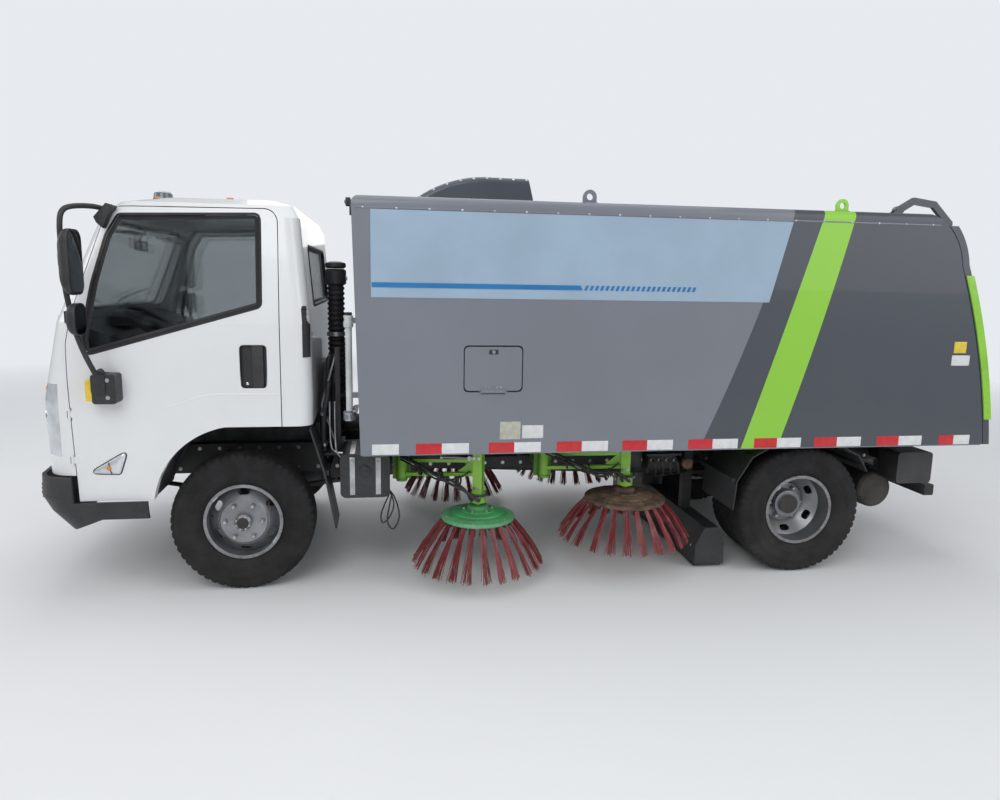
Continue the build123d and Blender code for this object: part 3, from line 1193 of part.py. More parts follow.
# Each row: X ahead of the rear axle, height
GUARD_BENDS = ((448, 415), (434, 590), (344, 738), (230, 798), (-230, 798), (-352, 734), (-414, 634))
GUARD_STAYS = ((444, 592), (-392, 684))
FLAP_BENDS = ((-380, 926), (-452, 680), (-512, 350))
with BuildPart() as mudguards:
    for sign in (1, -1):
        with BuildSketch(side_plane(sign * 536)) as guard:
            with BuildLine() as guard_line:
                Polyline(*[(REAR_AXLE_X + x, z) for x, z in GUARD_BENDS])
            trace(guard_line.line, line_width=GUARD_SHEET)
        extrude(guard.sketch, amount=-sign * 446)
        for stay_x, stay_z in GUARD_STAYS:
            with Locations((REAR_AXLE_X + stay_x, sign * (RAIL_OUTER_Y + SEAT_GAP + 960) / 2, stay_z)):
                Box(26, 960 - RAIL_OUTER_Y - SEAT_GAP, 26)
        with BuildSketch(side_plane(sign * 640)) as flap:
            with BuildLine() as flap_line:
                Polyline(*[(fx(x), z) for x, z in FLAP_BENDS])
            trace(flap_line.line, line_width=10)
        extrude(flap.sketch, amount=-sign * 250)
        with Locations((fx(-462), sign * (RAIL_OUTER_Y + SEAT_GAP + 860) / 2, 668)):
            Box(26, 860 - RAIL_OUTER_Y - SEAT_GAP, 26)
mudguards.part.label = "mudguards"
export_step(mudguards.part, "parts/mudguards.step")

# Suction nozzle ahead of the rear axle, with its duct up to the hopper's floor
NOZZLE_X = fx(-2790)
NOZZLE_HALF = 850
NOZZLE_LOW = 28
DUCT_Y = -226
DUCT_RADIUS = 80
with BuildPart() as suction_nozzle:
    with BuildSketch(side_plane(0)) as hood:
        with BuildLine():
            Polyline((NOZZLE_X - 92, NOZZLE_LOW), (NOZZLE_X + 96, NOZZLE_LOW), (NOZZLE_X + 96, 150),
                     (NOZZLE_X + 40, 262), (NOZZLE_X - 50, 262), (NOZZLE_X - 92, 150), close=True)
        make_face()
    extrude(hood.sketch, amount=NOZZLE_HALF, both=True)
    with BuildSketch(side_plane(0)) as mouth:
        with BuildLine():
            Polyline((NOZZLE_X - 82, NOZZLE_LOW), (NOZZLE_X + 86, NOZZLE_LOW), (NOZZLE_X + 86, 148),
                     (NOZZLE_X + 34, 250), (NOZZLE_X - 44, 250), (NOZZLE_X - 82, 148), close=True)
        make_face()
    extrude(mouth.sketch, amount=NOZZLE_HALF - 12, both=True, mode=Mode.SUBTRACT)
    with BuildSketch(Plane.XY.offset(256)) as duct:
        with Locations((NOZZLE_X - 4, DUCT_Y)):
            Circle(DUCT_RADIUS)
    extrude(duct.sketch, amount=BODY_FLOOR_Z - RUN_GAP - 256)
    # Posts up the outer faces of the rails, clear of the spring hangers
    for post_y in (-RAIL_OUTER_Y - SEAT_GAP - 30, RAIL_OUTER_Y + SEAT_GAP + 30):
        with Locations((NOZZLE_X - 4, post_y, (256 + 700) / 2)):
            Box(60, 60, 700 - 256)
suction_nozzle.part.label = "suction_nozzle"
export_step(suction_nozzle.part, "parts/suction_nozzle.step")

# Brush units. Each row: name, pivot ahead of the front axle, brush ahead of it, brush Y, disc's height,
# end post's low and high edge, bars' height at the pivot, disc radius, bristle tips' radius and height
BRUSH_PIVOT_Y = 600
BRUSH_UNITS = (
    ("front", -890, -1335, 790, 372, 512, 754, 640, 218, 408, 84),
    ("rear", -1770, -2250, 760, 448, 600, 781, 660, 245, 418, 206),
)
BRACKET_LOW = 545
BRACKET_HIGH = 722
EAR_THICK = 15
EAR_RADIUS = 34
ARM_PIN_RADIUS = 14
ARM_HUB_RADIUS = 30
BAR_THICK = 20
BAR_RISE = 34
BRUSH_SPINDLE_RADIUS = 16
TUFT_COUNT = 22

with BuildPart() as brush_brackets:
    for name, pivot, brush, brush_y, disc_z, low, high, bar_z, disc_r, tip_r, tip_z in BRUSH_UNITS:
        for sign in (1, -1):
            pin = (fx(pivot), sign * BRUSH_PIVOT_Y)
            with Locations((pin[0], sign * (RAIL_OUTER_Y + 552) / 2, 640)):
                Box(96, 552 - RAIL_OUTER_Y, 70)
            with Locations((pin[0], sign * 552, (BRACKET_LOW + BRACKET_HIGH) / 2)):
                Box(110, 20, BRACKET_HIGH - BRACKET_LOW)
            for ear_z in (BRACKET_LOW, BRACKET_HIGH - EAR_THICK):
                with BuildSketch(Plane.XY.offset(ear_z)) as ear:
                    with Locations(pin):
                        Circle(EAR_RADIUS)
                    with Locations((pin[0], sign * (552 + BRUSH_PIVOT_Y) / 2)):
                        Rectangle(2 * EAR_RADIUS, BRUSH_PIVOT_Y - 552)
                extrude(ear.sketch, amount=EAR_THICK)
            with BuildSketch(Plane.XY.offset(BRACKET_LOW)) as arm_pin:
                with Locations(pin):
                    Circle(ARM_PIN_RADIUS)
            extrude(arm_pin.sketch, amount=BRACKET_HIGH - BRACKET_LOW)
brush_brackets.part.label = "brush_brackets"
export_step(brush_brackets.part, "parts/brush_brackets.step")

for name, pivot, brush, brush_y, disc_z, low, high, bar_z, disc_r, tip_r, tip_z in BRUSH_UNITS:
    for side, sign in SIDES:
        pin = Vector(fx(pivot), sign * BRUSH_PIVOT_Y, 0)
        centre = Vector(fx(brush), sign * brush_y, 0)
        reach = (centre - pin).length
        along = (centre - pin).normalized()
        arm_plane = Plane(origin=pin, x_dir=along, z_dir=(along.Y, -along.X, 0))
        hub_low = BRACKET_LOW + EAR_THICK + 2
        hub_high = BRACKET_HIGH - EAR_THICK - 2
        with BuildPart() as brush_arm:
            with BuildSketch(Plane.XY.offset(hub_low)) as hub:
                with Locations((pin.X, pin.Y)):
                    Circle(ARM_HUB_RADIUS)
            extrude(hub.sketch, amount=hub_high - hub_low)
            with BuildSketch(arm_plane) as bars:
                for bar_low in (bar_z - 62, bar_z + 22):
                    with BuildLine():
                        Polyline((10, bar_low), (reach - 24, bar_low + BAR_RISE),
                                 (reach - 24, bar_low + BAR_RISE + BAR_THICK), (10, bar_low + BAR_THICK),
                                 close=True)
                    make_face()
            extrude(bars.sketch, amount=17, both=True)
            with BuildSketch(arm_plane) as post:
                with Locations((reach, (low + high) / 2)):
                    Rectangle(56, high - low)
            extrude(post.sketch, amount=30, both=True)
            with BuildSketch(arm_plane) as post_hollow:
                with Locations((reach + 8, (low + high) / 2 + 8)):
                    Rectangle(56, high - low - 30)
            extrude(post_hollow.sketch, amount=22, both=True, mode=Mode.SUBTRACT)
            with BuildSketch(Plane.XY.offset(hub_low)) as bore:
                with Locations((pin.X, pin.Y)):
                    Circle(ARM_PIN_RADIUS + PIN_GAP)
            extrude(bore.sketch, amount=hub_high - hub_low, mode=Mode.SUBTRACT)
            # Hydraulic motor under the post, and its spindle into the brush
            with BuildSketch(Plane.XY.offset(low)) as motor:
                with Locations((centre.X, centre.Y)):
                    Circle(46)
            extrude(motor.sketch, amount=-(low - disc_z - 82))
            with BuildSketch(Plane.XY.offset(disc_z + 84)) as spindle:
                with Locations((centre.X, centre.Y)):
                    Circle(BRUSH_SPINDLE_RADIUS)
            extrude(spindle.sketch, amount=-54)
        brush_arm.part.label = f"{name}_arm_{side}"
        export_step(brush_arm.part, f"parts/{name}_arm_{side}.step")

        turn_axis = Axis((centre.X, centre.Y, 0), (0, 0, 1))
        root = Vector(disc_r - 16, 0, disc_z - 8)
        tip = Vector(tip_r - 16, 0, tip_z)
        run = (tip - root).normalized()
        tuft_ends = []
        for point, tangential, radial in ((root, 22, 16), (tip, 46, 24)):
            end_plane = Plane(origin=point + Vector(centre.X, centre.Y, 0), x_dir=(0, 1, 0), z_dir=run)
            with BuildSketch(end_plane) as tuft_end:
                Rectangle(tangential, radial)
            tuft_ends.append(tuft_end.sketch)
        with BuildPart() as tuft:
            loft(sections=tuft_ends, ruled=True)
        brush_top = Plane(origin=(centre.X, centre.Y, disc_z), x_dir=(1, 0, 0), z_dir=(0, -1, 0))
        with BuildPart() as brush_unit:
            with BuildSketch(brush_top) as disc_section:
                with BuildLine():
                    Polyline((0, 20), (0, 28), (BRUSH_SPINDLE_RADIUS + PIN_GAP, 28),
                             (BRUSH_SPINDLE_RADIUS + PIN_GAP, 66), (62, 66), (74, 44), (disc_r * 0.74, 40),
                             (disc_r, 8), (disc_r, -14), (disc_r - 26, -14), (disc_r * 0.66, 18), close=True)
                make_face()
            revolve(disc_section.sketch, axis=turn_axis)
            for index in range(TUFT_COUNT):
                add(tuft.part.rotate(turn_axis, 360 / TUFT_COUNT * index))
        brush_unit.part.label = f"{name}_brush_{side}"
        export_step(brush_unit.part, f"parts/{name}_brush_{side}.step")

# Hopper body: one outer form, split into its panels
BODY_HALF = 1030
BODY_WALL = 50
BODY_TOP = 2185
ROOF_SPLIT = 2120
ROOF_THICK = 45
BODY_EDGE = 45                 # radius of the body's long upper edges
BODY_FRONT_LOW = fx(-658)
BODY_FRONT_HIGH = fx(-624)
TAILGATE_THICK = 42
BODY_REAR_X = REAR_X + TAILGATE_THICK + RUN_GAP
# Each row: distance ahead of the body's lower rear corner, height
REAR_CURVE = ((0, BODY_FLOOR_Z), (94, 1323), (277, 1885), (360, 2080), (491, BODY_TOP))
rear_points = [(BODY_REAR_X + ahead, height) for ahead, height in REAR_CURVE]


def body_outline(grow):
    """Face of the body in side view, grown all round by a distance."""
    with BuildSketch(side_plane(0)) as outline:
        with BuildLine():
            ThreePointArc(*rear_points[:3])
            ThreePointArc(*rear_points[2:])
            Line(rear_points[4], (BODY_FRONT_HIGH - BODY_EDGE, BODY_TOP))
            ThreePointArc((BODY_FRONT_HIGH - BODY_EDGE, BODY_TOP),
                          quarter_mid((BODY_FRONT_HIGH - BODY_EDGE, BODY_TOP - BODY_EDGE), BODY_EDGE, 45),
                          (BODY_FRONT_HIGH, BODY_TOP - BODY_EDGE))
            Polyline((BODY_FRONT_HIGH, BODY_TOP - BODY_EDGE), (BODY_FRONT_LOW, BODY_FLOOR_Z), rear_points[0])
        make_face()
        if grow:
            offset(amount=grow, kind=Kind.INTERSECTION)
    return outline.sketch


with BuildPart() as body_form:
    extrude(body_outline(0), amount=BODY_HALF, both=True)
    with BuildSketch(cross_plane(BODY_REAR_X)) as body_section:
        with Locations((0, (BODY_FLOOR_Z + BODY_TOP) / 2)):
            Rectangle(2 * BODY_HALF, BODY_TOP - BODY_FLOOR_Z)
        fillet(body_section.vertices().group_by(Axis.Y)[-1], BODY_EDGE)
    extrude(body_section.sketch, amount=BODY_FRONT_HIGH - BODY_REAR_X, mode=Mode.INTERSECT)

# Floor with its two sills, the tipping hinge's lugs and the cheeks over the cylinder's rod
SILL_LOW = RAIL_TOP + REST_PAD + SEAT_GAP
SILL_FRONT = fx(-712)
SILL_REAR = fx(-4240)
ROD_EYE = (fx(-2600), 735)
ROD_CHEEK_Y = 38
PANEL_INNER_Y = BODY_HALF - BODY_WALL - SEAT_GAP
with BuildPart() as body_floor:
    with Locations(((BODY_REAR_X + BODY_FRONT_LOW - BODY_WALL) / 2, 0, BODY_FLOOR_Z + BODY_WALL / 2)):
        Box(BODY_FRONT_LOW - BODY_WALL - SEAT_GAP - BODY_REAR_X, 2 * PANEL_INNER_Y, BODY_WALL)
    add(body_form.part, mode=Mode.INTERSECT)
    for sill_y in (-SPRING_Y, SPRING_Y):
        with Locations(((SILL_FRONT + SILL_REAR) / 2, sill_y, (SILL_LOW + BODY_FLOOR_Z + 2) / 2)):
            Box(SILL_FRONT - SILL_REAR, 50, BODY_FLOOR_Z + 2 - SILL_LOW)
    for lug_y in (-TIP_LUG_Y, TIP_LUG_Y):
        with BuildSketch(side_plane(lug_y)) as tip_lug:
            with Locations((TIP_X, (TIP_Z + BODY_FLOOR_Z + 10) / 2)):
                Rectangle(2 * TIP_LUG_RADIUS, BODY_FLOOR_Z + 10 - TIP_Z)
            with Locations((TIP_X, TIP_Z)):
                Circle(TIP_LUG_RADIUS)
                Circle(TIP_PIN_RADIUS + PIN_GAP, mode=Mode.SUBTRACT)
        extrude(tip_lug.sketch, amount=TIP_LUG_THICK / 2, both=True)
    for cheek_y in (-ROD_CHEEK_Y, ROD_CHEEK_Y):
        with BuildSketch(side_plane(cheek_y)) as rod_cheek:
            with BuildLine():
                Polyline((ROD_EYE[0] - 70, BODY_FLOOR_Z + 10), (ROD_EYE[0] + 70, BODY_FLOOR_Z + 10),
                         (ROD_EYE[0] + 30, 700), (ROD_EYE[0] - 30, 700), close=True)
            make_face()
        extrude(rod_cheek.sketch, amount=6, both=True)
body_floor.part.label = "body_floor"
export_step(body_floor.part, "parts/body_floor.step")

# Front wall with the filling pipe, and the hopper's bulkhead behind the engine room
FILL_PIPE_X = fx(-597)
FILL_PIPE_Y = 900
FILL_PIPE_RADIUS = 17
FILL_COUPLING_RADIUS = 33
FILL_COUPLING_LOW = 979
FILL_COUPLING_LENGTH = 50
FILL_PIPE_TOP = 1559
BULKHEAD_X = fx(-1700)
BULKHEAD_THICK = 30
with BuildPart() as body_front:
    with BuildSketch(side_plane(0)) as wall_section:
        with BuildLine():
            Polyline((BODY_FRONT_LOW + 20, BODY_FLOOR_Z), (BODY_FRONT_LOW - BODY_WALL, BODY_FLOOR_Z),
                     (BODY_FRONT_HIGH - BODY_WALL, ROOF_SPLIT - SEAT_GAP),
                     (BODY_FRONT_HIGH + 20, ROOF_SPLIT - SEAT_GAP), close=True)
        make_face()
    extrude(wall_section.sketch, amount=PANEL_INNER_Y, both=True)
    add(body_form.part, mode=Mode.INTERSECT)
    bulkhead_low = BODY_FLOOR_Z + BODY_WALL + SEAT_GAP
    with Locations((BULKHEAD_X, 0, (bulkhead_low + ROOF_SPLIT - SEAT_GAP) / 2)):
        Box(BULKHEAD_THICK, 2 * PANEL_INNER_Y, ROOF_SPLIT - SEAT_GAP - bulkhead_low)
    with BuildSketch(Plane.XY.offset(FILL_COUPLING_LOW)) as coupling:
        with Locations((FILL_PIPE_X, FILL_PIPE_Y)):
            Circle(FILL_COUPLING_RADIUS)
    extrude(coupling.sketch, amount=FILL_COUPLING_LENGTH)
    with BuildSketch(Plane.XY.offset(FILL_COUPLING_LOW)) as pipe:
        with Locations((FILL_PIPE_X, FILL_PIPE_Y)):
            Circle(FILL_PIPE_RADIUS)
    extrude(pipe.sketch, amount=FILL_PIPE_TOP - FILL_COUPLING_LOW)
    for clip_z in (1120, 1530):
        with Locations(((FILL_PIPE_X + BODY_FRONT_LOW) / 2, FILL_PIPE_Y, clip_z)):
            Box(FILL_PIPE_X - BODY_FRONT_LOW, 26, 30)
body_front.part.label = "body_front"
export_step(body_front.part, "parts/body_front.step")

# Sides, the left one with the hatch's opening
HATCH_X = (fx(-1538), fx(-1221))
HATCH_Z = (1158, 1400)
HATCH_CORNER = 25
HATCH_THICK = 22
HATCH_PIVOT_Y = BODY_HALF + 3
HATCH_PIVOT_Z = HATCH_Z[0] - 5
HATCH_BARREL_RADIUS = 9
HATCH_BARREL_LENGTH = 130
HATCH_PIN_RADIUS = 4
HATCH_EAR_LENGTH = 12


def hatch_outline(grow):
    """Face of the side hatch, grown all round by a distance."""
    with BuildSketch(side_plane(BODY_HALF)) as outline:
        with Locations(((HATCH_X[0] + HATCH_X[1]) / 2, (HATCH_Z[0] + HATCH_Z[1]) / 2)):
            RectangleRounded(HATCH_X[1] - HATCH_X[0] + 2 * grow, HATCH_Z[1] - HATCH_Z[0] + 2 * grow,
                             HATCH_CORNER)
    return outline.sketch


hatch_pivot = Plane(origin=((HATCH_X[0] + HATCH_X[1]) / 2, HATCH_PIVOT_Y, HATCH_PIVOT_Z),
                    x_dir=(0, 1, 0), z_dir=(1, 0, 0))
for side, sign in SIDES:
    with BuildPart() as body_side:
        with Locations(((BODY_REAR_X + BODY_FRONT_HIGH) / 2, sign * (BODY_HALF - BODY_WALL / 2),
                        (BODY_FLOOR_Z + ROOF_SPLIT) / 2)):
            Box(BODY_FRONT_HIGH - BODY_REAR_X, BODY_WALL, ROOF_SPLIT - BODY_FLOOR_Z)
        add(body_form.part, mode=Mode.INTERSECT)
        if side == "left":
            extrude(hatch_outline(RUN_GAP), amount=2 * BODY_WALL, mode=Mode.SUBTRACT)
            with BuildSketch(hatch_pivot) as barrel_relief:
                Circle(HATCH_BARREL_RADIUS + RUN_GAP)
            extrude(barrel_relief.sketch, amount=HATCH_BARREL_LENGTH / 2 + RUN_GAP, both=True,
                    mode=Mode.SUBTRACT)
            # Pin of the hatch's hinge, with an ear at each end
            with BuildSketch(hatch_pivot) as hatch_pin:
                Circle(HATCH_PIN_RADIUS)
            extrude(hatch_pin.sketch, amount=HATCH_BARREL_LENGTH / 2 + HATCH_EAR_LENGTH, both=True)
            for end_sign in (1, -1):
                ear_start = end_sign * (HATCH_BARREL_LENGTH / 2 + PIN_GAP)
                with BuildSketch(hatch_pivot.offset(ear_start)) as hatch_ear:
                    Circle(HATCH_PIN_RADIUS)
                    with Locations((-9, -8)):
                        Rectangle(20, 16)
                extrude(hatch_ear.sketch, amount=end_sign * HATCH_EAR_LENGTH)
    body_side.part.label = f"body_side_{side}"
    export_step(body_side.part, f"parts/body_side_{side}.step")

with BuildPart() as side_hatch:
    extrude(hatch_outline(0), amount=HATCH_THICK)
    with BuildSketch(hatch_pivot) as barrel_end:
        Circle(HATCH_BARREL_RADIUS)
        with Locations((-4, 10)):
            Rectangle(10, 20)
        Circle(HATCH_PIN_RADIUS + PIN_GAP, mode=Mode.SUBTRACT)
    extrude(barrel_end.sketch, amount=HATCH_BARREL_LENGTH / 2, both=True)
side_hatch.part.label = "side_hatch"
export_step(side_hatch.part, "parts/side_hatch.step")

# Roof with lifting eyes and the tailgate's hinge brackets
LIFT_EYE_X = (fx(-1907), fx(-3412))
LIFT_EYE_Y = 960
LIFT_EYE_Z = 2218
LIFT_EYE_RADIUS = 38
LIFT_EYE_BORE = 18
LIFT_EYE_THICK = 14
GATE_PIVOT = (fx(-3960), 2230)
GATE_ARM_Y = 700
GATE_ARM_WIDTH = 28
GATE_PIN_RADIUS = 12
GATE_CHEEK = 12
with BuildPart() as body_roof:
    with Locations(((BODY_REAR_X + BODY_FRONT_HIGH) / 2, 0, (ROOF_SPLIT + BODY_TOP) / 2)):
        Box(BODY_FRONT_HIGH - BODY_REAR_X, 2 * BODY_HALF, BODY_TOP - ROOF_SPLIT)
    add(body_form.part, mode=Mode.INTERSECT)
    hollow_back = BODY_REAR_X + REAR_CURVE[3][0] + 80
    hollow_front = BODY_FRONT_HIGH - BODY_WALL
    with Locations(((hollow_back + hollow_front) / 2, 0, ROOF_SPLIT)):
        Box(hollow_front - hollow_back, 2 * (BODY_HALF - BODY_WALL), 2 * (BODY_TOP - ROOF_THICK - ROOF_SPLIT),
            mode=Mode.SUBTRACT)
    for eye_x in LIFT_EYE_X:
        for eye_y in (-LIFT_EYE_Y, LIFT_EYE_Y):
            with BuildSketch(side_plane(eye_y)) as lift_eye:
                with Locations((eye_x, (LIFT_EYE_Z + BODY_TOP - 15) / 2)):
                    Rectangle(2 * LIFT_EYE_RADIUS, LIFT_EYE_Z - BODY_TOP + 15)
                with Locations((eye_x, LIFT_EYE_Z)):
                    Circle(LIFT_EYE_RADIUS)
                    Circle(LIFT_EYE_BORE, mode=Mode.SUBTRACT)
            extrude(lift_eye.sketch, amount=LIFT_EYE_THICK / 2, both=True)
    for arm_y in (-GATE_ARM_Y, GATE_ARM_Y):
        for cheek in (-1, 1):
            cheek_y = arm_y + cheek * (GATE_ARM_WIDTH / 2 + PIN_GAP + GATE_CHEEK / 2)
            with BuildSketch(side_plane(cheek_y)) as gate_cheek:
                with BuildLine():
                    Polyline((GATE_PIVOT[0] - 22, GATE_PIVOT[1]), (GATE_PIVOT[0] + 22, GATE_PIVOT[1]),
                             (GATE_PIVOT[0] + 90, BODY_TOP - 15), (GATE_PIVOT[0] + 4, BODY_TOP - 15),
                             close=True)
                make_face()
                with Locations(GATE_PIVOT):
                    Circle(24)
            extrude(gate_cheek.sketch, amount=GATE_CHEEK / 2, both=True)
        with BuildSketch(side_plane(arm_y)) as gate_pin:
            with Locations(GATE_PIVOT):
                Circle(GATE_PIN_RADIUS)
        extrude(gate_pin.sketch, amount=GATE_ARM_WIDTH / 2 + GATE_CHEEK, both=True)
body_roof.part.label = "body_roof"
export_step(body_roof.part, "parts/body_roof.step")

# Raised cowl over the fan, open below
COWL_HALF = 480
COWL_WALL = 16
COWL_LOW = BODY_TOP + SEAT_GAP


def cowl_outline(inset):
    """Face of the roof cowl in side view, drawn in by its wall."""
    with BuildSketch(side_plane(0)) as outline:
        with BuildLine():
            ThreePointArc((fx(-925) - inset, COWL_LOW), (fx(-1150), 2322 - inset), (fx(-1440), 2368 - inset))
            Polyline((fx(-1440), 2368 - inset), (fx(-1655) + inset / 2, 2366 - inset),
                     (fx(-1700) + inset, COWL_LOW), (fx(-925) - inset, COWL_LOW))
        make_face()
    return outline.sketch


with BuildPart() as roof_cowl:
    extrude(cowl_outline(0), amount=COWL_HALF, both=True)
    fillet(roof_cowl.faces().filter_by(Axis.Y).edges().group_by(Axis.Z)[-1], 34)
    extrude(cowl_outline(COWL_WALL), amount=COWL_HALF - 2 * COWL_WALL, both=True, mode=Mode.SUBTRACT)
roof_cowl.part.label = "roof_cowl"
export_step(roof_cowl.part, "parts/roof_cowl.step")

# Auxiliary engine and fan behind the front wall, one plain block
with BuildPart() as auxiliary_engine:
    with Locations((fx(-960), 0, (BODY_FLOOR_Z + BODY_WALL + SEAT_GAP + 1500) / 2)):
        Box(400, 700, 1500 - BODY_FLOOR_Z - BODY_WALL - SEAT_GAP)
auxiliary_engine.part.label = "auxiliary_engine"
export_step(auxiliary_engine.part, "parts/auxiliary_engine.step")

# Tailgate: a sheet that follows the body's rear edge, hung from two arms over the roof
TAILGATE_TOP = 2118
ARM_WIDTH = 40
# Each row: X ahead of the front axle, height, along the arm from the pivot to the sheet
GATE_ARM = ((-3960, 2230), (-4060, 2290), (-4200, 2272), (-4318, 2160), (-4326, 1900), (-4268, 1740))
TRIM_PROUD = 8
TRIM_LOW = 962
TRIM_HIGH = 1833


def gate_band(near, far, low, high):
    """Band behind the body's rear edge, between two distances from it and two heights."""
    with BuildSketch(side_plane(0)) as band:
        add(body_outline(far))
        add(body_outline(near), mode=Mode.SUBTRACT)
        with Locations((BODY_REAR_X + 150, (low + high) / 2)):
            Rectangle(700, high - low, mode=Mode.INTERSECT)
    return band.sketch


with BuildPart() as tailgate:
    extrude(gate_band(RUN_GAP, RUN_GAP + TAILGATE_THICK, BODY_FLOOR_Z, TAILGATE_TOP), amount=BODY_HALF,
            both=True)
    for arm_y in (-GATE_ARM_Y, GATE_ARM_Y):
        with BuildSketch(side_plane(arm_y)) as gate_arm:
            with BuildLine() as arm_line:
                Polyline(*[(fx(x), z) for x, z in GATE_ARM])
            trace(arm_line.line, line_width=ARM_WIDTH)
            with Locations(GATE_PIVOT):
                Circle(26)
                Circle(GATE_PIN_RADIUS + PIN_GAP, mode=Mode.SUBTRACT)
        extrude(gate_arm.sketch, amount=GATE_ARM_WIDTH / 2, both=True)
tailgate.part.label = "tailgate"
export_step(tailgate.part, "parts/tailgate.step")

with BuildPart() as tailgate_trim:
    for sign in (1, -1):
        with BuildSketch(side_plane(sign * (BODY_HALF + SEAT_GAP))) as trim:
            add(gate_band(RUN_GAP + 3, RUN_GAP + TAILGATE_THICK + TRIM_PROUD, TRIM_LOW, TRIM_HIGH))
        extrude(trim.sketch, amount=-sign * TRIM_PROUD)
tailgate_trim.part.label = "tailgate_trim"
export_step(tailgate_trim.part, "parts/tailgate_trim.step")

# Tipping cylinder under the floor
BARREL_RADIUS = 48
BARREL_BORE = 36
BARREL_FOOT = 60               # solid foot from the pivot to the bore's bottom
BARREL_LENGTH = 700
GLAND_LENGTH = 40
ROD_RADIUS = 24
PISTON_AT = 150                # piston's middle from the barrel's pivot, body lowered
PISTON_LENGTH = 60
base_pivot = Vector(TIP_BASE[0], 0, TIP_BASE[1])
rod_eye = Vector(ROD_EYE[0], 0, ROD_EYE[1])
ram_line = (rod_eye - base_pivot).normalized()
ram_plane = Plane(origin=base_pivot, x_dir=(0, 1, 0), z_dir=ram_line)
with BuildPart() as tip_barrel:
    with BuildSketch(ram_plane.offset(BARREL_FOOT - 22)) as barrel_round:
        Circle(BARREL_RADIUS)
    extrude(barrel_round.sketch, amount=BARREL_LENGTH - BARREL_FOOT + 22)
    with BuildSketch(side_plane(0)) as barrel_eye:
        with Locations(TIP_BASE):
            Circle(TIP_BASE_LUG)
            Rectangle(100, 2 * TIP_BASE_LUG, align=(Align.MIN, Align.CENTER))
    extrude(barrel_eye.sketch, amount=TIP_BASE_CHEEK_Y - 6 - 1, both=True)
    with BuildSketch(ram_plane.offset(BARREL_FOOT + 50)) as barrel_bore:
        Circle(BARREL_BORE)
    extrude(barrel_bore.sketch, amount=BARREL_LENGTH - BARREL_FOOT - 50 - GLAND_LENGTH, mode=Mode.SUBTRACT)
    with BuildSketch(ram_plane.offset(BARREL_LENGTH)) as gland:
        Circle(ROD_RADIUS + PIN_GAP)
    extrude(gland.sketch, amount=-GLAND_LENGTH - 1, mode=Mode.SUBTRACT)
    with BuildSketch(side_plane(0)) as pivot_hole:
        with Locations(TIP_BASE):
            Circle(18 + PIN_GAP)
    extrude(pivot_hole.sketch, amount=TIP_BASE_CHEEK_Y, both=True, mode=Mode.SUBTRACT)
tip_barrel.part.label = "tip_barrel"
export_step(tip_barrel.part, "parts/tip_barrel.step")

with BuildPart() as tip_rod:
    rod_length = (rod_eye - base_pivot).length
    with BuildSketch(ram_plane.offset(PISTON_AT - PISTON_LENGTH / 2)) as piston:
        Circle(BARREL_BORE - PIN_GAP)
    extrude(piston.sketch, amount=PISTON_LENGTH)
    with BuildSketch(ram_plane.offset(PISTON_AT)) as rod_round:
        Circle(ROD_RADIUS)
    extrude(rod_round.sketch, amount=rod_length - PISTON_AT - 10)
    with BuildSketch(side_plane(0)) as eye_round:
        with Locations(ROD_EYE):
            Circle(32)
    extrude(eye_round.sketch, amount=18, both=True)
    with BuildSketch(side_plane(0)) as eye_pin:
        with Locations(ROD_EYE):
            Circle(15)
    extrude(eye_pin.sketch, amount=24, both=True)
tip_rod.part.label = "tip_rod"
export_step(tip_rod.part, "parts/tip_rod.step")
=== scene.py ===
import bpy
import bmesh
import math
import random
from mathutils import Matrix, Vector
from mathutils.bvhtree import BVHTree


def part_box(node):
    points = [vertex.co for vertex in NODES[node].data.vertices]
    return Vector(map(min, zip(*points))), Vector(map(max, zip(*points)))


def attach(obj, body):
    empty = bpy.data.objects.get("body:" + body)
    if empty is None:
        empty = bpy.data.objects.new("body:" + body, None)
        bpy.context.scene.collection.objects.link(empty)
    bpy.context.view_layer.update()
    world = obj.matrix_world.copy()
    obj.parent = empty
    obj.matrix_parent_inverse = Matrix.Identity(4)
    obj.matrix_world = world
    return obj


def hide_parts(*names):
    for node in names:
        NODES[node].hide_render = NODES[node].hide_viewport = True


# Looks of a light street sweeper truck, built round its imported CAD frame.
# Metres. +X forward, +Y to the truck's left, +Z up. The ground is z = 0.

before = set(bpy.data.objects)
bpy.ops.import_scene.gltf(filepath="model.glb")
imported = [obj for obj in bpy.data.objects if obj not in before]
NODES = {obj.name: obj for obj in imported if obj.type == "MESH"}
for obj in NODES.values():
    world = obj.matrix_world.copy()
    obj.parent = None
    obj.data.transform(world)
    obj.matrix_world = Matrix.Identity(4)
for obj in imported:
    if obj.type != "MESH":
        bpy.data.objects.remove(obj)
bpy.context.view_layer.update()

SIDES = (("left", 1), ("right", -1))
AHEAD, ASTERN, LEFT, UP, DOWN = (1, 0, 0), (-1, 0, 0), (0, 1, 0), (0, 0, 1), (0, 0, -1)
FRONT_AXLE_X = 1.705
REAR_AXLE_X = -1.603
AXLE_Z = 0.393
BODY_HALF = 1.030


def fx(distance):
    """X of a point given by its distance in metres ahead of the front axle."""
    return FRONT_AXLE_X + distance


# ---- Camera, floor and light

CAMERA_PLACE = (0.917, 5.048, 1.768)
CAMERA_YAW = 8.92
CAMERA_PITCH = 9.24
CAMERA_ROLL = 1.01
CAMERA_LENS = 26.86
BACKDROP = (0.80, 0.83, 0.87, 1)


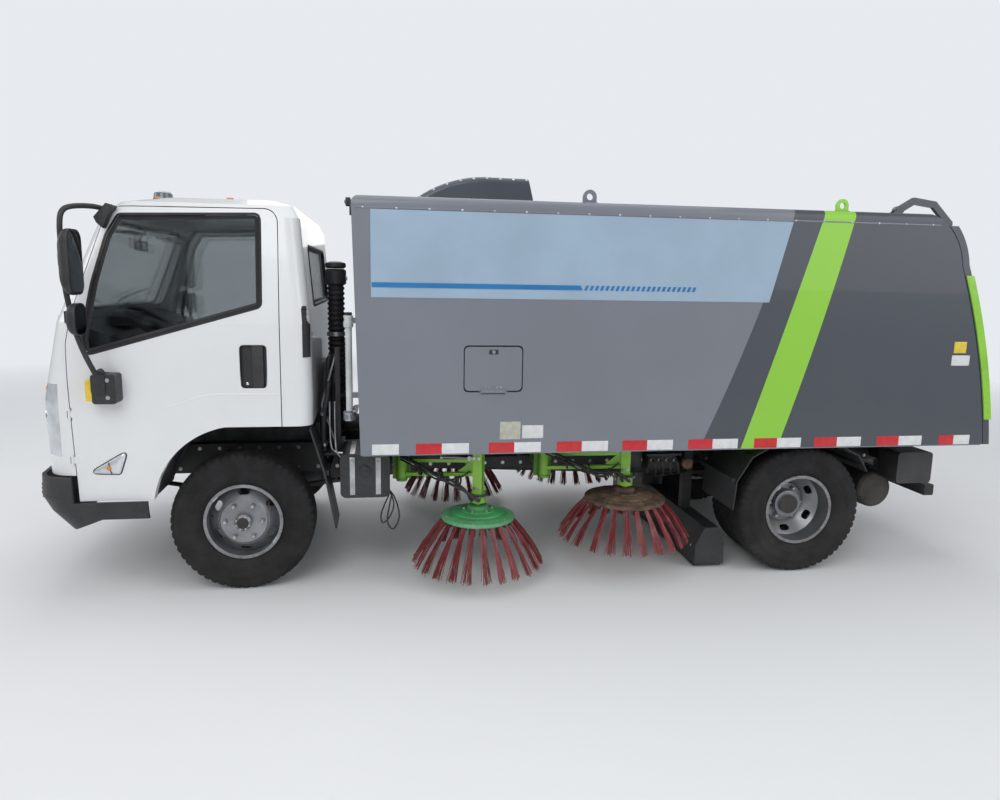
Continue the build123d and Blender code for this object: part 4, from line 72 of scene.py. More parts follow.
def make_camera():
    """Camera at the photograph's place, looking at the truck's left side."""
    yaw, pitch, roll = (math.radians(a) for a in (CAMERA_YAW, CAMERA_PITCH, CAMERA_ROLL))
    level = Vector((-math.sin(yaw), -math.cos(yaw), 0))
    across = Vector((-math.cos(yaw), math.sin(yaw), 0))
    up = Vector(UP)
    forward = level * math.cos(pitch) - up * math.sin(pitch)
    top = up * math.cos(pitch) + level * math.sin(pitch)
    right = across * math.cos(roll) + top * math.sin(roll)
    upright = top * math.cos(roll) - across * math.sin(roll)
    data = bpy.data.cameras.new("photo_camera")
    data.lens = CAMERA_LENS
    data.sensor_width = 36
    camera = bpy.data.objects.new("photo_camera", data)
    bpy.context.collection.objects.link(camera)
    turn = Matrix((right, upright, -forward)).transposed().to_4x4()
    camera.matrix_world = Matrix.Translation(CAMERA_PLACE) @ turn
    bpy.context.scene.camera = camera


def make_lights():
    """Large soft lamps over and beside the truck, and a pale world."""
    lamps = (
        ("key_lamp", (3.0, 6.5, 5.5), 5.0, 210),
        ("fill_lamp", (-5.5, 5.0, 4.0), 5.0, 120),
        ("back_lamp", (0.0, -7.0, 5.0), 6.0, 150),
        ("top_lamp", (0.0, 0.0, 7.5), 7.0, 150),
        ("nose_lamp", (8.0, 0.0, 4.0), 4.0, 90),
    )
    for name, place, size, power in lamps:
        data = bpy.data.lights.new(name, "AREA")
        data.shape = "SQUARE"
        data.size = size
        data.energy = power
        lamp = bpy.data.objects.new(name, data)
        bpy.context.collection.objects.link(lamp)
        lamp.location = place
        lamp.rotation_euler = (Vector((0, 0, 1.0)) - Vector(place)).to_track_quat("-Z", "Y").to_euler()
    world = bpy.data.worlds.new("studio")
    bpy.context.scene.world = world
    world.use_nodes = True
    tree = world.node_tree
    sky = tree.nodes["Background"]
    sky.inputs["Color"].default_value = (0.86, 0.90, 0.95, 1)
    sky.inputs["Strength"].default_value = 0.42
    backdrop = tree.nodes.new("ShaderNodeBackground")
    backdrop.inputs["Color"].default_value = BACKDROP
    blend_surfaces(tree, seen_by_camera(tree), sky, backdrop, "World Output")


# ---- Mesh helpers

def link_piece(name, mesh, material, body, smooth=None):
    """Puts a mesh in the scene as a piece of a CAD body, with one or more materials."""
    materials = material if isinstance(material, (list, tuple)) else (material,)
    for one in materials:
        mesh.materials.append(one)
    piece = bpy.data.objects.new(name, mesh)
    bpy.context.collection.objects.link(piece)
    if smooth is not None:
        for polygon in mesh.polygons:
            polygon.use_smooth = True
        soften(piece, smooth)
    if body:
        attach(piece, body)
    return piece


def soften(piece, angle):
    """Sharp edges over an angle in degrees stay sharp, the rest shade smoothly."""
    mesh = piece.data
    edit = bmesh.new()
    edit.from_mesh(mesh)
    limit = math.radians(angle)
    for edge in edit.edges:
        if len(edge.link_faces) == 2 and edge.calc_face_angle(0) > limit:
            edge.smooth = False
    edit.to_mesh(mesh)
    edit.free()


def loop_faces(loops, count, wrap=False, start=0):
    """Quads between stacked closed loops of points, and from the last loop to the first where it wraps."""
    faces = []
    for loop in range(loops if wrap else loops - 1):
        here, after = start + loop * count, start + (loop + 1) % loops * count
        for k in range(count):
            turn = (k + 1) % count
            faces.append((here + k, here + turn, after + turn, after + k))
    return faces


def capped_faces(loops, count):
    """Quads between stacked closed loops of points, and a face over the first and the last loop."""
    last = (loops - 1) * count
    return loop_faces(loops, count) + [tuple(reversed(range(count))), tuple(range(last, last + count))]


def sheet_faces(rows, wide, closed=False):
    """Faces of a thin sheet: a grid of tops, the same grid of feet after it, and its edges."""
    half = rows * wide
    faces = []
    for row in range(rows if closed else rows - 1):
        after = (row + 1) % rows
        for col in range(wide - 1):
            a, b = row * wide + col, row * wide + col + 1
            c, d = after * wide + col + 1, after * wide + col
            faces += [(a, b, c, d), (half + d, half + c, half + b, half + a)]
        for col in (0, wide - 1):
            a, d = row * wide + col, after * wide + col
            faces.append((a, d, half + d, half + a))
    for row in () if closed else (0, rows - 1):
        for col in range(wide - 1):
            a, b = row * wide + col, row * wide + col + 1
            faces.append((a, b, half + b, half + a))
    return faces


def spaced(start, pitch, count):
    """Values one pitch apart, from the start on."""
    return [start + index * pitch for index in range(count)]


def spread(low, high, count):
    """Values spread evenly from low to high, with both ends."""
    return [low + (high - low) * step / (count - 1) for step in range(count)]


def around(count, shift=0.0):
    """Cosine and sine of evenly spaced angles round a circle."""
    for index in range(count):
        angle = 2 * math.pi * (index + shift) / count
        yield math.cos(angle), math.sin(angle)


class Shape:
    """Gathers faces from several simple forms into one mesh."""

    def __init__(self):
        self.points = []
        self.faces = []
        self.slots = []

    def add(self, points, faces, slot=0):
        start = len(self.points)
        self.points += [Vector(p) for p in points]
        self.faces += [[start + i for i in face] for face in faces]
        self.slots += [slot] * len(faces)

    def block(self, low, high, slot=0, bevel=0.0, matrix=None):
        """Box between two opposite corners, with chamfered edges."""
        edit = bmesh.new()
        bmesh.ops.create_cube(edit, size=1)
        low, high = (Vector(corner) for corner in zip(*(sorted(ends) for ends in zip(low, high))))
        centre, size = (low + high) / 2, high - low
        for vertex in edit.verts:
            vertex.co = Vector(v * s for v, s in zip(vertex.co, size)) + centre
        if bevel:
            bmesh.ops.bevel(edit, geom=list(edit.edges), offset=bevel, segments=2, affect="EDGES",
                            profile=0.6)
        self.take(edit, slot, matrix)

    def take(self, edit, slot=0, matrix=None):
        """Adds a bmesh and frees it."""
        edit.verts.ensure_lookup_table()
        edit.verts.index_update()
        points = [matrix @ v.co if matrix else v.co.copy() for v in edit.verts]
        self.add(points, [[v.index for v in face.verts] for face in edit.faces], slot)
        edit.free()

    def turned(self, profile, start, axis, steps=32, slot=0, closed=False):
        """Surface of revolution: profile rows are (distance along the axis, radius)."""
        axis = Vector(axis).normalized()
        side = axis.orthogonal().normalized()
        other = axis.cross(side)
        points = [Vector(start) + axis * along + (side * c + other * s) * radius
                  for along, radius in profile for c, s in around(steps)]
        rows = len(profile)
        self.add(points, loop_faces(rows, steps, True) if closed else capped_faces(rows, steps), slot)

    def ring(self, low, high, inner, outer, place, axis, steps=16, slot=0):
        """Flat ring between two distances along an axis."""
        profile = [(low, inner), (low, outer), (high, outer), (high, inner)]
        self.turned(profile, place, axis, steps, slot, closed=True)

    def rod(self, start, end, radius, steps=12, slot=0):
        """Round bar between two points, with slightly broken ends."""
        start, end = Vector(start), Vector(end)
        length = (end - start).length
        lip = min(radius * 0.25, length * 0.2)
        self.turned([(0, radius - lip), (lip, radius), (length - lip, radius), (length, radius - lip)],
                    start, end - start, steps, slot)

    def bolt(self, place, axis, radius=0.009, height=0.007, slot=0):
        """Hexagon head with its washer."""
        place, axis = Vector(place), Vector(axis).normalized()
        self.turned([(-0.002, radius * 1.5), (0.002, radius * 1.5)], place, axis, 14, slot)
        self.turned([(0.0, radius), (height * 0.8, radius), (height, radius * 0.82)], place, axis, 6, slot)

    def tube(self, path, radius, steps=10, slot=0, smooth_steps=6):
        """Hose or pipe of one radius along a smooth path through the points."""
        line = smooth_path([Vector(p) for p in path], smooth_steps)
        normal = None
        rings = []
        for index, point in enumerate(line):
            before = line[max(index - 1, 0)]
            after = line[min(index + 1, len(line) - 1)]
            way = (after - before).normalized()
            if normal is None:
                normal = way.orthogonal().normalized()
            normal = (normal - way * normal.dot(way)).normalized()
            side = way.cross(normal)
            rings.append([point + (normal * c + side * s) * radius for c, s in around(steps)])
        self.add([p for ring in rings for p in ring], capped_faces(len(rings), steps), slot)

    def plate(self, outline, place, across, up, thick, slot=0):
        """Flat plate from an outline of (across, up) pairs, thickened along their normal."""
        across, up = Vector(across), Vector(up)
        out = across.cross(up).normalized()
        base = [Vector(place) + across * a + up * b for a, b in outline]
        self.add(base + [p + out * thick for p in base], capped_faces(2, len(outline)), slot)

    def mesh(self, name):
        mesh = bpy.data.meshes.new(name)
        mesh.from_pydata([tuple(p) for p in self.points], [], self.faces)
        for polygon, slot in zip(mesh.polygons, self.slots):
            polygon.material_index = slot
        edit = bmesh.new()
        edit.from_mesh(mesh)
        bmesh.ops.recalc_face_normals(edit, faces=edit.faces)
        edit.to_mesh(mesh)
        edit.free()
        return mesh

    def piece(self, name, material, body, slot=None, smooth=35):
        """The finished piece, on its body. The slot argument is not used."""
        made = link_piece(name, self.mesh(name), material, body, smooth)
        return made


def smooth_path(points, steps):
    """Points along a smooth curve through the given ones (Catmull-Rom)."""
    if len(points) < 3 or steps < 2:
        return points
    line = []
    for index in range(len(points) - 1):
        a = points[max(index - 1, 0)]
        b, c = points[index], points[index + 1]
        d = points[min(index + 2, len(points) - 1)]
        for step in range(steps):
            t = step / steps
            line.append(0.5 * (2 * b + (c - a) * t + (2 * a - 5 * b + 4 * c - d) * t * t
                               + (3 * b - a - 3 * c + d) * t * t * t))
    line.append(points[-1])
    return line


def rounded_outline(width, height, radius, steps=5):
    """Rectangle with round corners, centred, as (across, up) pairs."""
    corners = ((1, 1, 0), (-1, 1, 90), (-1, -1, 180), (1, -1, 270))
    outline = []
    for sx, sy, start in corners:
        cx, cy = sx * (width / 2 - radius), sy * (height / 2 - radius)
        for step in range(steps + 1):
            angle = math.radians(start + 90 * step / steps)
            outline.append((cx + radius * math.cos(angle), cy + radius * math.sin(angle)))
    return outline


# ---- Shader helpers

def calculate(tree, operation, first, second=None, clamp=False):
    """Math node whose inputs are numbers or sockets. Returns its output."""
    node = tree.nodes.new("ShaderNodeMath")
    node.operation = operation
    node.use_clamp = clamp
    for index, value in enumerate((first, second)):
        if value is None:
            continue
        if isinstance(value, (int, float)):
            node.inputs[index].default_value = value
        else:
            tree.links.new(value, node.inputs[index])
    return node.outputs[0]


def blend_colours(tree, mask, first, second):
    """Mix of two colours by a mask. A colour is a tuple or a socket."""
    node = tree.nodes.new("ShaderNodeMix")
    node.data_type = "RGBA"
    tree.links.new(mask, node.inputs["Factor"])
    for socket, value in ((node.inputs[6], first), (node.inputs[7], second)):
        if isinstance(value, (tuple, list)):
            socket.default_value = (*value[:3], 1)
        else:
            tree.links.new(value, socket)
    return node.outputs[2]


def rescale(tree, value, low, high, to_low=0.0, to_high=1.0):
    """Maps a value from one range to another, clamped."""
    node = tree.nodes.new("ShaderNodeMapRange")
    tree.links.new(value, node.inputs["Value"])
    for name, number in (("From Min", low), ("From Max", high), ("To Min", to_low), ("To Max", to_high)):
        node.inputs[name].default_value = number
    return node.outputs["Result"]


def seen_by_camera(tree):
    """1 for what the camera sees, through glass too, and 0 for light and reflections."""
    rays = tree.nodes.new("ShaderNodeLightPath")
    return calculate(tree, "MAXIMUM", rays.outputs["Is Camera Ray"], rays.outputs["Is Transmission Ray"])


def blend_surfaces(tree, mask, first, second, output):
    """Mix of two surface nodes by a mask, as the tree's output."""
    blend = tree.nodes.new("ShaderNodeMixShader")
    for index, value in enumerate((mask, first.outputs[0], second.outputs[0])):
        tree.links.new(value, blend.inputs[index])
    tree.links.new(blend.outputs[0], tree.nodes[output].inputs["Surface"])


def noise(tree, place, scale, detail=3.0, roughness=0.55):
    node = tree.nodes.new("ShaderNodeTexNoise")
    node.inputs["Scale"].default_value = scale
    node.inputs["Detail"].default_value = detail
    node.inputs["Roughness"].default_value = roughness
    tree.links.new(place, node.inputs["Vector"])
    return node.outputs["Fac"]


def open_group(name, inputs, outputs):
    """New shader node group with its sockets. Returns the group, its input node and its output node."""
    group = bpy.data.node_groups.new(name, "ShaderNodeTree")
    for socket, kind, value in inputs:
        made = group.interface.new_socket(name=socket, in_out="INPUT", socket_type=kind)
        made.default_value = value
    for socket, kind in outputs:
        group.interface.new_socket(name=socket, in_out="OUTPUT", socket_type=kind)
    return group, group.nodes.new("NodeGroupInput"), group.nodes.new("NodeGroupOutput")


FLOAT, COLOUR = "NodeSocketFloat", "NodeSocketColor"


def make_road_film():
    """Dust and splashes, thick near the road, thin higher up."""
    group, entry, leave = open_group(
        "road_film",
        (("Colour", COLOUR, (0.5, 0.5, 0.5, 1)), ("Roughness", FLOAT, 0.4), ("Amount", FLOAT, 0.4),
         ("Fade Height", FLOAT, 1.2)),
        (("Colour", COLOUR), ("Roughness", FLOAT), ("Mask", FLOAT)))
    place = group.nodes.new("ShaderNodeTexCoord").outputs["Object"]
    split = group.nodes.new("ShaderNodeSeparateXYZ")
    group.links.new(place, split.inputs[0])
    low = calculate(group, "DIVIDE", split.outputs["Z"], entry.outputs["Fade Height"])
    low = calculate(group, "SUBTRACT", 1.0, low, clamp=True)
    cloud = rescale(group, noise(group, place, 1.9, 3.0), 0.32, 0.72, 0.25, 1.0)
    fine = rescale(group, noise(group, place, 16.0, 3.0), 0.35, 0.70, 0.80, 1.0)
    mask = calculate(group, "MULTIPLY", cloud, fine)
    mask = calculate(group, "MULTIPLY", mask, calculate(group, "ADD", low, 0.05))
    amount = calculate(group, "MULTIPLY", entry.outputs["Amount"], 0.30)
    mask = calculate(group, "MULTIPLY", mask, amount, clamp=True)
    tint = blend_colours(group, cloud, (0.20, 0.18, 0.155), (0.34, 0.32, 0.29))
    colour = blend_colours(group, mask, entry.outputs["Colour"], tint)
    rougher = calculate(group, "MULTIPLY", mask, 0.45)
    rough = calculate(group, "ADD", entry.outputs["Roughness"], rougher, clamp=True)
    group.links.new(colour, leave.inputs["Colour"])
    group.links.new(rough, leave.inputs["Roughness"])
    group.links.new(mask, leave.inputs["Mask"])
    return group


def make_worn_edge():
    """Bare or faded colour along worn edges, broken up by noise."""
    group, entry, leave = open_group(
        "worn_edge",
        (("Colour", COLOUR, (0.5, 0.5, 0.5, 1)), ("Bare", COLOUR, (0.3, 0.22, 0.18, 1)),
         ("Amount", FLOAT, 0.5)),
        (("Colour", COLOUR), ("Mask", FLOAT)))
    place = group.nodes.new("ShaderNodeTexCoord").outputs["Object"]
    points = group.nodes.new("ShaderNodeNewGeometry").outputs["Pointiness"]
    edge = rescale(group, points, 0.52, 0.60)
    chips = rescale(group, noise(group, place, 46.0, 5.0, 0.7), 0.50, 0.62)
    mask = calculate(group, "MULTIPLY", edge, chips)
    mask = calculate(group, "MULTIPLY", mask, entry.outputs["Amount"], clamp=True)
    group.links.new(blend_colours(group, mask, entry.outputs["Colour"], entry.outputs["Bare"]),
                    leave.inputs["Colour"])
    group.links.new(mask, leave.inputs["Mask"])
    return group


def make_surface_grain():
    """Height of a fine grain for moulded plastic, rubber and cast metal."""
    group, entry, leave = open_group("surface_grain", (("Scale", FLOAT, 300.0), ("Waves", FLOAT, 3.0)),
                                     (("Height", FLOAT),))
    place = group.nodes.new("ShaderNodeTexCoord").outputs["Object"]
    fields = []
    for socket, detail in (("Scale", 4), ("Waves", 2)):
        field = group.nodes.new("ShaderNodeTexNoise")
        field.inputs["Detail"].default_value = detail
        group.links.new(place, field.inputs["Vector"])
        group.links.new(entry.outputs[socket], field.inputs["Scale"])
        fields.append(field.outputs["Fac"])
    group.links.new(calculate(group, "ADD", *fields), leave.inputs["Height"])
    return group


ROAD_FILM = make_road_film()
WORN_EDGE = make_worn_edge()
SURFACE_GRAIN = make_surface_grain()


class Finish:
    """One material: a Principled shader with a base colour, film, wear and grain in front of it."""

    def __init__(self, name, colour, roughness=0.45, metallic=0.0, **plain):
        self.material = bpy.data.materials.new(name)
        self.material.use_nodes = True
        self.tree = self.material.node_tree
        self.shader = self.tree.nodes["Principled BSDF"]
        self.shader.inputs["Metallic"].default_value = metallic
        for socket, value in plain.items():
            self.shader.inputs[socket.replace("_", " ")].default_value = value
        self.colour = colour
        self.roughness = roughness
        self.place = self.tree.nodes.new("ShaderNodeTexCoord").outputs["Object"]

    def feed(self, group, **inputs):
        node = self.tree.nodes.new("ShaderNodeGroup")
        node.node_tree = group
        for name, value in inputs.items():
            socket = node.inputs[name.replace("_", " ")]
            if isinstance(value, bpy.types.NodeSocket):
                self.tree.links.new(value, socket)
            else:
                socket.default_value = (*value, 1) if isinstance(value, tuple) and len(value) == 3 else value
        return node

    def vary(self, scale, darker, lighter):
        """Slow change of the base colour between two factors."""
        cloud = noise(self.tree, self.place, scale, 4.0)
        low = tuple(c * darker for c in self.colour[:3])
        high = tuple(min(c * lighter, 1) for c in self.colour[:3])
        self.colour = blend_colours(self.tree, rescale(self.tree, cloud, 0.35, 0.65), low, high)
        return self

    def wear(self, amount, bare):
        node = self.feed(WORN_EDGE, Colour=self.colour, Bare=bare, Amount=amount)
        self.colour = node.outputs["Colour"]
        return self

    def film(self, amount, height=1.2):
        node = self.feed(ROAD_FILM, Colour=self.colour, Roughness=self.roughness, Amount=amount,
                         Fade_Height=height)
        self.colour, self.roughness = node.outputs["Colour"], node.outputs["Roughness"]
        return self

    def grain(self, scale, strength, distance=0.001, waves=3.0):
        node = self.feed(SURFACE_GRAIN, Scale=scale, Waves=waves)
        self.bump(node.outputs["Height"], strength, distance)
        return self

    def bump(self, height, strength, distance):
        bump = self.tree.nodes.new("ShaderNodeBump")
        bump.inputs["Strength"].default_value = strength
        bump.inputs["Distance"].default_value = distance
        self.tree.links.new(height, bump.inputs["Height"])
        self.tree.links.new(bump.outputs["Normal"], self.shader.inputs["Normal"])
        return self

    def done(self):
        for socket, value in (("Base Color", self.colour), ("Roughness", self.roughness)):
            if isinstance(value, bpy.types.NodeSocket):
                self.tree.links.new(value, self.shader.inputs[socket])
            else:
                self.shader.inputs[socket].default_value = (*value, 1) if socket == "Base Color" else value
        return self.material


# ---- Materials

CAB_WHITE = (0.80, 0.81, 0.82)
BODY_GREY = (0.190, 0.205, 0.240)
BODY_SLATE = (0.060, 0.068, 0.086)
LIME = (0.28, 0.62, 0.045)
BANNER_PALE = (0.33, 0.44, 0.555)
BANNER_BLUE = (0.018, 0.18, 0.44)

cab_paint = (Finish("cab_white_paint", CAB_WHITE, 0.24, Coat_Weight=0.5).vary(1.4, 0.97, 1.02)
             .film(0.34, 1.25).grain(9.0, 0.04, 0.001, 2.0).done())
black_plastic = (Finish("black_moulded_plastic", (0.022, 0.023, 0.025), 0.5).vary(5, 0.7, 1.5)
                 .wear(0.2, (0.07, 0.07, 0.07)).film(0.16, 1.1).grain(420, 0.3, 0.0006).done())
rubber = (Finish("black_rubber", (0.014, 0.014, 0.015), 0.62).vary(8, 0.7, 1.5).film(0.25, 1.0)
          .grain(260, 0.25, 0.0006).done())
chassis_paint = (Finish("chassis_black_paint", (0.020, 0.021, 0.023), 0.48).vary(4, 0.6, 1.8)
                 .wear(0.12, (0.12, 0.075, 0.05)).film(0.35, 1.3).grain(60, 0.3, 0.0012, 8).done())
cast_metal = (Finish("cast_iron", (0.035, 0.033, 0.032), 0.66, 0.3).vary(7, 0.6, 1.7)
              .wear(0.3, (0.14, 0.09, 0.055)).film(0.6, 1.2).grain(150, 0.5, 0.0012, 12).done())
engine_metal = (Finish("engine_casting", (0.10, 0.105, 0.11), 0.55, 0.5).vary(9, 0.6, 1.4)
                .film(0.45, 1.6).grain(120, 0.5, 0.0012, 10).done())
wheel_silver = (Finish("wheel_silver_paint", (0.31, 0.32, 0.34), 0.34, 0.75).vary(9, 0.75, 1.1)
                .wear(0.8, (0.18, 0.11, 0.07)).film(0.85, 1.6).grain(140, 0.15, 0.0008, 9).done())
tyre_rubber = (Finish("tyre_rubber", (0.011, 0.011, 0.012), 0.80, Specular_IOR_Level=0.3)
               .vary(12, 0.7, 1.6).film(0.30, 1.0).grain(190, 0.35, 0.0008, 20).done())
bare_steel = (Finish("bare_steel", (0.56, 0.57, 0.58), 0.3, 1.0).vary(14, 0.7, 1.1).film(0.35, 1.6)
              .grain(240, 0.12, 0.0004).done())
chrome = Finish("polished_steel", (0.80, 0.81, 0.82), 0.12, 1.0).vary(20, 0.9, 1.05).film(0.12, 1.6).done()
hot_steel = (Finish("silencer_steel", (0.050, 0.045, 0.042), 0.60, 0.4).vary(8, 0.5, 1.6).film(0.7, 1.2)
             .grain(90, 0.4, 0.0012, 14).done())
hose_black = (Finish("hose_black", (0.020, 0.020, 0.022), 0.52).vary(10, 0.7, 1.5).film(0.4, 1.4)
              .grain(330, 0.3, 0.0005).done())
lime_paint = (Finish("lime_green_paint", LIME, 0.34, Coat_Weight=0.2).vary(3, 0.85, 1.08)
              .wear(0.10, (0.13, 0.10, 0.05)).film(0.55, 1.1).grain(14, 0.06, 0.001).done())
bracket_paint = (Finish("bracket_green_paint", (0.17, 0.42, 0.05), 0.4).vary(5, 0.65, 1.15)
                 .wear(0.25, (0.13, 0.10, 0.05)).film(0.6, 1.2).grain(30, 0.15, 0.001).done())
disc_green = (Finish("brush_disc_green_paint", (0.045, 0.40, 0.11), 0.32, Coat_Weight=0.3).vary(6, 0.7, 1.15)
              .wear(1.0, (0.16, 0.10, 0.06)).film(0.9, 0.9).grain(40, 0.2, 0.001).done())
disc_rim_green = (Finish("brush_rim_green_paint", (0.13, 0.52, 0.22), 0.36, Coat_Weight=0.3)
                  .vary(6, 0.75, 1.1).wear(1.0, (0.16, 0.10, 0.06)).film(0.7, 0.9).grain(40, 0.2, 0.001)
                  .done())
disc_rust = (Finish("brush_disc_rusty_steel", (0.12, 0.070, 0.045), 0.72, 0.2).vary(16, 0.45, 1.7)
             .film(0.9, 0.9).grain(110, 0.7, 0.0014, 24).done())
seat_cloth = (Finish("seat_cover_cloth", (0.66, 0.68, 0.69), 0.85).vary(18, 0.85, 1.05)
              .grain(900, 0.5, 0.0006, 60).done())
dash_plastic = (Finish("dashboard_plastic", (0.11, 0.115, 0.12), 0.55).vary(6, 0.85, 1.15)
                .grain(700, 0.35, 0.0005).done())
dash_dark = (Finish("dashboard_dark_plastic", (0.028, 0.028, 0.03), 0.42).vary(6, 0.8, 1.3)
             .grain(600, 0.3, 0.0005).done())
lining = (Finish("cab_lining", (0.50, 0.51, 0.51), 0.8).vary(4, 0.9, 1.05).grain(500, 0.35, 0.0006).done())
mirror_glass = Finish("mirror_glass", (0.20, 0.215, 0.23), 0.05, 1.0).vary(20, 0.97, 1.02).done()
safety_yellow = Finish("yellow_sticker", (0.82, 0.60, 0.05), 0.4).vary(30, 0.85, 1.05).film(0.3, 1.8).done()
label_pale = Finish("blank_label", (0.50, 0.50, 0.42), 0.38).vary(30, 0.85, 1.1).film(0.4, 1.8).done()
label_white = Finish("blank_white_plate", (0.72, 0.73, 0.72), 0.36).vary(30, 0.9, 1.05).film(0.4, 1.8).done()
lens_red = (Finish("red_lens", (0.50, 0.012, 0.012), 0.14, Coat_Weight=0.6, IOR=1.49).vary(30, 0.7, 1.1)
            .film(0.35, 1.4).grain(120, 0.25, 0.001).done())
lens_amber = (Finish("amber_lens", (0.72, 0.24, 0.015), 0.14, Coat_Weight=0.6, IOR=1.49).vary(30, 0.7, 1.1)
              .film(0.3, 1.4).grain(120, 0.25, 0.001).done())
lens_clear = (Finish("clear_lens", (0.66, 0.69, 0.72), 0.08, 0.35, Coat_Weight=0.8, IOR=1.49)
              .vary(12, 0.80, 1.08).film(0.25, 1.3).grain(70, 0.16, 0.0008, 26).done())
beacon_lens = (Finish("beacon_lens", (0.10, 0.12, 0.14), 0.12, Coat_Weight=0.7).vary(25, 0.6, 1.5)
               .grain(60, 0.3, 0.001).done())
pipe_white = (Finish("white_pipe", (0.66, 0.67, 0.66), 0.42).vary(9, 0.8, 1.05).film(0.55, 1.8)
              .grain(200, 0.2, 0.0006).done())


def make_bristle():
    """Dark red plastic bristles, each a little different, with pinkish-grey patches of painted highlight and
    wear.
    """
    finish = Finish("red_bristle", (0.17, 0.022, 0.028), 0.5)
    tree = finish.tree
    island = tree.nodes.new("ShaderNodeNewGeometry").outputs["Random Per Island"]
    base = blend_colours(tree, island, (0.12, 0.010, 0.018), (0.34, 0.035, 0.042))
    # Pinkish-grey patches placed by noise: painted highlight on the bristles, together with wear
    painted_sheen_and_wear = rescale(tree, noise(tree, finish.place, 11.0, 3.0), 0.50, 0.8, 0.0, 0.6)
    finish.colour = blend_colours(tree, painted_sheen_and_wear, base, (0.36, 0.17, 0.16))
    return finish.film(0.6, 0.5).grain(500, 0.3, 0.0005).done()


def make_glass():
    """Tinted cab glass, its tint changing slightly over the panes."""
    finish = Finish("tinted_glass", (0.22, 0.25, 0.26), 0.03, Transmission_Weight=1.0, IOR=1.12, Alpha=0.6)
    return finish.vary(2.0, 0.96, 1.03).done()


def make_body_paint():
    """Grey panels forward, dark slate aft of a slanted line, and a lime stripe between."""
    finish = Finish("body_panel_paint", BODY_GREY, 0.38, Coat_Weight=0.25)
    tree = finish.tree
    split = tree.nodes.new("ShaderNodeSeparateXYZ")
    tree.links.new(finish.place, split.inputs[0])
    ahead, height = split.outputs["X"], split.outputs["Z"]

    def behind(rows):
        """1 behind a slanted, slightly bowed line given by X = a + b z + c z^2."""
        a, b, c = rows
        line = calculate(tree, "ADD", calculate(tree, "MULTIPLY", height, c), b)
        line = calculate(tree, "ADD", calculate(tree, "MULTIPLY", height, line), a)
        return calculate(tree, "LESS_THAN", ahead, line)

    slate = behind(SLATE_LINE)
    stripe = calculate(tree, "SUBTRACT", behind(STRIPE_FRONT), behind(STRIPE_REAR), clamp=True)
    streak = noise(tree, finish.place, 1.1, 5.0)
    grey = blend_colours(tree, rescale(tree, streak, 0.3, 0.7), tuple(c * 0.93 for c in BODY_GREY),
                         tuple(c * 1.06 for c in BODY_GREY))
    colour = blend_colours(tree, slate, grey, BODY_SLATE)
    finish.colour = blend_colours(tree, stripe, colour, LIME)
    return finish.film(0.26, 1.7).grain(5.0, 0.05, 0.002, 1.5).done()


def line_through(points):
    """Coefficients a, b, c of X = a + b z + c z^2 through three (X, z) points."""
    (x0, z0), (x1, z1), (x2, z2) = points
    c = ((x2 - x0) / (z2 - z0) - (x1 - x0) / (z1 - z0)) / (z2 - z1)
    b = (x1 - x0) / (z1 - z0) - c * (z1 + z0)
    return (x0 - b * z0 - c * z0 * z0, b, c)


# Each line through a low, a middle and a high point (X, z) of the body's side
SLATE_LINE = line_through(((fx(-2.600), 0.813), (fx(-2.850), 1.430), (fx(-3.072), 2.110)))
STRIPE_FRONT = line_through(((fx(-2.855), 0.805), (fx(-3.068), 1.480), (fx(-3.268), 2.153)))
STRIPE_REAR = line_through(((fx(-3.085), 0.805), (fx(-3.290), 1.480), (fx(-3.462), 2.153)))

body_paint = make_body_paint()
slate_paint = (Finish("slate_panel_paint", BODY_SLATE, 0.36, Coat_Weight=0.25).vary(1.5, 0.85, 1.2)
               .film(0.3, 1.6).grain(5.0, 0.05, 0.002, 1.5).done())
grey_paint = (Finish("grey_panel_paint", BODY_GREY, 0.38, Coat_Weight=0.25).vary(1.5, 0.93, 1.07)
              .film(0.3, 1.7).grain(5.0, 0.05, 0.002, 1.5).done())
bristle = make_bristle()
tinted_glass = make_glass()
marking_red = Finish("red_marking", (0.62, 0.018, 0.028), 0.3).vary(30, 0.85, 1.06).film(0.5, 1.5).done()
marking_white = Finish("white_marking", (0.78, 0.79, 0.80), 0.3).vary(30, 0.9, 1.03).film(0.6, 1.5).done()
banner_sheet = (Finish("banner_sheet", BANNER_PALE, 0.42).vary(3.0, 0.95, 1.05).film(0.12, 2.4)
                .grain(3.0, 0.05, 0.002, 1.2).done())
banner_line = Finish("banner_blue", BANNER_BLUE, 0.42).vary(5.0, 0.92, 1.05).film(0.12, 2.4).done()

PAINTED = {
    cab_paint: ("cab_front", "cab_roof", "cab_rear", "door_left", "door_right"),
    tinted_glass: ("cab_glass", "door_glass_left", "door_glass_right"),
    black_plastic: ("front_bumper", "cab_floor", "mirror_left", "mirror_right", "suction_nozzle",
                    "mudguards", "side_tanks"),
    dash_plastic: ("dashboard",),
    dash_dark: ("steering_wheel",),
    lens_clear: ("headlamps",),
    chassis_paint: ("frame_rails", "cross_members", "rear_bumper", "tip_barrel"),
    cast_metal: ("front_axle", "rear_axle", "knuckle_left", "knuckle_right", "tie_rod"),
    engine_metal: ("driveline", "auxiliary_engine"),
    hot_steel: ("silencer",),
    bracket_paint: ("brush_brackets",),
    lime_paint: ("front_arm_left", "front_arm_right", "rear_arm_left", "rear_arm_right", "tailgate_trim"),
    wheel_silver: ("front_wheel_left", "front_wheel_right", "rear_wheels_left", "rear_wheels_right"),
    body_paint: ("body_side_left", "body_side_right", "body_roof", "body_floor", "side_hatch"),
    slate_paint: ("tailgate", "roof_cowl"),
    grey_paint: ("body_front",),
    bare_steel: ("tip_rod",),
}
for paint, names in PAINTED.items():
    for name in names:
        for holder in NODES[name].material_slots:
            holder.material = paint

make_camera()
make_lights()


# ---- Laying pieces on the CAD surfaces

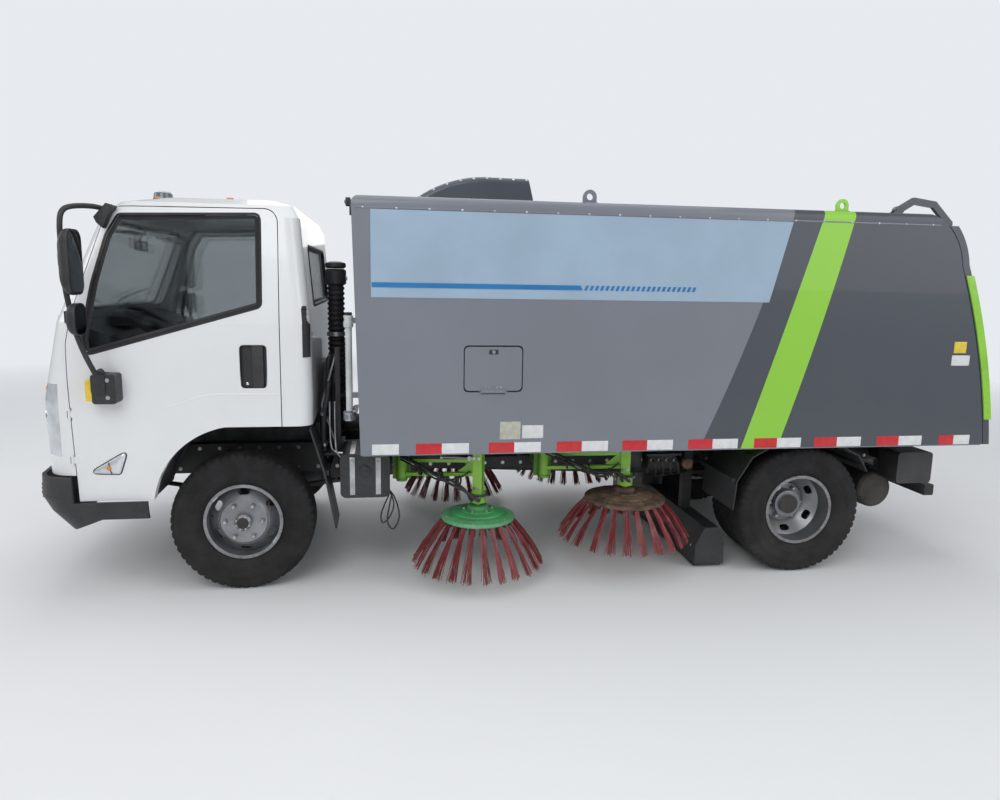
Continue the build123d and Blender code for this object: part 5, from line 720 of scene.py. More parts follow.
# Planes outside the truck from which trims are laid on its nose, rear and roof
RAY_AHEAD, RAY_ASTERN, RAY_ABOVE = 3.0, -3.4, 3.0
RAY_BACK_OFF = 1.5


def skin(*names):
    """Search tree over the surfaces of CAD nodes."""
    points, faces = [], []
    for name in names:
        mesh = NODES[name].data
        start = len(points)
        points += [vertex.co.copy() for vertex in mesh.vertices]
        faces += [[start + i for i in polygon.vertices] for polygon in mesh.polygons]
    return BVHTree.FromPolygons(points, faces)


def touch(tree, place, way):
    """Point and outward normal where a ray from well outside, going the given way, meets the surface."""
    way = Vector(way).normalized()
    hit, normal, index, distance = tree.ray_cast(Vector(place) - way * RAY_BACK_OFF, way)
    if hit is None:
        hit, normal, index, distance = tree.find_nearest(Vector(place))
    if normal.dot(way) > 0:
        normal = -normal
    return hit, normal


def drape(shape, tree, rows, way, lifts, slot=0, closed=False, sink=0.001):
    """Thin sheet on a surface. Each row of places is projected; each column has its own lift."""
    tops, feet = [], []
    for row in rows:
        for place, lift in zip(row, lifts):
            hit, normal = touch(tree, place, way)
            tops.append(hit + normal * lift)
            feet.append(hit - normal * sink)
    shape.add(tops + feet, sheet_faces(len(rows), len(lifts), closed), slot)


def round_corners(points, radius, steps=5):
    """Closed outline with each corner rounded, as a list of (a, b) pairs."""
    outline = []
    count = len(points)
    for index in range(count):
        here = Vector(points[index])
        before = (Vector(points[index - 1]) - here).normalized()
        after = (Vector(points[(index + 1) % count]) - here).normalized()
        half = math.acos(max(-1, min(1, before.dot(after)))) / 2
        cut = radius / math.tan(half)
        start, end = here + before * cut, here + after * cut
        for step in range(steps + 1):
            t = step / steps
            outline.append((start * (1 - t) + here * t) * (1 - t) + (here * (1 - t) + end * t) * t)
    return outline


def divide(outline, longest):
    """Closed outline with points added so that no step is longer than a length."""
    line = []
    for index, point in enumerate(outline):
        after = outline[(index + 1) % len(outline)]
        steps = max(1, math.ceil((after - point).length / longest))
        line += [point.lerp(after, step / steps) for step in range(steps)]
    return line


def grown(outline, amount):
    """Outline moved outward by an amount along its normals (inward if negative)."""
    count = len(outline)
    area = sum(outline[i - 1].x * outline[i].y - outline[i].x * outline[i - 1].y for i in range(count))
    turn = 1 if area > 0 else -1
    moved = []
    for index in range(count):
        way = (outline[(index + 1) % count] - outline[index - 1]).normalized()
        moved.append(outline[index] + Vector((way.y, -way.x)) * turn * amount)
    return moved


# ---- Window seals

DOOR_WINDOW = [(fx(x), z) for x, z in ((0.545, 2.052), (-0.142, 2.074), (-0.140, 1.604), (0.728, 1.350),
                                       (0.736, 1.428), (0.677, 1.715), (0.607, 1.951))]
WINDSCREEN = ((-0.800, 1.545), (0.800, 1.545), (0.742, 2.048), (-0.742, 2.048))
REAR_WINDOW = ((-0.560, 1.600), (0.560, 1.600), (0.560, 1.930), (-0.560, 1.930))


def seal(name, outline, radius, place_of, way, skin_nodes, glass_nodes, lip, body):
    """Rubber seal round a window: a lip on the panel, a step down, and a band on the glass."""
    ring = divide(round_corners(outline, radius), 0.04)
    panel, glass = skin(*skin_nodes), skin(*glass_nodes)
    shape = Shape()
    outer, ridge, edge = grown(ring, lip), grown(ring, lip * 0.55), grown(ring, 0.001)
    drape(shape, panel, [[place_of(*a), place_of(*b), place_of(*c)] for a, b, c in zip(outer, ridge, edge)],
          way, (0.0008, 0.0035, 0.0040), closed=True)
    inner, band = grown(ring, -0.006), grown(ring, -0.020)
    points = []
    for loop, tree, lift in ((edge, panel, 0.004), (inner, glass, 0.006), (band, glass, 0.0012),
                             (inner, glass, 0.0003)):
        for place in loop:
            hit, normal = touch(tree, place_of(*place), way)
            points.append(hit + normal * lift)
    shape.add(points, loop_faces(4, len(ring), True))
    shape.piece(name, rubber, body, "black_plastic")


for side, sign in SIDES:
    seal(f"door_window_seal_{side}", DOOR_WINDOW, 0.026, lambda x, z: (x, sign, z),
         (0, -sign, 0), (f"door_{side}",), (f"door_glass_{side}",), 0.014, f"{side}_door")
seal("windscreen_seal", WINDSCREEN, 0.045, lambda y, z: (2.6, y, z), ASTERN,
     ("cab_front", "cab_roof"), ("cab_glass",), 0.013, "cab")
seal("rear_window_seal", REAR_WINDOW, 0.040, lambda y, z: (1.3, y, z), AHEAD,
     ("cab_rear",), ("cab_glass",), 0.013, "cab")


# ---- Tyres with their tread

FRONT_TYRE_Y = 0.774
REAR_TYRES_Y = (0.874, 0.638)
TREAD_PITCHES = 54
TREAD_STEPS = 4
# Half of the section: distance from the tyre's middle, radius
TYRE_SECTION = (
    (0.0000, 0.3929), (0.0130, 0.3927), (0.0150, 0.3835), (0.0190, 0.3835), (0.0210, 0.3925),
    (0.0470, 0.3918), (0.0490, 0.3825), (0.0540, 0.3825), (0.0560, 0.3915), (0.0690, 0.3905),
    (0.0800, 0.3885), (0.0880, 0.3790), (0.0930, 0.3690), (0.0960, 0.3590), (0.0985, 0.3480),
    (0.0995, 0.3300), (0.1013, 0.3270), (0.1016, 0.3080), (0.0998, 0.3050), (0.0985, 0.2840),
    (0.0975, 0.2720), (0.0990, 0.2700), (0.0975, 0.2640), (0.0930, 0.2520), (0.0870, 0.2400),
    (0.0800, 0.2310), (0.0745, 0.2255), (0.0705, 0.2230), (0.0697, 0.2060))
# Rows of the section that run in a zigzag, and how far they go to each side
ZIGZAG_ROWS, ZIGZAG_SHIFT = range(1, 9), 0.003
# Depth of the shoulder's cross grooves at rows of the section
GROOVE_DEPTH = {9: 0.007, 10: 0.010, 11: 0.010, 12: 0.007}


def add_tyre(shape, middle_x, middle_y):
    """One tyre about its axle line, with zigzag ribs and open shoulder blocks."""
    half = [(across, radius, ZIGZAG_SHIFT * (row in ZIGZAG_ROWS), GROOVE_DEPTH.get(row, 0))
            for row, (across, radius) in enumerate(TYRE_SECTION)]
    rows = [(-across, *rest, 2) for across, *rest in reversed(half)] + [(*row, 0) for row in half[1:]]
    steps = TREAD_PITCHES * TREAD_STEPS
    zigzag = (0, 1, 0, -1)
    points = []
    for step, (c, s) in enumerate(around(steps)):
        phase = step % TREAD_STEPS
        for across, radius, shift, depth, groove_phase in rows:
            r = radius - (depth if phase == groove_phase else 0)
            points.append((middle_x + r * c, middle_y + across + shift * zigzag[phase], AXLE_Z + r * s))
    shape.add(points, loop_faces(steps, len(rows), True))


for side, sign in SIDES:
    front = Shape()
    add_tyre(front, FRONT_AXLE_X, sign * FRONT_TYRE_Y)
    piece = front.piece(f"front_tread_tyre_{side}", tyre_rubber, f"front_{side}_wheel", "tyre", 40)
    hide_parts(f"front_tyre_{side}")
    rear = Shape()
    for middle_y in REAR_TYRES_Y:
        add_tyre(rear, REAR_AXLE_X, sign * middle_y)
    piece = rear.piece(f"rear_tread_tyres_{side}", tyre_rubber, f"rear_{side}_wheels", "tyre", 40)
    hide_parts(f"rear_tyres_{side}")


# ---- Wheel studs, hub caps and valves

NUT_CIRCLE = 0.102
NUT_COUNT = 6
HUB_BOLTS = 8
WEIGHT_CIRCLE = 0.201

for side, sign in SIDES:
    for end, axle_x, middle_y, wheels, hub_r in (("front", FRONT_AXLE_X, FRONT_TYRE_Y, "wheel", 0.046),
                                                 ("rear", REAR_AXLE_X, REAR_TYRES_Y[0], "wheels", 0.084)):
        tree = skin(f"{end}_{wheels}_{side}")
        shape = Shape()
        out, inward = (0, sign, 0), (0, -sign, 0)
        for c, s in around(NUT_COUNT):
            place = touch(tree, (axle_x + NUT_CIRCLE * c, sign, AXLE_Z + NUT_CIRCLE * s), inward)[0]
            shape.turned([(-0.001, 0.0085), (0.006, 0.0085), (0.008, 0.0065)], place, out, 12)
        hub = touch(tree, (axle_x, sign, AXLE_Z), inward)[0]
        shape.turned([(-0.003, hub_r * 0.72), (0.0006, hub_r * 0.72), (0.0012, hub_r * 0.60),
                      (0.0004, hub_r * 0.30), (0.0012, hub_r * 0.22)], hub, out, 28, 1)
        for c, s in around(HUB_BOLTS, 0.5):
            place = touch(tree, (axle_x + hub_r * 0.82 * c, sign, AXLE_Z + hub_r * 0.82 * s), inward)[0]
            if abs(place.y - hub.y) < 0.004:
                shape.turned([(-0.001, 0.006), (0.0025, 0.006), (0.0032, 0.005)], place, out, 6)
        # Valve stem on the rim, and balance weights on its flange
        valve = Vector((axle_x + 0.176, sign * (middle_y + 0.040), AXLE_Z + 0.03))
        shape.rod(valve, valve + Vector((-0.012, sign * 0.034, -0.002)), 0.0042, 10, 2)
        for start_angle in (40, 210):
            for angle in spaced(start_angle, 3.4, 3):
                angle = math.radians(angle)
                place = Vector((axle_x + WEIGHT_CIRCLE * math.cos(angle), sign * (middle_y + 0.0745),
                                AXLE_Z + WEIGHT_CIRCLE * math.sin(angle)))
                shape.rod(place, place + Vector((0, sign * 0.004, 0)), 0.0058, 8)
        shape.piece(f"{end}_wheel_fittings_{side}", (bare_steel, cast_metal, rubber),
                    f"{end}_{side}_{wheels}", "rim_silver")


# ---- Brushes

TUFT_COUNT = 24
BRISTLES_PER_TUFT = 34
DISC_BOLT_CIRCLE = 0.084
# Each row: name, pivot and brush ahead of the front axle, brush Y, disc's height, end post's low and
# high edge, bars' height at the pivot, disc radius, bristle tips' radius and height
BRUSH_UNITS = (
    ("front", -0.890, -1.335, 0.790, 0.372, 0.512, 0.754, 0.640, 0.218, 0.408, 0.084),
    ("rear", -1.770, -2.250, 0.760, 0.448, 0.600, 0.781, 0.660, 0.245, 0.418, 0.206),
)
BRUSH_PIVOT_Y = 0.600
DISC_FINISHES = {"front": (disc_green, disc_rim_green, bare_steel),
                 "rear": (disc_rust, disc_rust, cast_metal)}


def add_disc(shape, centre, disc_r, disc_z):
    """Disc in two colours: a stepped dome, and a rim with a rolled edge."""
    base = Vector((centre.x, centre.y, disc_z))
    dome = [(0.020, 0.0165), (0.066, 0.0165), (0.066, 0.056), (0.062, 0.061), (0.047, 0.063),
            (0.044, 0.070), (0.043, 0.098), (0.040, 0.102), (0.036, 0.103), (0.034, 0.108),
            (0.032, disc_r * 0.66), (0.029, disc_r * 0.68), (0.022, disc_r * 0.69), (0.020, disc_r * 0.71),
            (0.017, disc_r * 0.80), (0.013, disc_r * 0.815)]
    under = [(0.004, disc_r * 0.815), (0.014, disc_r * 0.60), (0.020, 0.05)]
    shape.turned(dome + under, base, UP, 64, closed=True)
    rim = [(0.013, disc_r * 0.80), (0.0135, disc_r * 0.86), (0.009, disc_r - 0.010), (0.007, disc_r - 0.003),
           (0.003, disc_r), (-0.011, disc_r), (-0.014, disc_r - 0.003), (-0.014, disc_r - 0.024),
           (-0.004, disc_r - 0.032), (0.003, disc_r * 0.80)]
    shape.turned(rim, base, UP, 64, 1, closed=True)
    for c, s in around(6):
        shape.bolt(base + Vector((DISC_BOLT_CIRCLE * c, DISC_BOLT_CIRCLE * s, 0.0435)), UP, 0.0085, 0.008, 2)
    for c, s in around(TUFT_COUNT // 2, 0.5):
        shape.bolt(base + Vector(((disc_r - 0.02) * c, (disc_r - 0.02) * s, 0.010)), UP, 0.005, 0.004, 2)


def add_bristles(shape, centre, disc_r, disc_z, tip_r, tip_z, draw):
    """Tufts of stiff bristles, clamped at the rim and fanning out towards the road."""
    for tuft in range(TUFT_COUNT):
        angle = 2 * math.pi * tuft / TUFT_COUNT
        out = Vector((math.cos(angle), math.sin(angle), 0))
        side = Vector((-out.y, out.x, 0))
        lean = draw.uniform(-0.012, 0.012)
        shape.block((-0.010, -0.013, -0.020), (0.010, 0.013, 0.006), 1, 0.002,
                    Matrix.Translation(Vector((centre.x, centre.y, disc_z - 0.012)) + out * (disc_r - 0.019))
                    @ Matrix.Rotation(angle, 4, "Z"))
        for _ in range(BRISTLES_PER_TUFT):
            root = out * (disc_r - 0.018 + draw.uniform(-0.008, 0.008)) + side * draw.uniform(-0.011, 0.011)
            reach = draw.uniform(0.93, 1.0)
            fan = max(-0.032, min(0.032, draw.gauss(0, 0.0150))) + lean
            tip_out = tip_r - 0.020 + draw.uniform(-0.013, 0.010)
            tip = out * tip_out + side * fan
            start = Vector((centre.x, centre.y, disc_z - 0.008)) + root
            end = Vector((centre.x, centre.y, tip_z + draw.uniform(-0.004, 0.012))) + tip
            end = start.lerp(end, reach)
            bow = out * draw.uniform(0.002, 0.014) + side * draw.uniform(-0.004, 0.004)
            across = (end - start).normalized().cross(out).normalized()
            points = []
            for t in spread(0, 1, 4):
                place = start.lerp(end, t) + bow * 4 * t * (1 - t) + Vector((0, 0, 0.006)) * 4 * t * (1 - t)
                half = 0.0023 - 0.0005 * t
                points += [place + across * half, place - across * half * 0.5 + out * half * 0.8,
                           place - across * half * 0.5 - out * half * 0.8]
            shape.add(points, [(0, 2, 1), (9, 10, 11)] + loop_faces(4, 3))


for number, row in enumerate(BRUSH_UNITS):
    unit, pivot, brush, brush_y, disc_z, low, high, bar_z, disc_r, tip_r, tip_z = row
    for side, sign in SIDES:
        centre = Vector((fx(brush), sign * brush_y, 0))
        draw = random.Random(71 + number * 2 + (sign > 0))
        disc = Shape()
        add_disc(disc, centre, disc_r, disc_z)
        piece = disc.piece(f"{unit}_brush_disc_{side}", DISC_FINISHES[unit], f"{unit}_{side}_brush",
                           "bracket_green", 32)
        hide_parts(f"{unit}_brush_{side}")
        tufts = Shape()
        add_bristles(tufts, centre, disc_r, disc_z, tip_r, tip_z, draw)
        tufts.piece(f"{unit}_brush_bristles_{side}", (bristle, chassis_paint), f"{unit}_{side}_brush",
                    "bristle_red", None)


# ---- Brush arms: motor, rods, hoses and bolts

for unit, pivot, brush, brush_y, _, low, high, bar_z, *_ in BRUSH_UNITS:
    for side, sign in SIDES:
        body = f"{unit}_{side}_arm"
        pin = Vector((fx(pivot), sign * BRUSH_PIVOT_Y, 0))
        centre = Vector((fx(brush), sign * brush_y, 0))
        along = (centre - pin).normalized()
        away = Vector((-along.y, along.x, 0))
        if away.y * sign < 0:
            away = -away
        top = Vector(UP)

        def on_arm(distance, out, height):
            return pin + along * distance + away * out + top * height

        reach = (centre - pin).length
        shape = Shape()
        # Motor flange with its bolts, ports and hose unions
        shape.turned([(-0.012, 0.047), (-0.012, 0.058), (0.0, 0.060), (0.004, 0.058), (0.004, 0.047)],
                     centre + top * (low - 0.004), UP, 32, 0, closed=True)
        for c, s in around(6, 0.5):
            shape.bolt(centre + Vector((0.053 * c, 0.053 * s, low - 0.017)), DOWN, 0.0055, 0.006, 1)
        ports = [centre + away * 0.040 + along * shift + top * (low - 0.028) for shift in (-0.020, 0.020)]
        for port in ports:
            shape.rod(port - away * 0.004, port + away * 0.026, 0.011, 6, 1)
        # Actuator rod over the bars, with its end eyes
        start, end = on_arm(0.045, 0.0, bar_z + 0.062), on_arm(reach - 0.050, 0.004, high - 0.038)
        middle = start.lerp(end, 0.55)
        shape.rod(start, middle, 0.016, 16)
        shape.rod(middle, end, 0.0075, 12, 1)
        shape.turned([(0.0, 0.017), (0.002, 0.019), (0.016, 0.019), (0.018, 0.015)],
                     middle - (end - start).normalized() * 0.008, end - start, 16, 1)
        for eye in (start, end):
            shape.ring(-0.012, 0.012, 0.006, 0.015, eye, away, 16, 1)
            shape.bolt(eye + away * 0.012, away, 0.008, 0.006, 1)
        # Bolts and a gusset on the post
        for height in (low + 0.03, high - 0.03):
            for offset in (-0.016, 0.016):
                shape.bolt(on_arm(reach + offset - 0.004, 0.030, height), away, 0.0065, 0.005, 1)
        shape.plate([(-0.10, 0.0), (0.0, 0.0), (0.0, 0.085)], on_arm(reach - 0.028, -0.005, bar_z - 0.010),
                    along, top, 0.006, 2)
        shape.piece(f"{unit}_arm_fittings_{side}", (chassis_paint, bare_steel, lime_paint), body,
                    "cylinder_steel")
        hoses = Shape()
        for index, port in enumerate(ports):
            lift = 0.016 * index
            hoses.tube([port + away * 0.018, port + away * 0.050 + top * 0.004,
                        on_arm(reach - 0.055, 0.085 + lift, low + 0.030),
                        on_arm(reach * 0.70, 0.072 + lift, bar_z - 0.050 - lift),
                        on_arm(reach * 0.42, 0.058 + lift, bar_z - 0.006),
                        on_arm(reach * 0.18, 0.050 + lift, bar_z + 0.045),
                        on_arm(0.012, 0.040 + lift, bar_z + 0.068)], 0.0085, 10)
        hoses.tube([on_arm(0.012, 0.052, bar_z + 0.050), on_arm(reach * 0.25, 0.075, bar_z + 0.012),
                    on_arm(reach * 0.55, 0.064, bar_z - 0.056), on_arm(reach * 0.80, 0.054, bar_z - 0.030),
                    on_arm(reach - 0.045, 0.030, bar_z + 0.005)], 0.006, 8)
        for share in (0.30, 0.56, 0.80):
            height = bar_z + 0.020 - share * 0.085
            hoses.ring(-0.005, 0.005, 0.024, 0.031, on_arm(reach * share, 0.066, height), along, 14)
        hoses.piece(f"{unit}_motor_hoses_{side}", hose_black, body, "black_plastic", 50)


# ---- Body sides: banner, marking strips, plates, edges, hatch fittings

BANNER_THICK = 0.0012
BANNER = ((0.983, 1.660), (0.983, 2.112), (-1.374, 2.112), (-1.262, 1.660))
LINE_LOW, LINE_HIGH, LINE_THICK = 1.712, 1.738, 0.0013
STRIP_LOW, STRIP_HIGH = 0.808, 0.866
# Marking strips along the sill: front and rear end ahead of the front axle. Each row is red, then white
WHITE_AT_FRONT = (-0.719, -0.864)
STRIP_ROWS = ((-0.956, -1.249), (-1.360, -1.656), (-1.747, -2.047), (-2.133, -2.436), (-2.530, -2.836),
              (-2.938, -3.235), (-3.320, -3.625), (-3.731, -4.031), (-4.147, -4.359))
# Blank plates: front and rear end, low and high edge, material slot
PLATES = ((0.284, 0.168, 0.884, 0.984, 0), (0.158, 0.038, 0.888, 0.962, 1),
          (-2.478, -2.560, 1.372, 1.440, 2), (-2.470, -2.590, 1.296, 1.358, 1))


def add_banner(shape, sign):
    """Vinyl sheet with slightly loose edges, as a grid on the body's side."""
    columns, rows = 61, 13
    front_low, front_high, rear_high, rear_low = (Vector(corner) for corner in BANNER)
    tops, feet = [], []
    for s in spread(0, 1, columns):
        for t in spread(0, 1, rows):
            place = front_low.lerp(rear_low, s).lerp(front_high.lerp(rear_high, s), t)
            edge = min(s, 1 - s, t, 1 - t)
            curl = 0.0004 * max(0, 1 - edge * 30) * (1 + math.sin(s * 61 + t * 9))
            wave = 0.0005 * math.sin(s * 37 + t * 5) * math.sin(t * 11 + 1)
            y = sign * (BODY_HALF + BANNER_THICK + max(wave, -0.0002) + curl)
            tops.append((place.x, y, place.y))
            feet.append((place.x, sign * (BODY_HALF - 0.0004), place.y))
    shape.add(tops + feet, sheet_faces(columns, rows))


def add_banner_mark(shape, sign, low_front, high_front, high_rear, low_rear):
    """Printed mark between the two edges of the banner's line, from the X of its corners."""
    corners = ((low_front, LINE_LOW), (high_front, LINE_HIGH), (high_rear, LINE_HIGH), (low_rear, LINE_LOW))
    shape.plate(corners, (0, sign * (BODY_HALF + BANNER_THICK + 0.0004), 0), AHEAD, UP, -sign * LINE_THICK)


for side, sign in SIDES:
    out = (0, sign, 0)
    banner = Shape()
    add_banner(banner, sign)
    banner.piece(f"banner_{side}", banner_sheet, "hopper", "body_grey", 60)
    lines = Shape()
    # The line, and the slanted dashes behind it
    add_banner_mark(lines, sign, 0.979, 0.979, -0.150, -0.160)
    for front in spaced(-0.170, -0.0296, 22):
        add_banner_mark(lines, sign, front, front - 0.010, front - 0.026, front - 0.016)
    lines.piece(f"banner_lines_{side}", banner_line, "hopper", "body_grey")

    strips = Shape()
    front, rear = (fx(x) for x in WHITE_AT_FRONT)
    strip_blocks = [(front, rear, 1)]
    for row in STRIP_ROWS:
        front, rear = (fx(x) for x in row)
        middle = (front + rear) / 2 + 0.004
        strip_blocks += [(front, middle, 0), (middle, rear, 1)]
    for front, rear, slot in strip_blocks:
        strips.block((rear, sign * (BODY_HALF - 0.0005), STRIP_LOW),
                     (front, sign * (BODY_HALF + 0.0010), STRIP_HIGH), slot, 0.0004)
    strips.piece(f"marking_strips_{side}", (marking_red, marking_white), "hopper", "body_grey")

    plates = Shape()
    for front, rear, plate_low, plate_high, slot in PLATES:
        plates.block((rear, sign * (BODY_HALF - 0.0005), plate_low),
                     (front, sign * (BODY_HALF + 0.0014), plate_high), slot, 0.0006)
        for x in (front - 0.006, rear + 0.006):
            for z in (plate_low + 0.006, plate_high - 0.006):
                plates.turned([(0.0, 0.0028), (0.0008, 0.0028), (0.0014, 0.0016)],
                              (x, sign * (BODY_HALF + 0.0013), z), out, 10, 3)
    plates.piece(f"blank_plates_{side}", (label_pale, label_white, safety_yellow, bare_steel), "hopper",
                 "body_grey")

    # Folded sill edge and roof drip edge with their screws
    edges = Shape()
    edges.block((-2.735, sign * (BODY_HALF - 0.030), 0.8006), (1.035, sign * (BODY_HALF + 0.0016), 0.8064),
                0, 0.0015)
    for x in spaced(0.98, -0.110, 34):
        edges.bolt((x, sign * (BODY_HALF - 0.014), 0.8012), DOWN, 0.0055, 0.004, 1)
    edges.block((-2.30, sign * (BODY_HALF - 0.001), 2.1165), (1.060, sign * (BODY_HALF + 0.0022), 2.1235),
                0, 0.0012)
    for x in spaced(1.02, -0.172, 20):
        edges.turned([(0.0, 0.006), (0.001, 0.0058), (0.0022, 0.003)],
                     (x, sign * (BODY_HALF + 0.0018), 2.120), out, 12, 1)
    edges.piece(f"body_edges_{side}", (grey_paint, bare_steel), "hopper", "body_grey")

# Side hatch: flush latch, hinge screws and seal
hatch = Shape()
hatch.block((0.300, 1.0290, 1.360), (0.350, 1.0335, 1.384), 0, 0.002)
hatch.turned([(0.0, 0.0085), (0.004, 0.0085), (0.005, 0.006)], (0.325, 1.0325, 1.372), LEFT, 20, 1)
hatch.block((0.3235, 1.0360, 1.3665), (0.3265, 1.0385, 1.3775), 0, 0.0005)
for x in (0.282, 0.305, 0.345, 0.368):
    hatch.turned([(0.0, 0.0045), (0.0012, 0.0043), (0.0022, 0.002)], (x, 1.0298, 1.176), LEFT, 12, 1)
hatch.piece("hatch_latch", (black_plastic, bare_steel), "side_hatch", "body_grey")
hatch_seal = Shape()
frame_ring = round_corners([(0.161, 1.150), (0.490, 1.150), (0.490, 1.408), (0.161, 1.408)], 0.030)
frame_ring = divide(frame_ring, 0.05)
inner_ring = grown(frame_ring, -0.0035)
points = [(p.x, y, p.y) for ring, y in ((frame_ring, 1.0305), (inner_ring, 1.0305), (inner_ring, 1.0285),
                                        (frame_ring, 1.0285)) for p in ring]
hatch_seal.add(points, loop_faces(4, len(frame_ring), True))
hatch_seal.piece("hatch_seal", rubber, "hopper", "black_plastic")


# ---- Roof and front wall: cowl louvres, seams, marker lamps, filling pipe

roof = skin("body_roof", "roof_cowl")
cowl = Shape()
for x in spaced(0.700, -0.034, 7):
    rows = [[(x + shift, y, RAY_ABOVE) for shift in (-0.004, 0, 0.016)] for y in spaced(-0.36, 0.06, 13)]
    drape(cowl, roof, rows, DOWN, (0.001, 0.008, 0.001))
for y in (-0.470, 0.470):
    for x in spaced(0.06, 0.08, 9):
        hit, normal = touch(roof, (x, y, RAY_ABOVE), DOWN)
        cowl.turned([(-0.001, 0.009), (0.0015, 0.0085), (0.003, 0.005)], hit, normal, 12, 1)
cowl.piece("cowl_louvres", (slate_paint, bare_steel), "hopper", "body_grey")
roof_seams = Shape()
for x in (-0.55, -1.25, -1.95):
    rows = [[(x + shift, y, RAY_ABOVE) for shift in (-0.006, 0, 0.006)] for y in spaced(-0.96, 0.12, 17)]
    drape(roof_seams, roof, rows, DOWN, (0.0006, 0.0022, 0.0006))
# Weld beads at the feet of the lifting eyes
for x in (fx(-1.907), fx(-3.412)):
    for y in (-0.960, 0.960):
        base = touch(roof, (x + 0.045, y, RAY_ABOVE), DOWN)[0]
        for shift in (0.012, -0.012):
            roof_seams.rod(base + Vector((-0.09, shift, 0.0)), base + Vector((0.0, shift, 0.0)), 0.004, 8)
roof_seams.piece("roof_seams", grey_paint, "hopper", "body_grey")

# Small marker lamp on a black bracket at the body's upper front corner
for side, sign in SIDES:
    marker = Shape()
    y = sign * 0.93
    marker.block((1.078, y - 0.02, 2.085), (1.092, y + 0.02, 2.165), 0, 0.003)
    marker.block((1.085, y - 0.014, 2.130), (1.112, y + 0.014, 2.176), 0, 0.006)
    marker.turned([(0.0, 0.011), (0.004, 0.0105), (0.007, 0.006)], (1.111, y, 2.153), AHEAD, 20, 1)
    marker.piece(f"marker_lamp_{side}", (black_plastic, beacon_lens), "hopper", "black_plastic")

# White filling pipe's couplings and clips on the front wall
pipe_x, pipe_y = fx(-0.597), 0.900
filler = Shape()
filler.turned([(0.0, 0.0175), (0.0, 0.024), (0.006, 0.027), (0.030, 0.027), (0.034, 0.0235),
               (0.048, 0.0235), (0.052, 0.026), (0.064, 0.026), (0.066, 0.0175)],
              (pipe_x, pipe_y, 1.492), UP, 28, closed=True)
filler.ring(0.0, 0.46, 0.0175, 0.0185, (pipe_x, pipe_y, 1.031), UP, 24)
for z in (0.983, 1.018):
    filler.ring(-0.004, 0.004, 0.0325, 0.0345, (pipe_x, pipe_y, z), UP, 28, 1)
for y in (pipe_y - 0.033, pipe_y + 0.033):
    filler.block((pipe_x - 0.006, y - 0.008, 0.985), (pipe_x + 0.006, y + 0.008, 1.015), 1, 0.002)
filler.turned([(0.0, 0.018), (0.002, 0.0205), (0.016, 0.0205), (0.018, 0.015)], (pipe_x, pipe_y, 1.556),
              UP, 8, 2)
filler.piece("filling_pipe_fittings", (pipe_white, bare_steel, hose_black), "hopper", "body_grey", 40)


# ---- Cab sides: handle liner, crease, turn lamp, vent strip, mirror parts

CREASE = ((0.478, 1.028), (0.300, 1.085), (0.132, 1.135), (-0.060, 1.1375), (-0.222, 1.137))
TURN_LAMP = ((0.754, 0.717), (0.597, 0.711), (0.554, 0.837))
HANDLE_RECESS = ((-0.166, 1.166), (-0.034, 1.166), (-0.034, 1.394), (-0.166, 1.394))
# Mirror tube: X ahead of the front axle, distance from the middle plane, height
MIRROR_TUBE = ((0.596, 0.868, 2.078), (0.640, 0.960, 2.088), (0.700, 1.060, 2.078), (0.730, 1.105, 2.050),
               (0.739, 1.120, 1.980), (0.738, 1.120, 1.850), (0.735, 1.120, 1.700), (0.722, 1.115, 1.580),
               (0.706, 1.108, 1.470), (0.684, 1.085, 1.370), (0.660, 1.058, 1.285), (0.632, 1.020, 1.190))
# Plates of the mirror's base: place ahead of the front axle, height, width, height of the plate, thickness
MIRROR_BASE = ((0.6185, 1.178, 0.116, 0.152, 0.122), (0.643, 1.205, 0.068, 0.102, 0.128))
MIRROR_FOOT = ((0.560, 2.100), (0.590, 2.110), (0.652, 2.040), (0.640, 2.012), (0.612, 1.985))
MIRROR_Y = 1.120
# Mirror heads: glass plane ahead of the front axle, width, low and high edge, depth of the dome
MIRROR_HEADS = ((0.679, 0.176, 1.654, 1.968, 0.066), (0.674, 0.150, 1.459, 1.615, 0.058))


def add_mirror_head(shape, back, sign, width, low, high, depth):
    """Domed shell that bulges forward, with a rim and glass on its rear face."""
    steps = 12
    rings = [(0.920, 0.0030), (0.935, 0.0), (0.985, 0.0), (1.0, 0.003), (1.0, 0.012)]
    for step in range(1, steps):
        share = math.cos(math.pi / 2 * step / steps)
        rings.append((share, 0.012 + (depth - 0.012) * (1 - share ** 2.3) ** (1 / 2.3)))
    points = []
    for share, ahead in rings:
        outline = rounded_outline(width * share, (high - low) * share, 0.052 * share, 6)
        points += [(back + ahead, sign * MIRROR_Y + a, (low + high) / 2 + b) for a, b in outline]
    shape.add(points, capped_faces(len(rings), len(outline)))
    glass = rounded_outline(width * 0.915, (high - low) * 0.915, 0.046, 6)
    shape.plate(glass, (back + 0.0035, sign * MIRROR_Y, (low + high) / 2), LEFT, UP, -0.0030, 1)
    middle = (low + high) / 2 + 0.01
    shape.block((back + depth - 0.022, sign * MIRROR_Y - 0.020, middle - 0.030),
                (min(back + depth + 0.012, fx(0.753)), sign * MIRROR_Y + 0.020, middle + 0.030), 0, 0.006)


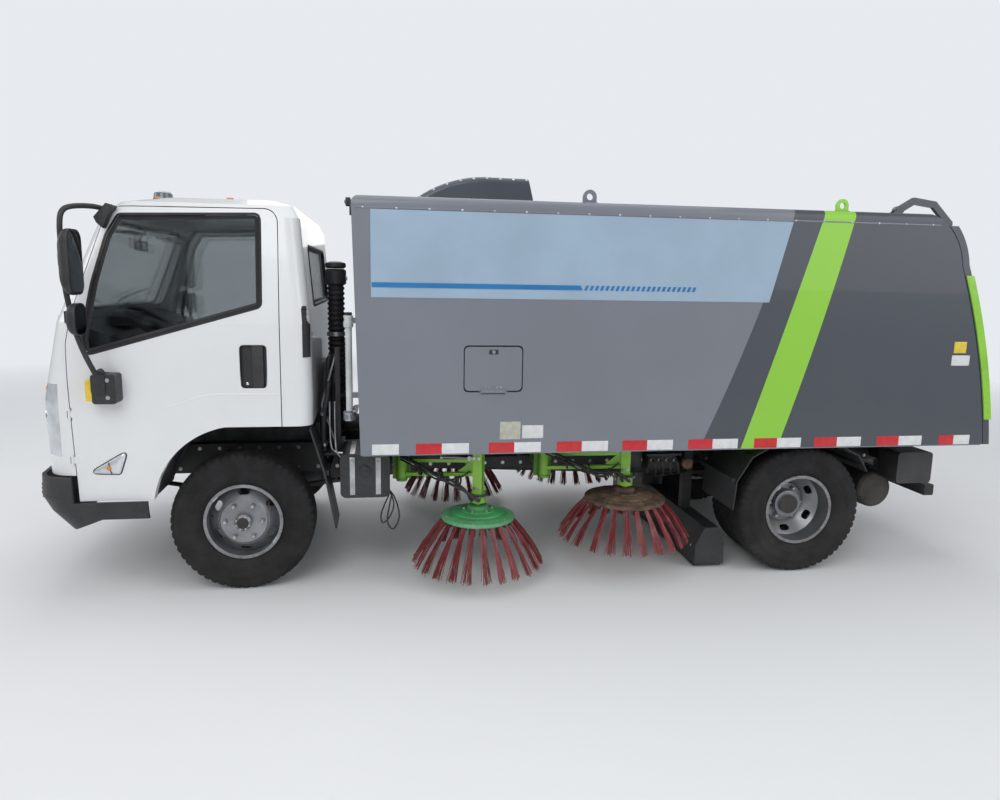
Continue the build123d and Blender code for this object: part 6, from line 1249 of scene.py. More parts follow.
for side, sign in SIDES:
    door = skin(f"door_{side}")
    out, way = Vector((0, sign, 0)), (0, -sign, 0)
    trim = Shape()
    line = smooth_path([Vector((fx(x), z, 0)) for x, z in CREASE], 6)
    rows = [[(p.x, sign, p.y + rise) for rise in (-0.010, -0.002, 0.001)] for p in line]
    drape(trim, door, rows, way, (0.0004, 0.0022, 0.0004))
    trim.piece(f"door_crease_{side}", cab_paint, f"{side}_door", "cab_white", 50)

    handle = Shape()
    ring = round_corners([(fx(x), z) for x, z in HANDLE_RECESS], 0.020)
    rim, deep = grown(ring, 0.004), grown(ring, -0.0015)
    base_y = touch(door, (fx(-0.100), sign, 1.405), way)[0].y * sign
    floor_y = touch(door, (fx(-0.050), sign, 1.280), way)[0].y * sign + 0.0030
    levels = ((deep, floor_y - 0.0025), (rim, base_y + 0.0005), (rim, base_y + 0.0022),
              (grown(ring, 0.001), base_y + 0.0034), (deep, base_y + 0.0010), (deep, floor_y))
    points = [(p.x, sign * y, p.y) for loop, y in levels for p in loop]
    handle.add(points, capped_faces(len(levels), len(ring)))
    pull_x = fx(-0.122)
    handle.block((pull_x - 0.030, sign * (base_y - 0.016), 1.1665),
                 (pull_x + 0.030, sign * (base_y + 0.001), 1.3935), 0, 0.006)
    handle.turned([(0.0, 0.0075), (0.002, 0.0075), (0.0032, 0.005)], (fx(-0.064), sign * floor_y, 1.188),
                  out, 20, 1)
    handle.piece(f"door_handle_{side}", (black_plastic, chrome), f"{side}_door", "black_plastic")

    lamp = Shape()
    corners = [Vector((fx(x), z)) for x, z in TURN_LAMP]
    lamp_ring = divide(round_corners(corners, 0.016, 4), 0.02)
    surface = [touch(door, (p.x, sign, p.y), way)[0] for p in lamp_ring]
    middle = sum(surface, Vector()) / len(surface)
    levels = ((0, -0.002), (0, 0.006), (0.14, 0.011), (0.45, 0.0145))
    points = [p.lerp(middle, share) + out * lift for share, lift in levels for p in surface]
    lamp.add(points, capped_faces(len(levels), len(surface)))
    lamp.turned([(0.0, 0.014), (0.004, 0.012), (0.006, 0.006)],
                middle + out * 0.0125 + Vector((0.010, 0, -0.006)), out, 18, 1)
    rim_rows = [[(p.x, sign, p.y), (q.x, sign, q.y)]
                for p, q in zip(grown(lamp_ring, 0.006), grown(lamp_ring, -0.001))]
    drape(lamp, door, rim_rows, way, (0.001, 0.0045), 2, closed=True)
    bar_rows = [[(fx(x), sign, z), (fx(x - 0.006), sign, z)] for x, z in ((0.640, 0.716), (0.652, 0.776))]
    drape(lamp, door, bar_rows, way, (0.0145, 0.0145), 2)
    lamp.piece(f"side_turn_lamp_{side}", (lens_clear, lens_amber, black_plastic), f"{side}_door", "lamp_lens")

    # Black vent strip with its slats down the cab's rear corner
    corner = skin("cab_rear", "cab_roof")
    vent = Shape()
    vent_rows = [[(x, sign, z) for x in (1.350, 1.332, 1.3125)] for z in spaced(1.330, 0.025, 12)]
    drape(vent, corner, vent_rows, way, (0.0015, 0.006, 0.0015))
    for z in spaced(1.348, 0.026, 10):
        slat = [[(x, sign, height) for x in (1.346, 1.330)] for height in (z, z + 0.008)]
        drape(vent, corner, slat, way, (0.0075, 0.0075), sink=-0.002)
    vent.piece(f"cab_vent_{side}", black_plastic, "cab", "black_plastic", 40)

    # Mirrors: bent tube, two domed heads with their glass, base with its yellow sticker, upper foot
    mirror = Shape()
    mirror.tube([(fx(x), sign * y, z) for x, y, z in MIRROR_TUBE], 0.013, 14, 0, 8)
    for back, width, head_low, head_high, depth in MIRROR_HEADS:
        add_mirror_head(mirror, fx(back), sign, width, head_low, head_high, depth)
    foot = [(fx(x) - fx(0.600), z - 2.05) for x, z in MIRROR_FOOT]
    mirror.plate(foot, (fx(0.600), sign * 0.855, 2.05), AHEAD, UP, -sign * 0.078)
    for x, z, wide, tall, thick in MIRROR_BASE:
        outline = rounded_outline(wide, tall, 0.016)
        mirror.plate(outline, (fx(x), sign * 0.925, z), AHEAD, UP, -sign * thick)
    mirror.block((fx(0.670), sign * 0.990, 1.116), (fx(0.708), sign * 1.046, 1.226), 2, 0.004)
    for z in (1.135, 1.225):
        mirror.bolt((fx(0.600), sign * 1.047, z), out, 0.007, 0.005, 3)
    mirror.turned([(0.0, 0.020), (0.010, 0.022), (0.030, 0.018)], (fx(0.632), sign * 1.020, 1.248),
                  (0.3, sign * 0.4, 1), 18)
    piece = mirror.piece(f"mirror_assembly_{side}", (black_plastic, mirror_glass, safety_yellow, bare_steel),
                         f"{side}_door", "black_plastic", 40)
    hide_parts(f"mirror_{side}")


# ---- Cab front: grille, scuttle, headlamp parts, wipers, fog lamps, plate, roof lamps

nose = skin("cab_front", "headlamps", "cab_roof")
bumper = skin("front_bumper")


def nose_rows(y_values, z_values):
    """Places on the cab's front for a draped band: one row for each Y, one column for each Z."""
    return [[(RAY_AHEAD, y, z) for z in z_values] for y in y_values]


def nose_band(half, z_values, lifts, slot=0):
    """Band across the grille's piece, as far to the left as to the right."""
    drape(grille, nose, nose_rows(spread(-half, half, 33), z_values), ASTERN, lifts, slot)


grille = Shape()
nose_band(0.560, (0.845, 0.850, 1.055, 1.060), (0.001, 0.004, 0.004, 0.001))
for z, slot in zip(spaced(0.868, 0.038, 5), (0, 0, 0, 0, 1)):
    nose_band(0.545, (z, z + 0.004, z + 0.018, z + 0.024), (0.003, 0.013, 0.011, 0.003), slot)
nose_band(0.800, (1.498, 1.502, 1.534, 1.538), (0.001, 0.006, 0.006, 0.001))
nose_band(0.640, (1.205, 1.208, 1.211), (0.0003, 0.0018, 0.0003), 2)
grille.piece("cab_grille", (black_plastic, chrome, cab_paint), "cab", "black_plastic", 40)

for side, sign in SIDES:
    lamp = Shape()
    for lamp_y, lamp_z, lamp_r in ((0.735, 1.075, 0.052), (0.720, 0.945, 0.050), (0.845, 1.010, 0.036)):
        radii = (lamp_r, lamp_r * 0.93, lamp_r * 0.84)
        rows = [[(RAY_AHEAD, sign * lamp_y + r * c, lamp_z + r * s) for r in radii] for c, s in around(28)]
        drape(lamp, nose, rows, ASTERN, (0.0006, 0.0035, 0.0006), closed=True)
        hit, normal = touch(nose, (RAY_AHEAD, sign * lamp_y, lamp_z), ASTERN)
        bulb = ((-0.002, 0.55), (0.001, 0.55), (0.0035, 0.38), (0.0045, 0.12))
        lamp.turned([(height, lamp_r * share) for height, share in bulb], hit, normal, 24, 1)
    rows = nose_rows([sign * y for y in spaced(0.690, 0.02, 10)], (1.150, 1.160, 1.176))
    drape(lamp, nose, rows, ASTERN, (0.0008, 0.003, 0.0008), 2)
    lamp.piece(f"headlamp_parts_{side}", (chrome, beacon_lens, lens_amber), "cab", "lamp_lens", 40)

    # Wiper: arm from the scuttle, blade lying on the glass
    glass = skin("cab_glass")
    wiper = Shape()
    start = touch(nose, (RAY_AHEAD, sign * 0.18, 1.518), ASTERN)[0] + Vector((0.012, 0, 0))
    blade = [touch(glass, (RAY_AHEAD, sign * (0.16 + 0.44 * t), 1.578 + 0.075 * t), ASTERN)
             for t in spread(0, 1, 9)]
    wiper.tube([hit + normal * 0.010 for hit, normal in blade], 0.0045, 8, 1, 2)
    wiper.tube([hit + normal * 0.018 for hit, normal in blade[1:8]], 0.0050, 8, 0, 2)
    knee = blade[4][0] + blade[4][1] * 0.024
    wiper.tube([start, start.lerp(knee, 0.5) + Vector((0.014, 0, 0)), knee], 0.0062, 8, 0, 5)
    wiper.turned([(-0.014, 0.017), (0.010, 0.016), (0.016, 0.010)], start, (0.7, 0, 0.7), 20)
    wiper.piece(f"wiper_{side}", (black_plastic, rubber), "cab", "black_plastic", 50)

    # Fog lamp and its surround in the bumper
    fog = Shape()
    hit, normal = touch(bumper, (RAY_AHEAD, sign * 0.700, 0.610), ASTERN)
    fog.turned([(-0.004, 0.060), (0.004, 0.060), (0.006, 0.056), (0.004, 0.048), (-0.004, 0.048)],
               hit, normal, 32, closed=True)
    fog.turned([(-0.004, 0.047), (0.001, 0.047), (0.0045, 0.034), (0.006, 0.012)], hit, normal, 28, 1)
    for z in spaced(0.575, 0.022, 4):
        rows = nose_rows([sign * y for y in spaced(0.800, 0.014, 7)], (z, z + 0.005, z + 0.010))
        drape(fog, bumper, rows, ASTERN, (0.0005, 0.004, 0.0005))
    fog.piece(f"fog_lamp_{side}", (black_plastic, lens_clear), "chassis", "lamp_lens")

plate = Shape()
face_x = touch(bumper, (RAY_AHEAD, 0.0, 0.520), ASTERN)[0].x
plate.plate(rounded_outline(0.440, 0.120, 0.010), (face_x - 0.004, 0.0, 0.505), LEFT, UP, 0.0058)
for y in (-0.16, 0.16):
    plate.bolt((face_x + 0.0012, y, 0.545), AHEAD, 0.005, 0.003, 1)
plate.piece("front_blank_plate", (label_white, bare_steel), "chassis", "black_plastic")

roof_lamps = Shape()
beacon_foot = (fx(0.560), 0, 2.1745)
roof_lamps.turned([(0.0, 0.050), (0.0, 0.0655), (0.006, 0.0665), (0.012, 0.0650), (0.018, 0.0632)],
                  beacon_foot, UP, 40, 1, closed=True)
profile = [(0.018, 0.0560), (0.018, 0.0628)]
for height in spaced(0.022, 0.0085, 7):
    radius = 0.0620 - 0.13 * (height - 0.018)
    profile += [(height, radius + 0.0012), (height + 0.004, radius - 0.0002)]
profile += [(0.0845, 0.048), (0.0900, 0.034), (0.0920, 0.010), (0.0875, 0.008), (0.0875, 0.030)]
roof_lamps.turned(profile, beacon_foot, UP, 40, closed=True)
cab_top = skin("cab_roof")
for x, y in ((0.44, 0.56), (0.44, -0.56), (0.05, 0.60), (0.05, -0.60)):
    hit = touch(cab_top, (fx(x), y, RAY_ABOVE), DOWN)[0]
    roof_lamps.block(hit + Vector((-0.024, -0.014, -0.002)), hit + Vector((0.024, 0.014, 0.012)), 1, 0.004)
    roof_lamps.block(hit + Vector((-0.019, -0.010, 0.010)), hit + Vector((0.019, 0.010, 0.021)), 2, 0.005)
roof_lamps.piece("cab_roof_lamps", (beacon_lens, black_plastic, lens_amber), "cab", "lamp_lens", 45)


# ---- Inside the cab: seats, dashboard parts, levers, wheel pad, visors

# Each row: name, distance of its middle to the left, width
SEATS = (("driver", 0.430, 0.470), ("middle", -0.090, 0.420), ("outer", -0.540, 0.420))


def cushion(name, low, high, crown, channels, matrix=None):
    """Crowned, closed cushion: its sides pull in between its corners, with sewn channels and piping."""
    low, high = Vector(low), Vector(high)
    half, centre = (high - low) / 2, (low + high) / 2
    steps = 16

    def pulled_in(u, v, w=0.0):
        """X and Y of a place on the cushion: its sides curve in between the corners."""
        fall = 1 - 0.05 * abs(w) ** 3
        return (u * math.sqrt(1 - 0.10 * v * v) * fall * (1 - 0.035 * (1 - v * v)) * half.x,
                v * math.sqrt(1 - 0.10 * u * u) * fall * (1 - 0.035 * (1 - u * u)) * half.y)

    edit = bmesh.new()
    bmesh.ops.create_cube(edit, size=2)
    bmesh.ops.subdivide_edges(edit, edges=list(edit.edges), cuts=steps - 1, use_grid_fill=True)
    for vertex in edit.verts:
        u, v, w = vertex.co
        edge_fall = (1 - 0.42 * abs(u) ** 5) * (1 - 0.42 * abs(v) ** 5)
        swell = (1 - crown) + crown * (1 - u * u) * (1 - v * v)
        groove = sum(math.exp(-((v - place) / 0.045) ** 2) for place in channels)
        height = w * edge_fall * swell
        if w > 0:
            height -= 0.13 * groove * w * (1 - max(abs(u), abs(v)) ** 8)
        vertex.co = Vector((*pulled_in(u, v, w), height * half.z)) + centre
    shape = Shape()
    shape.take(edit, 0, matrix)
    rim = []
    for c, s in around(64):
        scale = 1 / max(abs(c), abs(s)) ** 0.86
        x, y = pulled_in(max(-1, min(1, c * scale)), max(-1, min(1, s * scale)))
        point = Vector((x * 0.985, y * 0.985, half.z * 0.30)) + centre
        rim.append(matrix @ point if matrix else point)
    shape.tube(rim + [rim[0]], 0.0035, 6, 0, 1)
    piece = shape.piece(name, seat_cloth, "cab", "seat_cloth", 70)
    return piece


for name, seat_y, width in SEATS:
    base = cushion(f"{name}_seat_cushion", (1.535, seat_y - width / 2 + 0.006, 1.092),
                   (1.990, seat_y + width / 2 - 0.006, 1.222), 0.16, (-0.5, 0.5))
    if name == "driver":
        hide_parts("seats")
    lean = Matrix.Translation((1.560, seat_y, 1.195)) @ Matrix.Rotation(math.radians(-98), 4, "Y")
    cushion(f"{name}_seat_back", (0.010, -width / 2 + 0.008, -0.062), (0.370, width / 2 - 0.008, 0.050), 0.18,
            (-0.5, 0.5), lean)
    head = Matrix.Translation((1.512, seat_y, 1.590)) @ Matrix.Rotation(math.radians(-95), 4, "Y")
    cushion(f"{name}_headrest", (0.010, -0.130, -0.048), (0.140, 0.130, 0.040), 0.20, (), head)
    stand = Shape()
    stand.block((1.500, seat_y - width / 2 + 0.03, 0.9925), (1.960, seat_y + width / 2 - 0.03, 1.090),
                0, 0.012)
    for sign in (-1, 1):
        post_y = seat_y + sign * 0.055
        stand.rod((1.512, post_y, 1.545), (1.506, post_y, 1.615), 0.006, 10, 1)
        stand.turned([(-0.012, 0.030), (-0.006, 0.034), (0.006, 0.034), (0.012, 0.030)],
                     (1.560, seat_y + sign * (width / 2 - 0.016), 1.175), LEFT, 24)
    stand.piece(f"{name}_seat_stand", (dash_dark, chrome), "cab", "dash_plastic")

dash = skin("dashboard")
dash_trim = Shape()
# Instrument hood, screen, vents and the shelf's edge
hood = [(-0.150, 0.0), (-0.140, 0.050), (-0.090, 0.075), (0.090, 0.075), (0.140, 0.050), (0.150, 0.0)]
dash_trim.plate(hood, (2.330, 0.430, 1.470), LEFT, UP, 0.120)
dash_trim.plate([(x * 0.86, z * 0.84 + 0.004) for x, z in hood], (2.3285, 0.430, 1.470), LEFT, UP, 0.004, 1)
for y, radius in ((0.375, 0.030), (0.485, 0.030)):
    dash_trim.ring(0.0, 0.004, radius * 0.86, radius, (2.3275, y, 1.504), ASTERN, 28, 2)
    dash_trim.rod((2.3262, y, 1.504), (2.3262, y + 0.016, 1.517), 0.0012, 6, 3)


def dash_block(y, z, low, high, slot, bevel):
    """Block on the dashboard's rear face, from corners given from the place that it sits on."""
    hit = touch(dash, (1.9, y, z), AHEAD)[0]
    dash_trim.block(hit + Vector(low), hit + Vector(high), slot, bevel)


for y in (0.120, -0.020, -0.560, 0.760):
    for z in spaced(1.385, 0.011, 5):
        dash_block(y, z, (-0.006, -0.050, -0.0025), (0.002, 0.050, 0.0025), 0, 0.001)
dash_block(0.050, 1.300, (-0.014, -0.090, -0.045), (0.004, 0.090, 0.045), 0, 0.004)
dash_block(0.050, 1.300, (-0.0155, -0.082, -0.037), (-0.010, 0.082, 0.037), 1, 0.002)
dash_block(-0.520, 1.290, (-0.006, -0.190, -0.060), (0.004, 0.190, 0.060), 4, 0.006)
dash_block(-0.520, 1.290, (-0.012, -0.030, 0.030), (-0.004, 0.030, 0.042), 0, 0.003)
dash_trim.piece("dashboard_parts", (dash_dark, beacon_lens, chrome, marking_red, dash_plastic), "cab",
                "dash_plastic")

levers = Shape()
levers.turned([(0.0, 0.075), (0.012, 0.072), (0.060, 0.030), (0.075, 0.014)], (2.060, 0.130, 0.992), UP, 24)
levers.rod((2.060, 0.130, 1.060), (2.020, 0.135, 1.290), 0.008, 12, 1)
levers.turned([(0.0, 0.010), (0.010, 0.022), (0.030, 0.026), (0.048, 0.020), (0.056, 0.006)],
              (2.021, 0.135, 1.282), (-0.17, 0.02, 0.98), 20)
for y in (0.540, 0.320):
    levers.rod((2.262, 0.430, 1.415), (2.190, y, 1.440), 0.006, 10)
for y in (0.560, 0.470, 0.330):
    levers.block((2.420, y - 0.028, 0.872), (2.436, y + 0.028, 0.945), 2, 0.004)
    levers.rod((2.430, y, 0.900), (2.520, y, 0.960), 0.007, 8, 1)
levers.piece("cab_levers_and_pedals", (dash_dark, bare_steel, rubber), "cab", "dash_plastic")

# Pad in the middle of the steering wheel, and the bands of the rim's sewn cover
STEER_AXIS = Vector((-0.57358, 0, 0.81915))
STEER_CENTRE = Vector((fx(0.505), 0.430, 1.450))
STEER_RIM_RADIUS = 0.212
STITCH_COUNT = 36
wheel_pad = Shape()
wheel_pad.turned([(-0.006, 0.052), (0.010, 0.070), (0.020, 0.068), (0.027, 0.052), (0.030, 0.020)],
                 STEER_CENTRE, STEER_AXIS, 36)
for c, s in around(STITCH_COUNT):
    across = Vector(LEFT) * c + STEER_AXIS.cross(Vector(LEFT)) * s
    wheel_pad.ring(-0.006, 0.006, 0.0148, 0.0162, STEER_CENTRE + across * STEER_RIM_RADIUS,
                   STEER_AXIS.cross(across), 14)
wheel_pad.piece("steering_wheel_pad", dash_dark, "steering_wheel", "dash_plastic", 40)

inside = Shape()
inside.block((2.405, -0.115, 1.900), (2.425, 0.115, 1.965), 0, 0.008)
inside.block((2.402, -0.105, 1.907), (2.4065, 0.105, 1.958), 1, 0.003)
inside.tube([(2.420, 0, 1.960), (2.405, 0, 1.995), (2.375, 0, 2.030)], 0.007, 8)
for y in (0.420, -0.420):
    inside.block((2.300, y - 0.170, 1.985), (2.400, y + 0.170, 1.997), 2, 0.006)
    inside.rod((2.398, y - 0.150, 1.998), (2.398, y + 0.150, 1.998), 0.005, 8)
inside.piece("cab_mirror_and_visors", (dash_dark, mirror_glass, lining), "cab", "dash_plastic")


# ---- Between the cab and the body: oil tank, cooler, hoses, air intake

FAN_CENTRE = (0.325, 1.000)

behind = Shape()
behind.block((1.165, -0.500, 0.748), (1.285, 0.020, 1.170), 0, 0.018)
behind.block((1.170, -0.470, 1.168), (1.280, -0.010, 1.184), 0, 0.006)
for y in (-0.400, -0.120):
    behind.turned([(-0.002, 0.034), (0.012, 0.036), (0.030, 0.036), (0.036, 0.030)], (1.225, y, 1.182),
                  UP, 24, 1)
    behind.block((1.160, y - 0.012, 0.748), (1.290, y + 0.012, 1.188), 1, 0.004)
behind.turned([(0.0, 0.042), (0.010, 0.046), (0.150, 0.046), (0.165, 0.036)], (1.225, -0.260, 1.182),
              UP, 28, 2)
# Cooler core with its fins, in a frame on two posts
behind.block((1.190, 0.090, 0.800), (1.250, 0.560, 1.200), 3, 0.004)
for z in spaced(0.812, 0.0129, 30):
    for x in (1.186, 1.250):
        behind.block((x, 0.104, z), (x + 0.004, 0.546, z + 0.006), 3, 0.001)
for y_low, y_high in ((0.078, 0.100), (0.550, 0.572)):
    behind.block((1.180, y_low, 0.746), (1.260, y_high, 1.216), 0, 0.004)
behind.block((1.180, 0.078, 1.200), (1.260, 0.572, 1.218), 0, 0.004)
behind.ring(0.0, 0.024, 0.170, 0.182, (1.256, *FAN_CENTRE), AHEAD, 48)
for c, s in around(7):
    arm = Vector((0, c, s))
    behind.plate([(0.030, -0.016), (0.160, -0.034), (0.164, 0.010), (0.030, 0.014)], (1.266, *FAN_CENTRE),
                 arm, Vector((0.34, 0, 0)) + Vector(AHEAD).cross(arm) * 0.94, 0.003, 1)
behind.turned([(0.0, 0.036), (0.006, 0.042), (0.020, 0.040), (0.024, 0.020)], (1.258, *FAN_CENTRE), AHEAD, 24)
# Post and braces beside the body's corner
behind.block((1.170, 0.640, 0.746), (1.200, 0.670, 1.360), 0, 0.004)
behind.rod((1.188, 0.655, 1.345), (1.278, 0.655, 1.020), 0.008, 12, 4)
behind.rod((1.278, 0.655, 1.026), (1.200, 0.655, 0.790), 0.008, 12, 4)
behind.block((1.165, -0.720, 0.746), (1.195, -0.690, 1.260), 0, 0.004)
for y in (0.600, -0.600):
    behind.block((1.165, y * 0.4, 0.736), (1.300, y * 1.2, 0.750), 0, 0.003)
behind.piece("oil_tank_and_cooler", (chassis_paint, black_plastic, label_white, cast_metal, bare_steel),
             "chassis", "chassis_black", 40)

# Hoses from the frame up to the body: distance to the left, height of the bend, radius
GAP_HOSES = ((0.600, 1.30, 0.016), (0.628, 1.22, 0.013), (0.700, 1.16, 0.015),
             (-0.560, 1.10, 0.016), (-0.640, 1.02, 0.013), (0.045, 1.12, 0.017))
lines = Shape()
for y, top_z, radius in GAP_HOSES:
    turn = -0.10 if y > 0 else 0.08
    lines.tube([(1.262, y, 0.760), (1.268, y, 0.86), (1.258, y + 0.010, 1.00),
                (1.245, y - 0.006, top_z - 0.10), (1.235, y + turn * 0.3, top_z - 0.01),
                (1.222, y + turn, top_z - 0.03), (1.215, y + turn * 1.2, top_z - 0.12)], radius, 12, 0, 5)
    for z in (0.80, 0.98):
        lines.ring(-0.008, 0.008, radius, radius + 0.005, (1.264, y + 0.003, z), UP, 16, 1)
# Two thin steel pipes down the corner and back under the body, and a loop of wiring
for shift in (0.0, 0.028):
    lines.tube([(1.225 - shift, 0.760, 1.060), (1.225 - shift, 0.760, 0.840 - shift),
                (1.205 - shift, 0.760, 0.772 - shift), (1.130, 0.762, 0.757 - shift),
                (0.980, 0.764, 0.754 - shift), (0.900, 0.700, 0.752 - shift)], 0.006, 8, 2, 5)
for points in (((0.880, 0.820, 0.520), (0.905, 0.800, 0.360), (0.870, 0.780, 0.300), (0.835, 0.760, 0.370),
                (0.860, 0.740, 0.475), (0.905, 0.735, 0.540)),
               ((0.886, 0.780, 0.530), (0.940, 0.790, 0.400), (0.930, 0.800, 0.345), (0.885, 0.790, 0.390),
                (0.868, 0.760, 0.460), (0.910, 0.740, 0.560))):
    lines.tube(points, 0.0045, 8, 0, 6)
lines.piece("cab_gap_hoses", (hose_black, bare_steel, bare_steel), "chassis", "black_plastic", 55)

# Air intake on the body's front wall
INTAKE_X, INTAKE_Y = 1.208, 0.300
INTAKE_FOLD = 0.031
intake = Shape()
for z in spaced(0.905, INTAKE_FOLD, 26):
    intake.turned([(0.0, 0.046), (0.008, 0.053), (0.016, 0.053), (0.024, 0.046), (INTAKE_FOLD, 0.0462)],
                  (INTAKE_X, INTAKE_Y, z), UP, 24)
intake.turned([(0.0, 0.048), (0.010, 0.064), (0.090, 0.064), (0.100, 0.050)],
              (INTAKE_X, INTAKE_Y, 1.710), UP, 28, 1)
intake.turned([(0.0, 0.050), (0.008, 0.062), (0.022, 0.064), (0.034, 0.058), (0.042, 0.030)],
              (INTAKE_X, INTAKE_Y, 1.812), UP, 32, 1)
for z in (1.020, 1.400, 1.740):
    intake.block((1.138, INTAKE_Y - 0.015, z), (1.160, INTAKE_Y + 0.015, z + 0.026), 2, 0.003)
    intake.ring(-0.003, 0.023, 0.054, 0.0585, (INTAKE_X, INTAKE_Y, z + 0.003), UP, 28, 2)
intake.tube([(INTAKE_X, INTAKE_Y, 0.930), (1.200, INTAKE_Y, 0.880), (1.165, 0.290, 0.850),
             (1.100, 0.280, 0.842), (0.960, 0.270, 0.870)], 0.048, 20)
intake.piece("air_intake", (hose_black, black_plastic, bare_steel), "hopper", "black_plastic", 40)


# ---- Chassis: rails, springs, dampers, brakes, tanks, valves

RAIL_FACE_Y = 0.375
SPRING_Y = 0.3475
DAMPER_Y = 0.412

rails = skin("frame_rails")
hung = Shape()
for sign in (1, -1):
    for x in spaced(2.50, -0.117, 44):
        for z in (0.588, 0.712):
            hit = touch(rails, (x, sign, z), (0, -sign, 0))[0]
            if abs(hit.y) > RAIL_FACE_Y:
                hung.bolt(hit, (0, sign, 0), 0.0075, 0.006, 1)
    # Wiring and air pipes clipped along the rail
    for row, (z, radius) in enumerate(((0.678, 0.013), (0.646, 0.006), (0.632, 0.006))):
        hung.tube([(x, sign * (0.384 + radius), z + 0.004 * math.sin(x * 7 + row))
                   for x in spaced(1.10, -0.30, 12)], radius, 8, 2, 3)
    for x in spaced(1.02, -0.32, 11):
        hung.block((x - 0.010, sign * 0.378, 0.622), (x + 0.010, sign * 0.413, 0.696), 3, 0.003)
hung.piece("rail_bolts_and_wiring", (chassis_paint, bare_steel, hose_black, black_plastic), "chassis",
           "chassis_black", 45)

running = Shape()
for axle, axle_x, lean in (("front_axle", FRONT_AXLE_X, 0.16), ("rear_axle", REAR_AXLE_X, -0.17)):
    tree = skin(axle)
    for sign in (1, -1):
        spring_y = sign * SPRING_Y
        # U bolts over the axle seat, with their nuts
        for x in (axle_x - 0.052, axle_x + 0.052):
            top = touch(tree, (x, spring_y, 1.0), DOWN)[0].z
            foot = touch(tree, (x, spring_y, 0.0), UP)[0].z
            for y in (spring_y - 0.037, spring_y + 0.037):
                running.rod((x, y, foot - 0.022), (x, y, top + 0.004), 0.0065, 10, 1)
                running.turned([(0.0, 0.012), (0.010, 0.012), (0.012, 0.009)], (x, y, foot - 0.016), UP, 6, 1)
            running.tube([(x, spring_y - 0.037, top), (x, spring_y - 0.030, top + 0.007),
                          (x, spring_y + 0.030, top + 0.007), (x, spring_y + 0.037, top)], 0.0065, 8, 1, 3)
        # Spring clips
        for x in (axle_x - 0.26, axle_x + 0.26):
            top = touch(tree, (x, spring_y, 1.0), DOWN)[0].z
            foot = touch(tree, (x, spring_y, 0.0), UP)[0].z
            running.block((x - 0.014, spring_y - 0.034, foot - 0.004),
                          (x + 0.014, spring_y + 0.034, top + 0.004), 0, 0.003)
        # Damper from the rail to the axle, leaning
        low = Vector((axle_x + lean * 0.4, sign * DAMPER_Y, 0.395))
        high = Vector((axle_x + lean, sign * DAMPER_Y, 0.690))
        way = (high - low).normalized()
        running.rod(low, high, 0.009, 12, 1)
        running.rod(low + way * 0.02, low.lerp(high, 0.50), 0.019, 20)
        running.rod(low.lerp(high, 0.42), high - way * 0.02, 0.023, 20)
        for eye in (low, high):
            running.ring(-0.020, 0.020, 0.008, 0.017, eye, LEFT, 18, 2)
        running.rod(high - Vector((0, sign * 0.036, 0)), high + Vector((0, sign * 0.018, 0)), 0.0075, 10, 1)
    # Brake chambers behind the rear axle beam
    if axle == "rear_axle":
        for sign in (1, -1):
            place = Vector((axle_x + 0.155, sign * 0.230, 0.430))
            running.turned([(-0.060, 0.030), (-0.052, 0.058), (-0.010, 0.060), (-0.008, 0.066),
                            (0.008, 0.066), (0.010, 0.060), (0.046, 0.056), (0.054, 0.030)],
                           place, (0.10, sign, 0.25), 28)
            running.tube([place + Vector((0, -sign * 0.05, 0.03)), place + Vector((0.03, -sign * 0.10, 0.12)),
                          place + Vector((0.02, sign * 0.06, 0.20)), (axle_x + 0.16, sign * 0.388, 0.640)],
                         0.007, 8, 2, 5)
running.piece("springs_dampers_and_brakes", (chassis_paint, bare_steel, rubber), "chassis", "axle_black", 45)

straps = Shape()
for sign, y_low, y_high, z_low, z_high in ((1, 0.478, 0.862, 0.519, 0.772), (-1, 0.440, 0.862, 0.470, 0.768)):
    middle_y, middle_z = sign * (y_low + y_high) / 2, (z_low + z_high) / 2
    out = (0, sign, 0)
    for x in (0.955, 1.100):
        ring = rounded_outline(y_high - y_low + 0.004, z_high - z_low + 0.004, 0.030)
        inner = rounded_outline(y_high - y_low - 0.002, z_high - z_low - 0.002, 0.028)
        loops = ((ring, -0.014), (ring, 0.014), (inner, 0.014), (inner, -0.014))
        points = [(x + shift, middle_y + a, middle_z + b) for loop, shift in loops for a, b in loop]
        straps.add(points, loop_faces(4, len(ring), True))
        straps.bolt((x, sign * (y_high + 0.002), z_high - 0.045), out, 0.008, 0.012, 1)
    cap = Vector((1.030, sign * (y_high - 0.002), middle_z + 0.030))
    straps.turned([(0.0, 0.040), (0.003, 0.040), (0.004, 0.032), (0.014, 0.031), (0.017, 0.026)],
                  cap, out, 28, 2)
    straps.block(cap - Vector((0.022, 0, 0.006)), cap + Vector((0.022, sign * 0.021, 0.006)), 2, 0.003)
    straps.turned([(-0.004, 0.013), (0.004, 0.013), (0.010, 0.010)], (0.930, middle_y, z_low + 0.001),
                  DOWN, 6, 1)
straps.piece("tank_straps_and_caps", (bare_steel, bare_steel, black_plastic), "chassis", "tank_black", 45)

